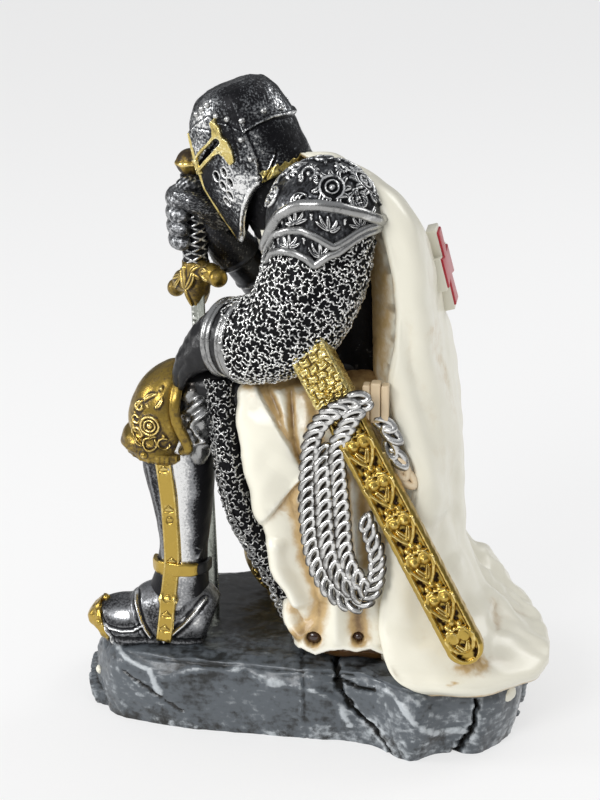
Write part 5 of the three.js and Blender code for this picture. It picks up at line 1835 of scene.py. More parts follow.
@dataclass
class Pauldron(Part):
    """A shoulder: a carved dome with a rolled silver edge and two lames that hang to a point.

    Each edge is a table of its height above the shoulder's middle against the share of the way from the
    front (-1) to the back (1).
    """

    name: str
    place: Point
    radii: Point = (13.3, 12.6, 14.6)
    roll: float = 1.15
    bead: float = 0.85
    edges: tuple = (
        ((-1, -6), (-0.97, -4.6), (-0.89, -2.4), (-0.78, 0.9), (-0.64, 3.9), (-0.42, 6.0), (-0.25, 6.9),
         (0.06, 7.1),
         (0.37, 6.4), (0.72, 4.6), (0.9, 2.8), (1, 1.4)),
        ((-1, -7.8), (-0.97, -6.1), (-0.79, -1.5), (-0.52, 0.3), (-0.25, 0.8), (0, -0.6), (0.28, -2.9),
         (0.46, -1.6),
         (0.63, -0.1), (0.8, 0.8), (1, 0.6)),
        ((-1, -10.5), (-0.97, -9.2), (-0.84, -5.9), (-0.61, -4.6), (-0.34, -4.8), (-0.16, -5.8),
         (-0.03, -7.3),
         (0.08, -6.0), (0.2, -4.9), (0.33, -4.4), (0.46, -3.2), (0.63, -1.6), (0.8, -0.6), (1, -0.6)),
    )

    def spot(self, angle: Array, scale: Array, rise: Array) -> Array:
        """Points about the shoulder's axis at an angle, a scale of its radii and a rise above its middle."""
        x, y, z = self.place
        return np.stack([x + self.radii[0] * scale * np.cos(angle), y + self.radii[1] * scale * np.sin(angle),
                         z + rise + 0 * angle], -1)

    def edge(self, angle: Array, n: int) -> Array:
        """The height of edge n, flatter on the side of the neck.

        Args:
            angle: the angles about the shoulder.
            n: the edge's number.

        Returns:
            The heights.
        """
        table = self.edges[n]
        level = row_at(table, np.cos(angle), 0.035)[..., 0]
        chord = table[0][1] + (table[-1][1] - table[0][1]) * (0.5 + 0.5 * np.cos(angle))
        inward = -math.copysign(1, self.place[1]) * np.sin(angle)
        return chord + (level - chord) * (1 - 0.85 * smooth(0.0, 0.6, inward))

    def build(self) -> None:
        """Carves the dome, rolls its edge and hangs the lames."""
        angle = around(400)[None]
        high = self.radii[2]
        share = np.linspace(0.03, 1, 160)[:, None]
        low = np.arccos(np.clip(self.edge(angle, 0) / high, -1, 1))
        fall = share * low
        reach = np.where(fall < np.pi / 2, np.sin(fall), 1.0)
        base = self.spot(angle, reach, high * np.cos(fall))
        work = acanthus()
        rise = np.zeros(fall.shape)
        for n, middle in enumerate((-83, -3, 83, 177)):
            away = (np.degrees(angle) - middle + 180) % 360 - 180
            s = (np.radians(away) * self.radii[0] * np.sin(np.minimum(fall, np.pi / 2)) ** 0.6
                 * (-1 if n % 2 else 1))
            rise = np.maximum(rise, work.rise(s, high * (1 - fall)) * smooth(47, 42, np.abs(away)))
        crown = Ornament([], [(0, 0, 1.2, 1.0)], [(ring_line(0, 0, 2.0), 0.3)])
        flat = base - np.array(self.place)
        rise = np.maximum(rise, crown.rise(flat[..., 0], flat[..., 1]))
        rise = 0.8 * rise + 0.04 * noise(base, 1.4, 51)
        self.bench.carved(self.name + "_dome", base, rise, "engraved", passes=4, depth=0.2)
        ring = around(300)
        edge = self.spot(ring, np.full(ring.shape, 1.03), self.edge(ring, 0) - 0.2)
        self.bench.skin(self.name + "_edge", loop_tube(edge, self.roll, 16, 1.15), "rim", capped=False)
        for n in (1, 2):
            self.lame(n)

    def lame(self, n: int) -> None:
        """One lame: a curved strip with sprigs, and the rolled bead along its lower edge.

        Args:
            n: 1 for the upper lame and 2 for the lower one.
        """
        angle = around(380)[None]
        low, high = self.edge(angle, n), self.edge(angle, n - 1) + 0.6
        share = np.linspace(0, 1, 60)[:, None]
        reach = 1.01 - 0.02 * n
        base = self.spot(angle, (reach - 0.03 * np.sin(np.pi * share)) * np.ones(angle.shape),
                         high + (low - high) * share)
        s = ((np.degrees(angle) + 8 * n) % 34 - 17) * math.radians(self.radii[0]) * np.ones(share.shape)
        t = (0.5 - share) * (high - low)
        rise = 0.55 * sprig().rise(s * 0.95, t * 0.9) + 0.04 * noise(base, 1.2, 52)
        inner = self.spot(angle, np.full(angle.shape, reach - 0.16), low + 0.6)
        rows = np.concatenate([base, inner])
        rise = np.concatenate([rise, np.zeros((1, 380))])
        self.bench.carved("%s_lame_%d" % (self.name, n), rows, rise, "engraved", passes=4, depth=0.2)
        ring = around(300)
        edge = self.spot(ring, np.full(ring.shape, reach + 0.015), self.edge(ring, n) + 0.1)
        self.bench.skin("%s_bead_%d" % (self.name, n), loop_tube(edge, self.bead, 14, 1.1), "rim",
                        capped=False)


@dataclass
class LeftArm(Part):
    """The left arm: the mail sleeve, the two-ringed cuff and the gauntlet on the knee."""

    sleeve: tuple = (
        [9, -23.5, 130, 11.6, 10.4], [8.2, -24.4, 124, 12.2, 10.5], [7.2, -25.2, 118, 12.2, 10.6],
        [5.4, -26.2, 112, 11.95, 10.7], [2.6, -26.6, 106.6, 11.5, 10.8], [-1.5, -26.4, 103, 11, 10.6],
        [-6, -25.2, 101, 10.4, 10.3], [-10.6, -23.9, 99.9, 9.9, 9.9],
    )
    rings: tuple = ((-0.6, 9.5, 0.8), (0.9, 9.35, 0.5), (3.9, 9.0, 0.5), (5.3, 8.9, 0.75))
    glove: tuple = (
        [-10, -24.0, 100.4, 7.4, 7.8], [-14, -22.6, 99.6, 7.4, 7.8], [-17.4, -21.8, 98.2, 6.8, 7.6],
        [-20.4, -21.2, 96.2, 5.2, 7.0], [-23.0, -20.6, 93.6, 3.6, 6.4], [-24.8, -20.0, 90.8, 2.4, 5.6],
        [-25.4, -19.6, 88.0, 1.6, 4.8],
    )

    def build(self) -> None:
        """Links the sleeve, turns the cuff's rings and sews the glove."""
        base = limb(self.sleeve, 150, 180)
        self.bench.skin("left_sleeve_ground", base, "mail_base")
        keep = (base[..., 2] < 128) * 1.0
        Mail(seed=61).cover("left_sleeve_links", base, keep)
        axis = unit(np.array([-1.0, 0.6, -0.06]))
        side = unit(np.cross(axis, [0, 0, 1]))
        up = np.cross(side, axis)
        middle = np.array([-9.6, -24.6, 100.2])
        for n, (along, radius, wire) in enumerate(self.rings):
            ring = around(120)
            path = (middle + axis * along + 0.96 * radius * np.cos(ring)[:, None] * side
                    + radius * np.sin(ring)[:, None] * up)
            self.bench.skin("left_cuff_ring_%d" % (n + 1), loop_tube(path, wire, 14, 1.2, tuple(axis)),
                            "rim", capped=False)
        plate = limb([[*(middle + axis * v), r, r]
                      for v, r in ((-1.5, 9.0), (0, 9.2), (2.4, 8.8), (5.4, 8.5))],
                     60, 140, tuple(side))
        self.bench.carved("left_cuff", plate, 0.08 * noise(plate, 1.6, 68), "leather", depth=0.2)
        base = limb(self.glove, 110, 140)
        _, v = lengths(base)
        rise = 0.5 * hump(v - 6.5, 0.5) + 0.12 * noise(base, 2.4, 62)
        turn = around(140)[None]
        knuckle = smooth(13, 16, v) * smooth(26, 22, v)
        rise += 0.7 * knuckle * np.abs(np.sin(2.5 * turn)) - 0.3 * knuckle
        self.bench.carved("left_glove", base, rise, "leather", depth=0.3)


@dataclass
class RightArm(Part):
    """The right arm that holds the sword: sleeve, vambrace, bell cuff and dotted fist."""

    shoulder: Point = (-1.5, 23.5, 114.0)

    def build(self) -> None:
        """Builds the sleeve, the vambrace, the bell cuff and the fist."""
        x, y, z = self.shoulder
        base = limb([[x, y - 1, z + 2, 11.4, 10.4], [x - 0.5, y + 1, z - 10, 10.6, 10.4],
                     [x - 2, y, z - 16, 9.8, 10], [x - 4.6, y - 3, z - 19, 9, 9.2],
                     [-8.4, 17.6, 97.6, 7.8, 8]], 110, 160)
        self.bench.skin("right_sleeve_ground", base, "mail_base")
        Mail(seed=63, gap=1.1, radius=0.74, wire=0.27).cover("right_sleeve_links", base,
                                                             (base[..., 2] < z + 1) * 1.0)
        vambrace = limb([[-6.4, 19.6, 96.6, 5.6, 5.6], [-9, 16.6, 100.4, 5.4, 5.6],
                         [-11.6, 14.4, 104, 5.2, 5.4],
                         [-14.4, 12, 108.2, 4.9, 5.2], [-17.4, 9.4, 112.6, 4.7, 5.0]], 130, 110)
        _, v = lengths(vambrace)
        rise = 0.5 * hump(v - 5.4, 0.5) + 0.5 * hump(v - 7.4, 0.5)
        rise += 0.4 * hump(v - 9.4, 0.45) + 0.45 * hump(v - 14.4, 0.5)
        self.bench.carved("vambrace", vambrace, rise + 0.07 * noise(vambrace, 3.0, 64), "dark_steel",
                          depth=0.3)
        bell = limb([[-16.4, 9.2, 111.2, 5.2, 5.4], [-17.0, 8.8, 112.2, 5.9, 6.0],
                     [-18.6, 7.6, 115, 5.6, 5.8],
                     [-20.6, 6.2, 118.6, 4.8, 5.4], [-22.4, 5.0, 122, 4.2, 5.0],
                     [-23.6, 4.4, 125.4, 3.8, 4.8],
                     [-24.2, 4.2, 128, 3.0, 4.2]], 130, 120)
        u, v = lengths(bell)
        dots = smooth(0.2, 0.9, np.sin(u * 4.2 + 3 * (np.floor(v / 0.75) % 2)) * np.sin(v * 2 * np.pi / 0.75))
        rise = 0.14 * dots * smooth(2.0, 3.2, v) + 0.45 * hump(v - 1.4, 0.5)
        self.bench.carved("bell_cuff", bell, rise, "dark_steel", depth=0.2, passes=3)
        self.fist()

    def fist(self) -> None:
        """Four fingers closed round the grip from behind, the thumb, and the back of the hand."""
        for n in range(4):
            z = 128.0 - 3.4 * n
            size = (2.15, 2.25, 2.2, 1.95)[n]
            drift = 0.12 * n
            path = [[-22.8, 5.6, z + 0.5], [-25.4, 7.2, z + 0.5], [-28.6, 6.6, z + 0.4],
                    [-30.6, 4.4, z + 0.2],
                    [-31.0, 1.6, z], [-30.2, -1.0, z - 0.2], [-28.6, -2.4, z - 0.4], [-27.0, -2.7, z - 0.5]]
            swell = (0.9, 1.0, 1.0, 1.06, 1.0, 1.02, 0.94, 0.6)
            base = limb([[x + drift, y, q, size * w, size * w * 1.02] for (x, y, q), w in zip(path, swell)],
                        110, 50, (0, 0, 1))
            rise = 0.05 * noise(base, 1.2, 65) + 0.06 * mesh_weave(base, 0.8)
            # Each finger is painted a little brighter all over, as a highlight on the knuckles
            self.bench.carved("finger_%d" % (n + 1), base, rise, "knit", depth=0.12, passes=3, painted_sheen=0.12)
        thumb = limb([[-21.8, 3.0, 129.4, 2.2, 2.4], [-24.6, -0.4, 131.6, 2.1, 2.1],
                      [-27.2, -1.9, 131.9, 1.9, 1.9],
                      [-29.2, -1.6, 131.0, 1.3, 1.4]], 60, 44, (0, 0, 1))
        self.bench.carved("thumb", thumb, 0.1 * noise(thumb, 1.0, 66), "knit", depth=0.15, passes=3)
        front = limb([[-29.6, -0.8, 129.6, 1.6, 2.0], [-28.2, -1.7, 129.0, 2.4, 2.7],
                      [-26.0, -2.0, 128.0, 2.9, 3.1],
                      [-23.6, -0.4, 126.4, 3.4, 3.6], [-21.6, 2.2, 124.6, 4.0, 4.2],
                      [-20.4, 5.0, 122, 4.2, 4.6]], 110, 100)
        self.bench.carved("hand_front", front, 0.12 * mesh_weave(front, 0.9) + 0.1 * noise(front, 2.4, 62),
                          "knit", depth=0.12,
                     passes=2)
        palm = limb([[-24.4, 5.4, 130.6, 2.6, 2.6], [-24.0, 5.8, 125, 3.6, 3.2],
                     [-23.4, 6.2, 118.4, 3.0, 2.6]], 60, 70)
        self.bench.carved("hand_back", palm, 0.1 * noise(palm, 1.0, 67), "knit", depth=0.15, passes=3)


@dataclass
class LeftLeg(Part):
    """The left leg: boot, greave with its gilt straps, knee cop, and the leather gathered behind the knee."""

    y: float = -15.0
    knee: Point = (-31.6, -15.0, 78.0)
    boot: tuple = (
        [-48.7, -15, 21.8, 2.4, 3.0], [-47.8, -15, 22.5, 4.2, 4.8], [-45.8, -15, 23.2, 5.6, 6.3],
        [-43.0, -15, 23.6, 6.2, 7.0], [-40, -15, 23.9, 6.4, 7.2], [-37.0, -15, 24.6, 6.9, 7.1],
        [-33.8, -15, 25.6, 8.2, 6.9], [-28, -15, 26.6, 9.0, 6.8], [-23.8, -15, 26.2, 8.6, 6.4],
        [-21.0, -15, 25.6, 7.2, 5.4], [-19.8, -15, 25.2, 5, 4.2],
    )
    greave: tuple = (
        [-28.2, -15, 26, 8.4, 6.6], [-28.0, -15, 32, 7.6, 6.5], [-27.4, -15, 37, 6.6, 6.3],
        [-26.9, -15, 43.5, 5.95, 6.2],
        [-26.7, -15, 49, 6.5, 6.5], [-26.9, -15, 56.5, 7.6, 6.9], [-27.6, -15, 65, 8.9, 7.2],
        [-27.8, -15, 74, 9.2, 7.6],
    )
    spine: tuple = (
        [-30.4, -21.5, 69.5], [-29.2, -21.5, 59.5], [-28.8, -21.0, 51], [-28.6, -20.8, 43],
        [-29.0, -21.3, 37.6],
        [-29.5, -21.9, 33.0], [-30.1, -22.3, 27], [-30.8, -22.3, 21.4],
    )
    welts: tuple = (
        ([(-38.3, 31.5), (-37.2, 28.0), (-36.2, 25.0), (-34.4, 21.6)], 0.42, 0.6),
        ([(-31.2, 20.6), (-28.6, 23.0), (-26.0, 25.4), (-23.4, 28.4), (-21.0, 31.6)], 0.55, 0.75),
        ([(-46.4, 24.4), (-44.6, 23.4), (-41.4, 22.9), (-38.6, 23.2), (-36.6, 24.6)], 0.32, 0.45),
        ([(-47.6, 26.4), (-46.4, 24.0), (-45.0, 21.6), (-43.8, 19.2)], 0.34, 0.5),
    )

    def build(self) -> None:
        """Builds the boot, the greave, the straps, the knee cop and the leather behind it."""
        self.foot()
        base = limb(self.greave, 170, 200)
        x, y, z = base[..., 0], base[..., 1], base[..., 2]
        rise = 0.05 * noise(base, 3.6, 71)
        d, _ = to_line(x, z, [(-28.2, 69), (-27.1, 59), (-26.8, 50), (-26.6, 42)])
        rise -= 0.35 * hump(d, 0.28) * (y < self.y)
        d, _ = to_line(x, z, [(-34.4, 66), (-32.0, 54), (-31.2, 42)])
        rise += 0.3 * hump(d, 0.35) * (y < self.y)
        d, _ = to_line(x, z, [(-22.6, 42.5), (-21.9, 44.5), (-22.8, 45.5)])
        rise += 0.35 * hump(d, 0.35) * (y < self.y)
        points = raised(base, rise)
        # Painted shade along the greave's back and its front edge, a painted highlight down its middle on the
        # near side, and darker paint towards its bottom
        shade = smooth(-24.6, -21.4, x + 0.8 * noise(base, 6, 73)) + 0.55 * smooth(-30.2, -32.4, x)
        light = hump(x + 26.4, 2.6) * smooth(-15, -19, y)
        marks = marked(base)
        marks["cavity"] = np.clip(cavity(base, points, True, 4, 0.22) + 0.75 * shade - 0.55 * light
                                  + 0.35 * smooth(42, 34, z), -1, 1)
        self.bench.skin("greave", points, "silver", marks)
        self.straps()
        KneeCop("left", self.knee, 0.0, 1.0).build()
        self.gather()

    def foot(self) -> None:
        """The boot with its welted seams, its gilt toe cap and two studs."""
        base = evened(limb(self.boot, 200, 220, (0, 1, 0), 0.86))
        base[..., 2] = np.maximum(base[..., 2], 18.6)
        x, y, z = base[..., 0], base[..., 1], base[..., 2]
        near = smooth(self.y - 0.5, self.y - 2, y)
        rise, shine = np.zeros(x.shape), np.zeros(x.shape)
        for line, half, high in self.welts:
            d, _ = to_line(x, z, line)
            rise += (high * hump(d, half) - 0.45 * hump(np.abs(d) - 1.7 * half, half)) * near
            shine = np.maximum(shine, hump(d, half) * near)
        d, _ = to_line(x, z, [(-40.6, 32), (-39.4, 28.4), (-38.2, 25.6)])
        rise += 0.4 * np.tanh(d / 0.6) * np.exp(-np.abs(d) / 3.0)
        sole = smooth(20.6, 20.0, z)
        rise += 0.5 * sole - 0.35 * hump(z - 21.0, 0.35) + 0.06 * noise(base, 3.2, 74) * near
        rise -= 0.12 * smooth(22.4, 21.4, z) * noise(base, 1.6, 75)
        points = raised(base, rise)
        points[..., 2] = np.maximum(points[..., 2], 18.3)
        marks = marked(base)
        # Painted highlights on the vamp, at the heel and along the welts; the boot is also painted darker
        # overall and lighter towards its top
        light = mound(x + 41.6, 3.0, z - 27.2, 1.3) * near
        heel = mound(x + 22.6, 1.6, z - 26.4, 3.0) * near
        marks["cavity"] = np.clip(cavity(base, points, True, 5, 0.25) + 0.42 - 1.5 * shine - 1.1 * light
                                  - 0.7 * heel
                                  - 0.3 * smooth(28, 33, z), -1, 1)
        self.bench.skin("boot", points, "silver", marks)
        cap = evened(limb([[-49.0, -15, 21.8, 2.2, 2.8], [-48.4, -15, 22.5, 4.3, 5.0],
                           [-47.2, -15, 23.0, 5.5, 6.1],
                           [-46.2, -15, 23.3, 5.95, 6.6], [-45.9, -15, 23.4, 5.2, 6.0]], 60, 150, (0, 1, 0),
                           0.86))
        cap[..., 2] = np.maximum(cap[..., 2], 18.5)
        self.bench.carved("toe_cap", cap, 0.12 * noise(cap, 2.0, 76), "gold",
                          0.5 * smooth(22.5, 20.5, cap[..., 2]))
        studs = np.array([[-47.4, -20.7, 24.6], [-46.6, -15.6, 28.9]])
        out = unit(np.array([[-0.45, -0.85, 0.25], [-0.45, -0.1, 0.9]]))
        side = unit(np.cross(out, [0, 0.3, 1.0]))
        frames = np.stack([side, np.cross(out, side), out], 1)
        self.bench.copies("toe_studs", ball(20, 12, 0.95), studs, frames, "gold")

    def straps(self) -> None:
        """The gilt strap down the shin with its chevrons, and the one round the ankle with its square end."""
        stations = [[*p, 1.75, 0.9] for p in self.spine]
        base = evened(limb(stations, 260, 64, (0, 1, 0), 0.5))
        _, v = lengths(base)
        path = catmull(np.array(self.spine), np.linspace(0, 1, 260))
        u = base[..., 0] - path[:, None, 0]
        rise = np.zeros(v.shape)
        for at, kind in ((2.2, 1), (6.0, 0), (12.6, 1), (16.4, 2), (22.4, 0), (26.4, 1), (37.0, 2),
                         (40.2, 1), (44.0, 1)):
            w = v - at
            if kind == 1:
                d = np.minimum(np.abs(w - np.abs(u) * 0.9), np.abs(w - 1.7 + np.abs(u) * 0.2))
            elif kind == 2:
                d = np.abs(np.hypot(u, w) - 0.85)
            else:
                d = np.abs(w + 0.6 * u) + 0.3
            rise -= 0.28 * hump(d, 0.22) * (np.abs(u) < 1.35)
        rise += 0.25 * smooth(1.2, 1.55, np.abs(u)) + 0.5 * hump(v - 37.5, 1.0)
        self.bench.carved("shin_strap", base, rise, "gold", passes=4, depth=0.18)
        ring = np.radians(np.linspace(-186, 4, 150))
        path = np.stack([-27.2 + 6.75 * np.cos(ring), -15 + 6.75 * np.sin(ring), 39.4 - 0.6 * np.sin(ring)],
                        -1)
        path = path[path[:, 0] < -22.6]
        swell = 1 + 0.14 * hump(path[:, 0] + 29.6, 1.8) * (path[:, 1] < -15)
        stations = np.concatenate([path, np.full((len(path), 1), 0.62), (1.65 * swell)[:, None]], 1)
        base = evened(limb(stations, 150, 56, (0, 0, 1), 0.45))
        self.bench.carved("ankle_strap", base, 0.07 * noise(base, 2.0, 77), "gold", passes=4, depth=0.2)
        tail = limb([[-22.8, -20.3, 39.8, 0.5, 1.5], [-20.9, -18.2, 39.8, 0.5, 1.5],
                     [-20.5, -14, 39.4, 0.5, 1.5]],
                    40, 30, (0, 0, 1), 0.5)
        self.bench.skin("ankle_strap_tail", tail, "leather")

    def gather(self) -> None:
        """The silvered leather folded behind the knee cop, and the black leather over the knee."""
        base = limb([[-22.6, -18.4, 88.4, 3.2, 4.6], [-22.2, -18.8, 83, 4.0, 5.2],
                     [-22.0, -18.8, 77, 4.0, 5.2],
                     [-22.0, -18.4, 72, 3.4, 4.6], [-22.4, -17.4, 68, 2.4, 3.6]], 150, 150)
        x, y, z = base[..., 0], base[..., 1], base[..., 2]
        rise = np.zeros(x.shape)
        for line, high, wide in (
            ([(-25.0, 80.8), (-22.0, 83.2), (-19.0, 85.4)], 0.8, 0.9),
            ([(-24.8, 84.6), (-22.6, 86.8)], 0.6, 1.0),
            ([(-25.4, 76.4), (-22.0, 79.6), (-18.6, 82.0)], 0.7, 0.8),
            ([(-25.2, 79.6), (-24.0, 75.4), (-22.8, 71.6)], 0.8, 0.7),
            ([(-22.6, 77.6), (-20.6, 75.0), (-18.8, 72.4)], 0.7, 0.8),
            ([(-24.4, 71.4), (-21.8, 73.4), (-19.0, 75.4)], 0.6, 0.6),
        ):
            d, _ = to_line(x, z, line)
            rise += high * hump(d, wide) - 0.45 * high * hump(np.abs(d) - 1.7 * wide, wide)
        rise = np.clip(rise + 0.05 * noise(base, 2.6, 78), -1.0, 1.2)
        self.bench.carved("knee_gather", base, rise, "rim", 0.5 * smooth(85, 88, z), passes=7, depth=0.35)
        top = limb([[-27.5, -15.0, 85.5, 4.4, 5.0], [-24, -16.0, 86.8, 4.6, 5.8],
                    [-19, -17.2, 87.2, 4.8, 6.2],
                    [-12, -16, 85, 6.4, 7.6], [-4, -12, 80, 8.0, 9.0]], 90, 110)
        self.bench.carved("knee_top", top, 0.15 * noise(top, 3.6, 79), "leather", depth=0.3)


@dataclass
class KneeCop(Part):
    """A gilt knee cop: dome, roundel, scrolls, ring rolls, flared lip and raised rim."""

    name: str
    place: Point
    turn: float
    size: float
    dome: tuple = (
        [5.6, 0, 13.0, 1.6, 2.6], [4.2, 0, 10.8, 4.4, 6.4], [1.8, 0, 5.8, 7.3, 9.0], [0.6, 0, 0.4, 8.6, 9.9],
        [0.4, 0, -3.6, 8.3, 9.5], [-0.2, 0, -5.2, 8.2, 9.3], [-0.7, 0, -6.6, 9.2, 10.1],
        [-0.9, 0, -8.0, 9.3, 10.1],
        [-1.3, 0, -9.7, 7.9, 8.8],
    )
    rim: tuple = (
        [6.2, -7.6, -7.0, 0.9, 1.1], [8.0, -8.8, -5.6, 1.0, 1.2], [7.4, -9.6, -3.0, 1.05, 1.25],
        [6.0, -10.0, 0.2, 1.1, 1.3], [5.2, -10.0, 3.6, 1.1, 1.3], [5.2, -9.2, 7.0, 1.15, 1.35],
        [5.8, -7.0, 10.2, 1.15, 1.35], [6.6, -3.8, 12.4, 1.15, 1.35], [6.9, 0, 13.2, 1.15, 1.35],
        [6.6, 3.8, 12.4, 1.15, 1.35], [5.8, 7.0, 10.2, 1.15, 1.35], [5.2, 9.2, 7.0, 1.15, 1.35],
        [5.2, 10.0, 3.6, 1.1, 1.3], [6.0, 10.0, 0.2, 1.1, 1.3], [7.4, 9.6, -3.0, 1.05, 1.25],
        [8.0, 8.8, -5.6, 1.0, 1.2], [6.2, 7.6, -7.0, 0.9, 1.1],
    )
    back: tuple = (
        [-12, 4.6], [-8, 6.4], [-6.2, 7.8], [-5, 8.0], [-3.2, 7.4], [0, 6.2], [3.4, 5.4], [6.8, 5.4],
        [9.6, 5.8], [13, 6.6],
    )

    def work(self) -> Ornament:
        """The relief on each flank: the roundel, the scrolls round it and the rolls under it."""
        return Ornament(
            [(-4.6, 3.0, -3.0, 5.6, 0.5, 0.4), (-2.6, 5.6, 0.8, 7.6, 0.5, 0.4),
             (0.4, 4.4, 2.0, 7.0, 0.5, -0.4),
             (-5.6, 0.6, -4.6, -2.4, 0.55, -0.5), (-5.0, -3.8, -2.6, -5.2, 0.6, -0.4),
             (-1.4, -3.4, 0.6, -2.6, 0.5, 0.4)],
            [(-1.0, 0.0, 0.85, 1.2), (-5.0, 2.4, 0.5, 0.8), (-1.6, 4.6, 0.45, 0.7), (1.6, 8.8, 0.5, 0.8),
             (-2.6, -7.4, 0.95, 1.3), (2.2, -2.6, 0.5, 0.8)],
            [(ring_line(-1.0, 0, 1.35), 0.24), (ring_line(-1.0, 0, 2.2), 0.34),
             (ring_line(-4.6, 1.0, 0.9, 40, 260), 0.24),
             (ring_line(-4.2, -2.4, 1.2, -60, 280, 0.4), 0.28),
             (ring_line(-1.2, -4.6, 1.5, 100, 300, 0.3), 0.3),
             (ring_line(2.2, -4.4, 1.4, 60, 280), 0.28), (ring_line(-3.8, 4.2, 0.9, 150, 240), 0.24)])

    def build(self) -> None:
        """Models the dome with its relief and the rim at its back."""
        turn = math.radians(self.turn)
        spin = np.array([[math.cos(turn), 0, math.sin(turn)], [0, 1, 0],
                         [-math.sin(turn), 0, math.cos(turn)]])
        base = limb(self.dome, 210, 300)
        base[..., 0] = np.minimum(base[..., 0], row_at(self.back, base[..., 2])[..., 0])
        x, y, z = base[..., 0], base[..., 1], base[..., 2]
        rise = 0.62 * self.work().rise(x, z) * smooth(-1.0, -3.0, y)
        rise = np.maximum(rise, 0.62 * self.work().rise(x, z) * smooth(1.0, 3.0, y))
        rise += 0.18 * hump(z + 9.2, 0.6) + 0.03 * noise(base, 3.0, 81)
        around_lip = np.degrees(np.arctan2(y, -x))
        rise += 0.16 * smooth(-7.4, -8.2, z) * np.maximum(0, np.sin(np.radians(around_lip) * 26))
        carved = raised(base, rise) * self.size @ spin.T + np.array(self.place)
        plain = base * self.size @ spin.T + np.array(self.place)
        marks = marked(base)
        marks["cavity"] = cavity(plain, carved, True, 5, 0.25)
        marks["stain_and_shade"] = 0.5 * hump(z + 5.6, 0.6)
        self.bench.skin("knee_cop_" + self.name, carved, "dark_gold_and_shade", marks)
        stations = np.array(self.rim)
        stations[:, :3] = stations[:, :3] * self.size @ spin.T + np.array(self.place)
        stations[:, 3:] *= self.size
        rim = limb(stations, 220, 40, (1, 0, 0), 0.7)
        self.bench.carved("knee_rim_" + self.name, rim, 0.06 * noise(rim, 2.0, 82), "dark_gold_and_shade", depth=0.2)


@dataclass
class Trunk(Part):
    """The body under the cloth: mail on the trunk, thighs in leather, the kneeling leg and its cop."""

    rings: tuple = (
        [13, 66, 13, 18], [13, 82, 12.4, 17.4], [12, 98, 12.4, 17], [10, 114, 13, 20], [8, 126, 12.4, 22],
        [7, 134, 8.6, 17], [6, 138, 4, 8],
    )

    def build(self) -> None:
        """Builds the trunk, both thighs, the kneeling shin and the right knee cop."""
        table = catmull(np.array(self.rings, float), np.linspace(0, 1, 130))
        turn = around(150)[None]
        x = table[:, :1] + table[:, 2:3] * power(np.cos(turn), 0.8)
        y = table[:, 3:4] * power(np.sin(turn), 0.8)
        skin = slumped(np.stack([x, y, np.broadcast_to(table[:, 1:2], x.shape)], -1))
        self.bench.carved("trunk", skin, 0.35 * mesh_weave(skin, 2.2), "mail_base", depth=0.3, passes=3)
        for name, stations in (
            ("left_thigh", [[-27, -15, 80, 7.6, 7.4], [-18, -15, 78.6, 9.0, 7.4], [-4, -15, 76, 11, 9.5],
                            [12, -9, 76, 12, 11]]),
            ("right_thigh", [[12, 8, 70, 11, 10], [6, 12, 54, 8.8, 8.6], [-2, 16.5, 38, 8.0, 7.8],
                             [-6.5, 18, 28, 8, 8]]),
            ("right_shin", [[-6.5, 18, 26, 7.6, 7.6], [10, 18, 25, 7, 7], [32, 18, 24, 6.4, 6.4]]),
        ):
            base = limb(stations, 110, 120)
            rise = 0.35 * mesh_weave(base, 2.2) if name == "right_thigh" else 0.3 * noise(base, 4.0, 91)
            self.bench.carved(name, base, rise, "mail_base" if name == "right_thigh" else "leather",
                              depth=0.3)
        KneeCop("right", (-8.5, 18.0, 27.0), -52.0, 0.86).build()


@dataclass
class MailStrip(Part):
    """The mail skirt that hangs in front of the surcoat, with larger links along its front edge."""

    path: tuple = (
        [-15.8, -18.6, 89.5, 4.2, 7.0], [-14.9, -19.4, 80, 4.2, 6.4], [-13.9, -19.8, 70, 4.1, 6.0],
        [-12.6, -20.2, 62, 4.0, 5.6], [-10.0, -20.4, 54, 3.9, 5.4], [-6.0, -20.4, 47, 3.8, 5.2],
        [-2.6, -20.0, 40.5, 3.4, 5.0], [0.2, -19.0, 34, 3.1, 4.4], [2.8, -17.4, 27, 2.8, 4.0],
        [6.4, -15, 20, 2.8, 4.0],
    )

    def build(self) -> None:
        """Builds the ground, its two layers of links, and the row of larger ones."""
        base = limb(self.path, 260, 110)
        self.bench.carved("mail_strip_ground", base, 0.12 * noise(base, 1.2, 92), "mail_base", depth=0.3)
        middle = catmull(np.array(self.path), np.linspace(0, 1, 260))[:, :1]
        off = base[..., 0] - middle
        rng = np.random.default_rng(90)
        worn = off + rng.normal(size=off.shape)
        Mail(seed=93, gap=1.0, radius=0.6, wire=0.21).cover(
            "mail_strip_links", base, (base[..., 1] < -16) * (worn < 0.9), "mail_dim")
        Mail(seed=98, gap=1.4, radius=0.55, wire=0.18).cover(
            "mail_strip_dim_links", base, (base[..., 1] < -16) * (worn > 0.2), "mail_dim")
        count = 64
        path = catmull(np.array(self.path)[:, :3], np.linspace(0, 0.97, count))
        ahead = unit(np.gradient(path, axis=0))
        out = np.tile(unit(np.array([-0.35, -0.9, 0.15])), (count, 1))
        rng = np.random.default_rng(94)
        tilt = unit(out + 0.5 * rng.normal(size=out.shape))
        side = unit(np.cross(ahead, tilt))
        frames = np.stack([side, ahead, np.cross(side, ahead)], 1)
        path += np.array([-2.1, -5.1, 0.0]) + 0.35 * rng.normal(size=path.shape)
        bpy.ops.object.select_all(action="DESELECT")
        bpy.ops.mesh.primitive_torus_add(major_segments=18, minor_segments=8, major_radius=0.82,
                                         minor_radius=0.22)
        self.bench.copies("mail_strip_edge", bpy.context.object, path, frames, "mail")


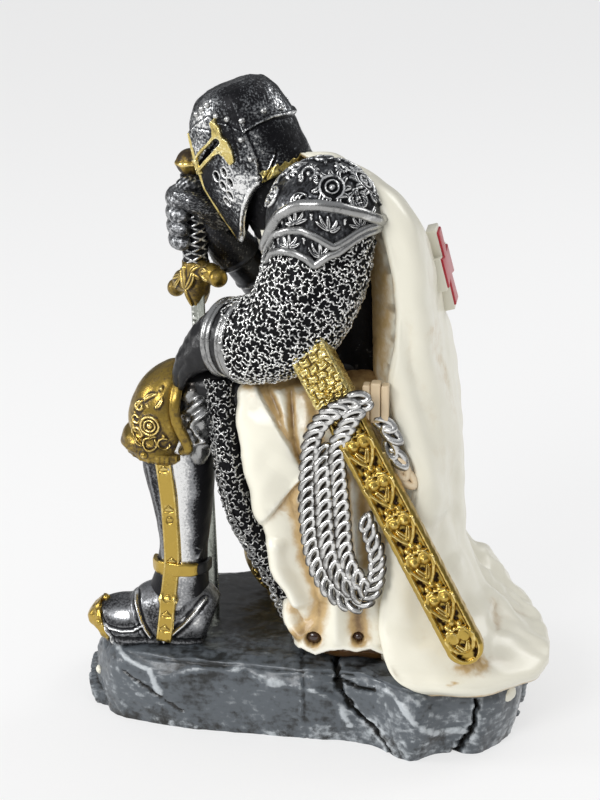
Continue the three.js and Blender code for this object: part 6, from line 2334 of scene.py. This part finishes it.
@dataclass
class Belt(Part):
    """The narrow waist band and the tab of three upright bars on the left hip."""

    bars: tuple = ((-2.15, 0.85), (0.0, 1.15), (2.15, 0.85))

    def build(self) -> None:
        """Builds the band and bevels the bars."""
        turn = around(160)
        path = np.stack([5.5 + 14.5 * power(np.cos(turn), 0.6), 16.5 * power(np.sin(turn), 0.6),
                         91.6 + 0 * turn], -1)
        self.bench.skin("waist_band", loop_tube(path, 1.7, 20, 1.25), "leather", capped=False)
        for n, (x, half) in enumerate(self.bars):
            bpy.ops.object.select_all(action="DESELECT")
            bpy.ops.mesh.primitive_cube_add(size=1, location=(22.0 + x, -31.0, 88.6),
                                            scale=(2 * half, 3.4, 9.6 - 1.0 * abs(x) / 2))
            bpy.ops.object.transform_apply(location=True, rotation=True, scale=True)
            bpy.ops.object.mode_set(mode="EDIT")
            bpy.ops.mesh.select_all(action="SELECT")
            bpy.ops.mesh.bevel(offset=0.42, segments=4)
            bpy.ops.mesh.subdivide(number_cuts=2)
            bpy.ops.object.mode_set(mode="OBJECT")
            bpy.ops.object.shade_smooth_by_angle(angle=math.radians(40))
            self.bench.shaped("belt_bar_%d" % (n + 1), "cream_wash_and_shade", angle=50)


@dataclass
class Scabbard(Part):
    """The gilt scabbard: the woven locket at its mouth and a row of hearts between its raised edges."""

    top: Point = (8.0, -32.5, 98.5)
    foot: Point = (46.6, -37.5, 27.0)
    half: float = 4.4
    thick: float = 2.2
    locket_length: float = 10.4
    pitch: float = 10.3
    first: float = 22.6

    def at(self, along: float) -> list[float]:
        """A point of the axis at a distance down from the top."""
        axis = unit(np.array(self.foot) - np.array(self.top))
        return list(np.array(self.top) + axis * along)

    def heart(self) -> Ornament:
        """A heart with two balls, its open middle, and the three balls under its tip.

        Returns:
            The ornament.
        """
        half = [(0, 5.2), (-1.6, 3.4), (-2.9, 1.2), (-3.2, -0.7), (-2.4, -2.2), (-1.0, -2.3), (0, -1.1)]
        rope = [(-2.9, 7.9), (-1.0, 7.1), (0, 8.2), (1.0, 7.1), (2.9, 7.9)]
        return Ornament(
            [(0.15, 4.0, -1.7, 0.6, 0.8, 0.0), (-0.15, 4.0, 1.7, 0.6, 0.8, 0.0)],
            [(-1.4, -0.8, 1.6, 1.6), (1.4, -0.8, 1.6, 1.6), (0, 5.5, 1.1, 1.4), (-1.5, 6.4, 1.0, 1.2),
             (1.5, 6.4, 1.0, 1.2), (0, 7.3, 0.7, 0.9)],
            [(half, 0.58), ([(-a, b) for a, b in half], 0.58), (rope, 0.46)])

    def build(self) -> None:
        """Builds the scabbard's body with its hearts, and the locket."""
        full = float(np.linalg.norm(np.array(self.foot) - np.array(self.top)))
        w, t = self.half, self.thick
        end = full - 0.6
        along = np.concatenate([np.linspace(7, end - 4.6, 430),
                                end - 4.6 + 4.6 * np.sin(np.linspace(0.04, 1, 60) * np.pi / 2)])
        taper = np.sqrt(np.clip(1 - (np.maximum(along - end + 4.6, 0) / 4.62) ** 2, 0.0004, 1))
        stations = [[*self.at(v), w * (1 + 0.03 * v / full) * k, t * k**0.5] for v, k in zip(along, taper)]
        base = evened(limb(stations, len(stations), 170, (0, 1, 0), 0.4))
        axis = unit(np.array(self.foot) - np.array(self.top))
        away = base - np.array(self.top)
        v = away @ axis
        front = unit(np.cross([0, 1, 0] - axis * axis[1], axis))
        u = away @ front
        near = smooth(0.0, -0.9, (away - v[..., None] * axis)[..., 1] + 0.02)
        w_at = (v - self.first + 2.6) % self.pitch - 2.6
        # Towards the foot the sunk field narrows to a round end
        narrow = np.sqrt(np.clip(1 - (np.maximum(v - end + 5.4, 0) / 4.4) ** 2, 0.002, 1))
        out = np.abs(u + 0.25) / narrow
        deep = smooth(3.3, 3.0, out) * smooth(8, 9, v) * smooth(end - 1.0, end - 1.2, v)
        work = self.heart().rise((u + 0.25) * 1.04, w_at) * smooth(end - 2.4, end - 4.6, v)
        rise = (1.15 * work - 0.7 * deep) * near
        rise += 0.25 * hump(out - 3.6, 0.35) * near * smooth(end, end - 1.2, v) + 0.06 * noise(base, 2.0, 95)
        pits = [(0.0, 1.6, 0.9), (-0.9, 2.6, 0.7), (0.9, 2.6, 0.7), (-2.2, 4.0, 1.0), (2.2, 4.0, 1.0),
                (-1.7, 5.2, 0.8),
                (1.7, 5.2, 0.8), (0, 6.5, 0.6), (-2.4, 7.0, 0.7), (2.4, 7.0, 0.7), (-2.0, 1.8, 0.5),
                (2.0, 1.8, 0.5)]
        stain_and_shade = np.zeros(v.shape)
        for a, b, r in pits:
            stain_and_shade = np.maximum(stain_and_shade, smooth(1.1, 0.4, np.hypot(u - a, w_at - b) / r))
        stain_and_shade = np.maximum(stain_and_shade * 1.2, 0.08) * deep * smooth(0.4, 0.1, work) * near
        self.bench.carved("scabbard", base, rise, "gold", stain_and_shade, passes=5, depth=0.3)
        self.locket(axis, front)

    def locket(self, axis: Array, front: Array) -> None:
        """The locket, woven like a basket, with its raised right edge.

        Args:
            axis: the scabbard's axis.
            front: the direction across its face.
        """
        w, t = 4.9, self.thick + 0.8
        stations = [[*self.at(-6), w, t], [*self.at(4), w, t], [*self.at(self.locket_length), w, t]]
        base = evened(limb(stations, 220, 260, (0, 1, 0), 0.34))
        away = base - np.array(self.top)
        v = away @ axis
        u = away @ front
        near = smooth(0.0, -0.9, (away - v[..., None] * axis)[..., 1] + 0.02)
        cell_u = (u + 4.0 + 0.3 * noise(base, 2.2, 98)) / 2.3
        cell_v = (v + 6.0 + 0.3 * noise(base, 2.0, 94)) / 2.1
        row = np.floor(cell_v)
        cell_u = cell_u + 0.5 * (row % 2)
        a, b = cell_u % 1 - 0.5, cell_v % 1 - 0.5
        brick = smooth(0.5, 0.30, np.abs(a)) * smooth(0.5, 0.3, np.abs(b))
        split = 0.35 * hump(b, 0.08) * smooth(0.42, 0.3, np.abs(a))
        rng = np.random.default_rng(96)
        lift = rng.uniform(0.55, 1.15, (30, 12))[row.astype(int) % 30, np.floor(cell_u).astype(int) % 12]
        middle = smooth(4.1, 3.8, np.abs(u))
        rise = (0.75 * (brick * lift - split) - 0.35) * near * middle
        rise += 0.2 * hump(np.abs(u) - 4.3, 0.4) * near + 0.08 * noise(base, 1.1, 97)
        stain_and_shade = np.clip(0.8 * smooth(0.3, 0.0, brick) * smooth(-0.5, 0.5, noise(base, 1.3, 99)), 0,
                        1) * near * middle
        self.bench.carved("locket", base, rise, "bright_gold", stain_and_shade, passes=4, depth=0.3)


@dataclass
class Chains(Part):
    """The chain: curb links hanging in strands beside the scabbard and looped back behind it."""

    strands: tuple = (
        [(18.8, -37.8, 91.7), (16.4, -38.2, 90.1), (12.8, -37.6, 87.9), (9.9, -36.0, 84.7),
         (7.8, -34.6, 80.4),
         (6.8, -33.6, 75.3), (6.5, -33.0, 69.8), (6.3, -32.8, 63.8), (6.6, -32.6, 57.7), (7.4, -32.6, 51.8),
         (9.0, -32.8, 46.5), (11.7, -33.2, 42.2), (15.1, -33.4, 39.5), (18.5, -33.6, 38.9),
         (21.3, -33.6, 41.5),
         (22.8, -33.4, 45.7), (22.9, -33.2, 51.1), (21.7, -33.0, 55.7), (20.3, -32.8, 59.5)],
        [(19.4, -37.8, 89.7), (17.4, -38.2, 87.2), (15.6, -36.8, 83.5), (14.0, -35.4, 79.8),
         (13.4, -34.4, 75.3),
         (13.7, -33.8, 69.8), (14.2, -33.8, 64.6), (14.6, -33.6, 59.2), (15.0, -33.6, 53.8),
         (15.9, -33.6, 49.6),
         (17.9, -33.8, 46.2), (19.9, -33.8, 43.3)],
        [(9.9, -33.6, 76.6), (9.9, -34.4, 71.6), (10.3, -34.4, 65.7), (10.6, -34.4, 59.8),
         (11.2, -34.4, 53.8),
         (12.6, -34.4, 48.5), (15.2, -34.4, 44.4), (18.3, -34.4, 42.1)],
    )
    pitch: float = 2.6
    long: float = 2.1
    wide: float = 0.92
    wire: float = 0.84

    def link(self) -> bpy.types.Object:
        """One curb link, an oval ring given a quarter twist.

        Returns:
            The link's object, its long axis along Y.
        """
        bpy.ops.object.select_all(action="DESELECT")
        bpy.ops.mesh.primitive_torus_add(major_segments=28, minor_segments=12, major_radius=1,
                                         minor_radius=0.5)
        obj = bpy.context.object
        co = coordinates(obj.data)
        turn = np.arctan2(co[:, 1], co[:, 0])
        mid = np.stack([np.cos(turn), np.sin(turn), np.zeros(len(turn))], -1)
        tube = (co - mid) * (self.wire / 0.5)
        mid = mid * [self.wide, self.long, 0]
        points = mid + tube
        twist = -0.55 * points[:, 1] / self.long
        x, z = points[:, 0].copy(), points[:, 2].copy()
        points[:, 0] = x * np.cos(twist) + z * np.sin(twist)
        points[:, 2] = z * np.cos(twist) - x * np.sin(twist)
        set_coordinates(obj.data, points)
        hole = smooth(0.75, 0.5, np.hypot(points[:, 0] / self.wide, points[:, 1] / self.long))
        set_mark(obj.data, "cavity", np.clip(0.4 - 0.9 * tube[:, 2] / self.wire + 0.4 * hole, -1, 1))
        return obj

    def build(self) -> None:
        """Strings the links along each strand, the four small ones under the belt's tab and the two painted
        cream below them.
        """
        for n, strand in enumerate(self.strands):
            line = catmull(np.array(strand), np.linspace(0, 1, 400))
            run = np.concatenate([[0], np.cumsum(np.linalg.norm(np.diff(line, axis=0), axis=1))])
            count = int(run[-1] / self.pitch) + 1
            marks = np.linspace(0, run[-1], count)
            place = np.stack([np.interp(marks, run, line[:, k]) for k in range(3)], -1)
            ahead = unit(np.stack([np.interp(np.clip(marks + 0.6, 0, run[-1]), run, line[:, k])
                                   - np.interp(np.clip(marks - 0.6, 0, run[-1]), run, line[:, k])
                                   for k in range(3)], -1))
            out = np.tile([0.0, -1.0, 0.12], (count, 1))
            out = unit(out - ahead * (ahead * out).sum(-1, keepdims=True))
            side = np.cross(ahead, out)
            lean = math.radians(42)
            tip = ahead * math.cos(lean) + side * math.sin(lean)
            roll = -0.34
            up = unit(out * math.cos(roll) + np.cross(tip, out) * math.sin(roll))
            frames = np.stack([np.cross(tip, up), tip, up], 1)
            self.bench.copies("chain_%d" % (n + 1), self.link(), place, frames, "chain")
        small = np.array([[24.0, -31.6, 83.4], [25.8, -31.8, 81.0], [25.6, -31.8, 77.8], [27.4, -31.6, 75.2]])
        ahead = unit(np.array([[0.95, 0, -0.45], [0.75, 0, -0.65], [0.3, 0, -0.95], [0.65, 0, -0.75]]))
        out = unit(np.array([[0.0, -1.0, 0.0], [0.35, -0.9, 0.2], [-0.2, -1.0, 0.1], [0.3, -0.9, 0.1]]))
        out = unit(out - ahead * (ahead * out).sum(-1, keepdims=True))
        frames = 1.2 * np.stack([np.cross(ahead, out), ahead, out], 1)
        self.bench.copies("belt_links", self.link(), small, frames, "chain")
        # Two more links run down to the cape under the cream paint
        low = np.array([[28.2, -31.0, 72.6], [29.3, -30.6, 70.2]])
        self.bench.copies("belt_links_cream", self.link(), low, frames[2:], "cream_wash_and_shade")


@dataclass
class BackCross(Part):
    """The raised cross on the back of the cape: cream sides and a red face."""

    centre: Point = (33.0, 1.0, 112.5)
    height: float = 20.0
    span: float = 18.0
    arm: float = 6.4
    lean: float = 15.0

    def build(self) -> None:
        """Extrudes the cross, insets its face and paints it."""
        h, s, a = self.height / 2, self.span / 2, self.arm / 2
        b = a * 1.25
        quarter = [(b, h), (a, a), (s, b)]
        outline = []
        for sx, sy in ((1, 1), (1, -1), (-1, -1), (-1, 1)):
            corner = [(sx * x, sy * y) for x, y in quarter]
            outline += corner if sx * sy > 0 else corner[::-1]
        for name, inset, depth, finish in (("back_cross", 0.0, 0.0, "cloth"),
                                           ("back_cross_face", 0.9, 0.5, "red")):
            bpy.ops.object.select_all(action="DESELECT")
            bpy.ops.mesh.primitive_circle_add(vertices=12, radius=1, fill_type="NGON")
            obj = bpy.context.object
            for vertex, (x, y) in zip(obj.data.vertices, outline):
                vertex.co = (0.0, x * (1 - inset / s), y * (1 - inset / h))
            bpy.ops.object.mode_set(mode="EDIT")
            bpy.ops.mesh.select_all(action="SELECT")
            bpy.ops.mesh.extrude_region_move(TRANSFORM_OT_translate={"value": (2.6 + depth, 0, 0)})
            bpy.ops.mesh.select_all(action="SELECT")
            bpy.ops.mesh.normals_make_consistent(inside=False)
            bpy.ops.mesh.bevel(offset=0.35, segments=3)
            bpy.ops.mesh.select_all(action="SELECT")
            bpy.ops.transform.rotate(value=math.radians(self.lean), orient_axis="Y",
                                     center_override=(0, 0, 0))
            bpy.ops.transform.translate(value=(self.centre[0] - 0.1, self.centre[1], self.centre[2]))
            bpy.ops.object.mode_set(mode="OBJECT")
            self.bench.shaped(name, finish, angle=35)


@dataclass
class Blade(Part):
    """The sword the knight leans on: pommel, latticed grip, drooping gilt guard, langet and blade."""

    foot: Point = (-22.4, 1.0, 18.0)
    top: Point = (-26.9, 2.0, 136.4)
    turn: float = 40.0
    pommel: float = 3.9
    grip: float = 20.0
    guard_half: float = 10.0
    droop: float = 2.6
    tilt: float = 3.0

    def build(self) -> None:
        """Builds the sword's parts from the pommel down."""
        foot, top = np.array(self.foot), np.array(self.top)
        axis = unit(top - foot)
        full = float(np.linalg.norm(top - foot))
        turned = np.array([math.sin(math.radians(self.turn)), -math.cos(math.radians(self.turn)), 0])
        across = unit(turned - axis * (turned @ axis))
        guard_at = full - self.pommel - self.grip - 3

        def at(height: float, thick: float, wide: float) -> list[float]:
            """A station of the sword at a height along its axis."""
            return [*(foot + axis * height), thick, wide]

        side = tuple(across)
        blade = evened(limb([at(0, 0.6, 1.4), at(5, 0.95, 2.8), at(40, 1.05, 3.1), at(guard_at, 1.1, 3.3)],
                            300, 90, side, 1.25))
        v = (blade - foot) @ axis
        u = (blade - foot) @ across
        face = np.abs((blade - foot) @ np.cross(axis, across))
        rise = np.zeros(v.shape)
        beads = np.abs(np.sin(v * 2.1)) * hump(u, 0.75) * smooth(guard_at - 26, guard_at - 24, v)
        rise += 0.75 * beads * (face > 0.2)
        rise += 0.16 * hump(np.abs(u) - 1.5, 0.25) * smooth(guard_at - 26, guard_at - 24, v)
        self.bench.carved("sword_blade", blade, rise, "blade", passes=4, depth=0.25, node=SWORD)
        grip = limb([at(guard_at - 1, 2.6, 2.86), at(guard_at + 10, 2.75, 3.0),
                     at(full - self.pommel + 1, 2.3, 2.45)],
                    150, 110, side)
        u, v = lengths(grip)
        u = u / (u.max(1, keepdims=True) + 1e-6) * 2 * np.pi
        weave = np.maximum(np.abs(np.sin(2 * u + 1.5 * v)), np.abs(np.sin(2 * u - 1.5 * v)))
        self.bench.carved("sword_grip", grip, 0.4 * smooth(0.7, 0.98, weave), "engraved", passes=4,
                          depth=0.2, node=SWORD)
        mesh = ball(72, 44).data
        co = coordinates(mesh)
        turn = np.arctan2(co[:, 1], co[:, 0])
        band = hump(co[:, 2], 0.16) * 0.35 + 0.2 * np.abs(np.sin(3 * turn)) * (1 - np.abs(co[:, 2]))
        reach = self.pommel - 0.5 + band
        co = co * reach[:, None]
        set_coordinates(mesh, co @ np.stack([np.cross(across, axis), across, axis]) + top)
        set_mark(mesh, "cavity", 0.4 - 2.2 * band)
        self.bench.shaped("sword_pommel", "dark_gold_and_shade", node=SWORD)
        self.guard(foot + axis * guard_at, axis, across)
        langet = evened(limb([at(guard_at - 9.5, 0.9, 0.8), at(guard_at - 7.4, 2.0, 2.2),
                              at(guard_at - 5, 3, 3.4),
                              at(guard_at - 1, 3.4, 4.2), at(guard_at + 2.6, 3.2, 3.9)], 130, 110, side))
        v = (langet - foot) @ axis - guard_at
        u = (langet - foot) @ across
        work = Ornament([(0, -8.6, 0, -4.0, 0.9, 0), (-0.3, -4.0, -2.9, 0.6, 0.9, 0.6),
                         (0.3, -4.0, 2.9, 0.6, 0.9, -0.6),
                         (0, -3.6, 0, 1.8, 0.9, 0)],
                        [(0, 1.2, 0.9, 1.1), (-1.9, -1.6, 0.6, 0.8), (1.9, -1.6, 0.6, 0.8)], [])
        self.bench.carved("sword_langet", langet, 0.6 * work.rise(u, v), "dark_gold_and_shade", passes=4, depth=0.22,
                          node=SWORD)

    def guard(self, centre: Array, axis: Array, across: Array) -> None:
        """The guard: two drooping arms with leaf ends and balls.

        Args:
            centre: the guard's middle.
            axis: the sword's axis.
            across: the guard's own direction.
        """
        share = np.linspace(-1.0, 1.0, 9)
        place = (centre + across * (share * self.guard_half)[:, None]
                 + axis * (self.tilt * share - self.droop * share**2)[:, None])
        thick = np.array([1.5, 2.1, 1.7, 2.4, 3.0, 2.4, 1.7, 2.1, 1.5])
        wide = np.array([1.9, 2.6, 2.0, 2.9, 3.4, 2.9, 2.0, 2.6, 1.9])
        base = limb(np.concatenate([place, thick[:, None], wide[:, None]], 1), 200, 90, tuple(axis))
        u = (base - centre) @ across
        v = (base - centre) @ axis - self.tilt * u / self.guard_half + self.droop * (u / self.guard_half) ** 2
        work = Ornament(
            [(1.6, -0.4, 4.6, 1.4, 0.8, 0.4), (1.6, 0.2, 4.4, -1.6, 0.8, -0.4), (5.0, 0, 8.6, 1.2, 0.7, 0.3),
             (5.0, 0, 8.6, -1.2, 0.7, -0.3)], [(0, 0, 1.3, 1.2), (5.0, 0, 0.7, 0.9)], [])
        self.bench.carved("sword_guard", base, 0.5 * work.rise(np.abs(u), v), "dark_gold_and_shade", passes=4,
                          depth=0.22, node=SWORD)
        ends = centre + np.array([-1.08, 1.08])[:, None] * self.guard_half * across + axis * np.array(
            [[-self.tilt * 1.08 - self.droop * 1.17], [self.tilt * 1.08 - self.droop * 1.17]])
        frames = np.stack([np.stack([np.cross(across, axis), across, axis])] * 2)
        self.bench.copies("sword_guard_balls", ball(32, 18, 2.3), ends, frames, "dark_gold_and_shade", node=SWORD)


PARTS = [
    Rock(), Surcoat(), Cape(), Trunk(), LeftLeg(), MailStrip(), Belt(),
    Pauldron("left_shoulder", (9, -25, 129)),
    Pauldron("right_shoulder", (-1.5, 23.5, 114)), LeftArm(), RightArm(), Helm(), BackCross(), Scabbard(),
    Chains(),
    Blade(),
]


@dataclass(frozen=True)
class Stage:
    """The pale floor, the soft lights and the camera of the photo."""

    azimuth: float = 8.0
    elevation: float = 18.0
    distance: float = 0.52
    focal: float = 94.77
    target: Point = (0.0, 0.0, 0.078)
    floor: float = 8.0
    floor_colour: tuple = (0.3, 0.3, 0.3)
    floor_glow: float = 0.61
    lamps: tuple = (
        ("key", (-0.32, -0.72, 0.52), 0.32, 3.8),
        ("front", (-0.72, -0.14, 0.30), 0.26, 2.2),
        ("rim", (0.52, 0.42, 0.62), 0.34, 1.8),
    )

    def lamp(self, name: str, place: Point, size: float, watts: float) -> None:
        """Adds a square soft box that looks at the statue.

        Args:
            name: its name.
            place: where it hangs, in metres.
            size: the length of its edge.
            watts: its power.
        """
        bpy.ops.object.light_add(type="AREA", location=place)
        lamp = bpy.context.object
        lamp.name = name
        lamp.data.size = size
        lamp.data.energy = watts
        aim = Vector(self.target) - Vector(place)
        lamp.rotation_euler = aim.to_track_quat("-Z", "Y").to_euler()

    def build(self) -> None:
        """Lays the floor, hangs the lights, paints the surroundings and sets the camera."""
        bpy.ops.mesh.primitive_plane_add(size=self.floor)
        floor = bpy.context.object
        floor.name = floor.data.name = "floor"
        paint = bpy.data.materials.new("floor_paint")
        paint.use_nodes = True
        shader = paint.node_tree.nodes["Principled BSDF"]
        for label, value in (("Base Color", (*self.floor_colour, 1)), ("Roughness", 0.9),
                             ("Specular IOR Level", 0.1),
                             ("Emission Color", (1, 1, 1, 1)), ("Emission Strength", self.floor_glow)):
            shader.inputs[label].default_value = value
        floor.data.materials.append(paint)
        floor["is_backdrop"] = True
        world = bpy.data.worlds.new("studio")
        bpy.context.scene.world = world
        world.use_nodes = True
        n = Nodes(world.node_tree)
        path = n.add("LightPath")
        height = n.add("SeparateXYZ", Vector=n.add("TexCoord").outputs["Generated"]).outputs["Z"]
        sky = n.blend(n.between(height, -0.1, 0.8), (0.03, 0.03, 0.032, 1), (0.5, 0.51, 0.53, 1))
        # Cloth and floor gather an even soft light, and metal mirrors the darker studio
        sky = n.blend(path.outputs["Is Diffuse Ray"], sky, (0.66, 0.66, 0.665, 1))
        sky = n.blend(path.outputs["Is Camera Ray"], sky, (0.86, 0.86, 0.86, 1))
        out = n.add("Background", Color=sky, Strength=1.0)
        n.add("OutputWorld", Surface=out.outputs[0])
        for lamp in self.lamps:
            self.lamp(*lamp)
        a, e = math.radians(self.azimuth), math.radians(self.elevation)
        back = Vector((math.sin(a) * math.cos(e), -math.cos(a) * math.cos(e), math.sin(e)))
        bpy.ops.object.camera_add(location=Vector(self.target) + back * self.distance)
        camera = bpy.context.object
        camera.rotation_euler = (-back).to_track_quat("-Z", "Y").to_euler()
        camera.data.lens = self.focal
        camera.data.sensor_width = 36.0
        bpy.context.scene.camera = camera
        bpy.context.scene.view_settings.view_transform = "Standard"


def corners(pair: tuple) -> list[list[float]]:
    """A box's two corners as plain lists."""
    return [[float(v) for v in corner] for corner in pair]


def main() -> None:
    """Builds the statue piece by piece, then the stage."""
    logging.basicConfig(level=logging.INFO, format="%(message)s")
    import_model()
    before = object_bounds()
    Part.bench = Bench(Vector(before[0]), Vector(before[1]), FINISHES)
    for part in PARTS:
        part.build()
        LOG.info("built: %s", type(part).__name__)
    Stage().build()


if __name__ == "__main__":
    main()
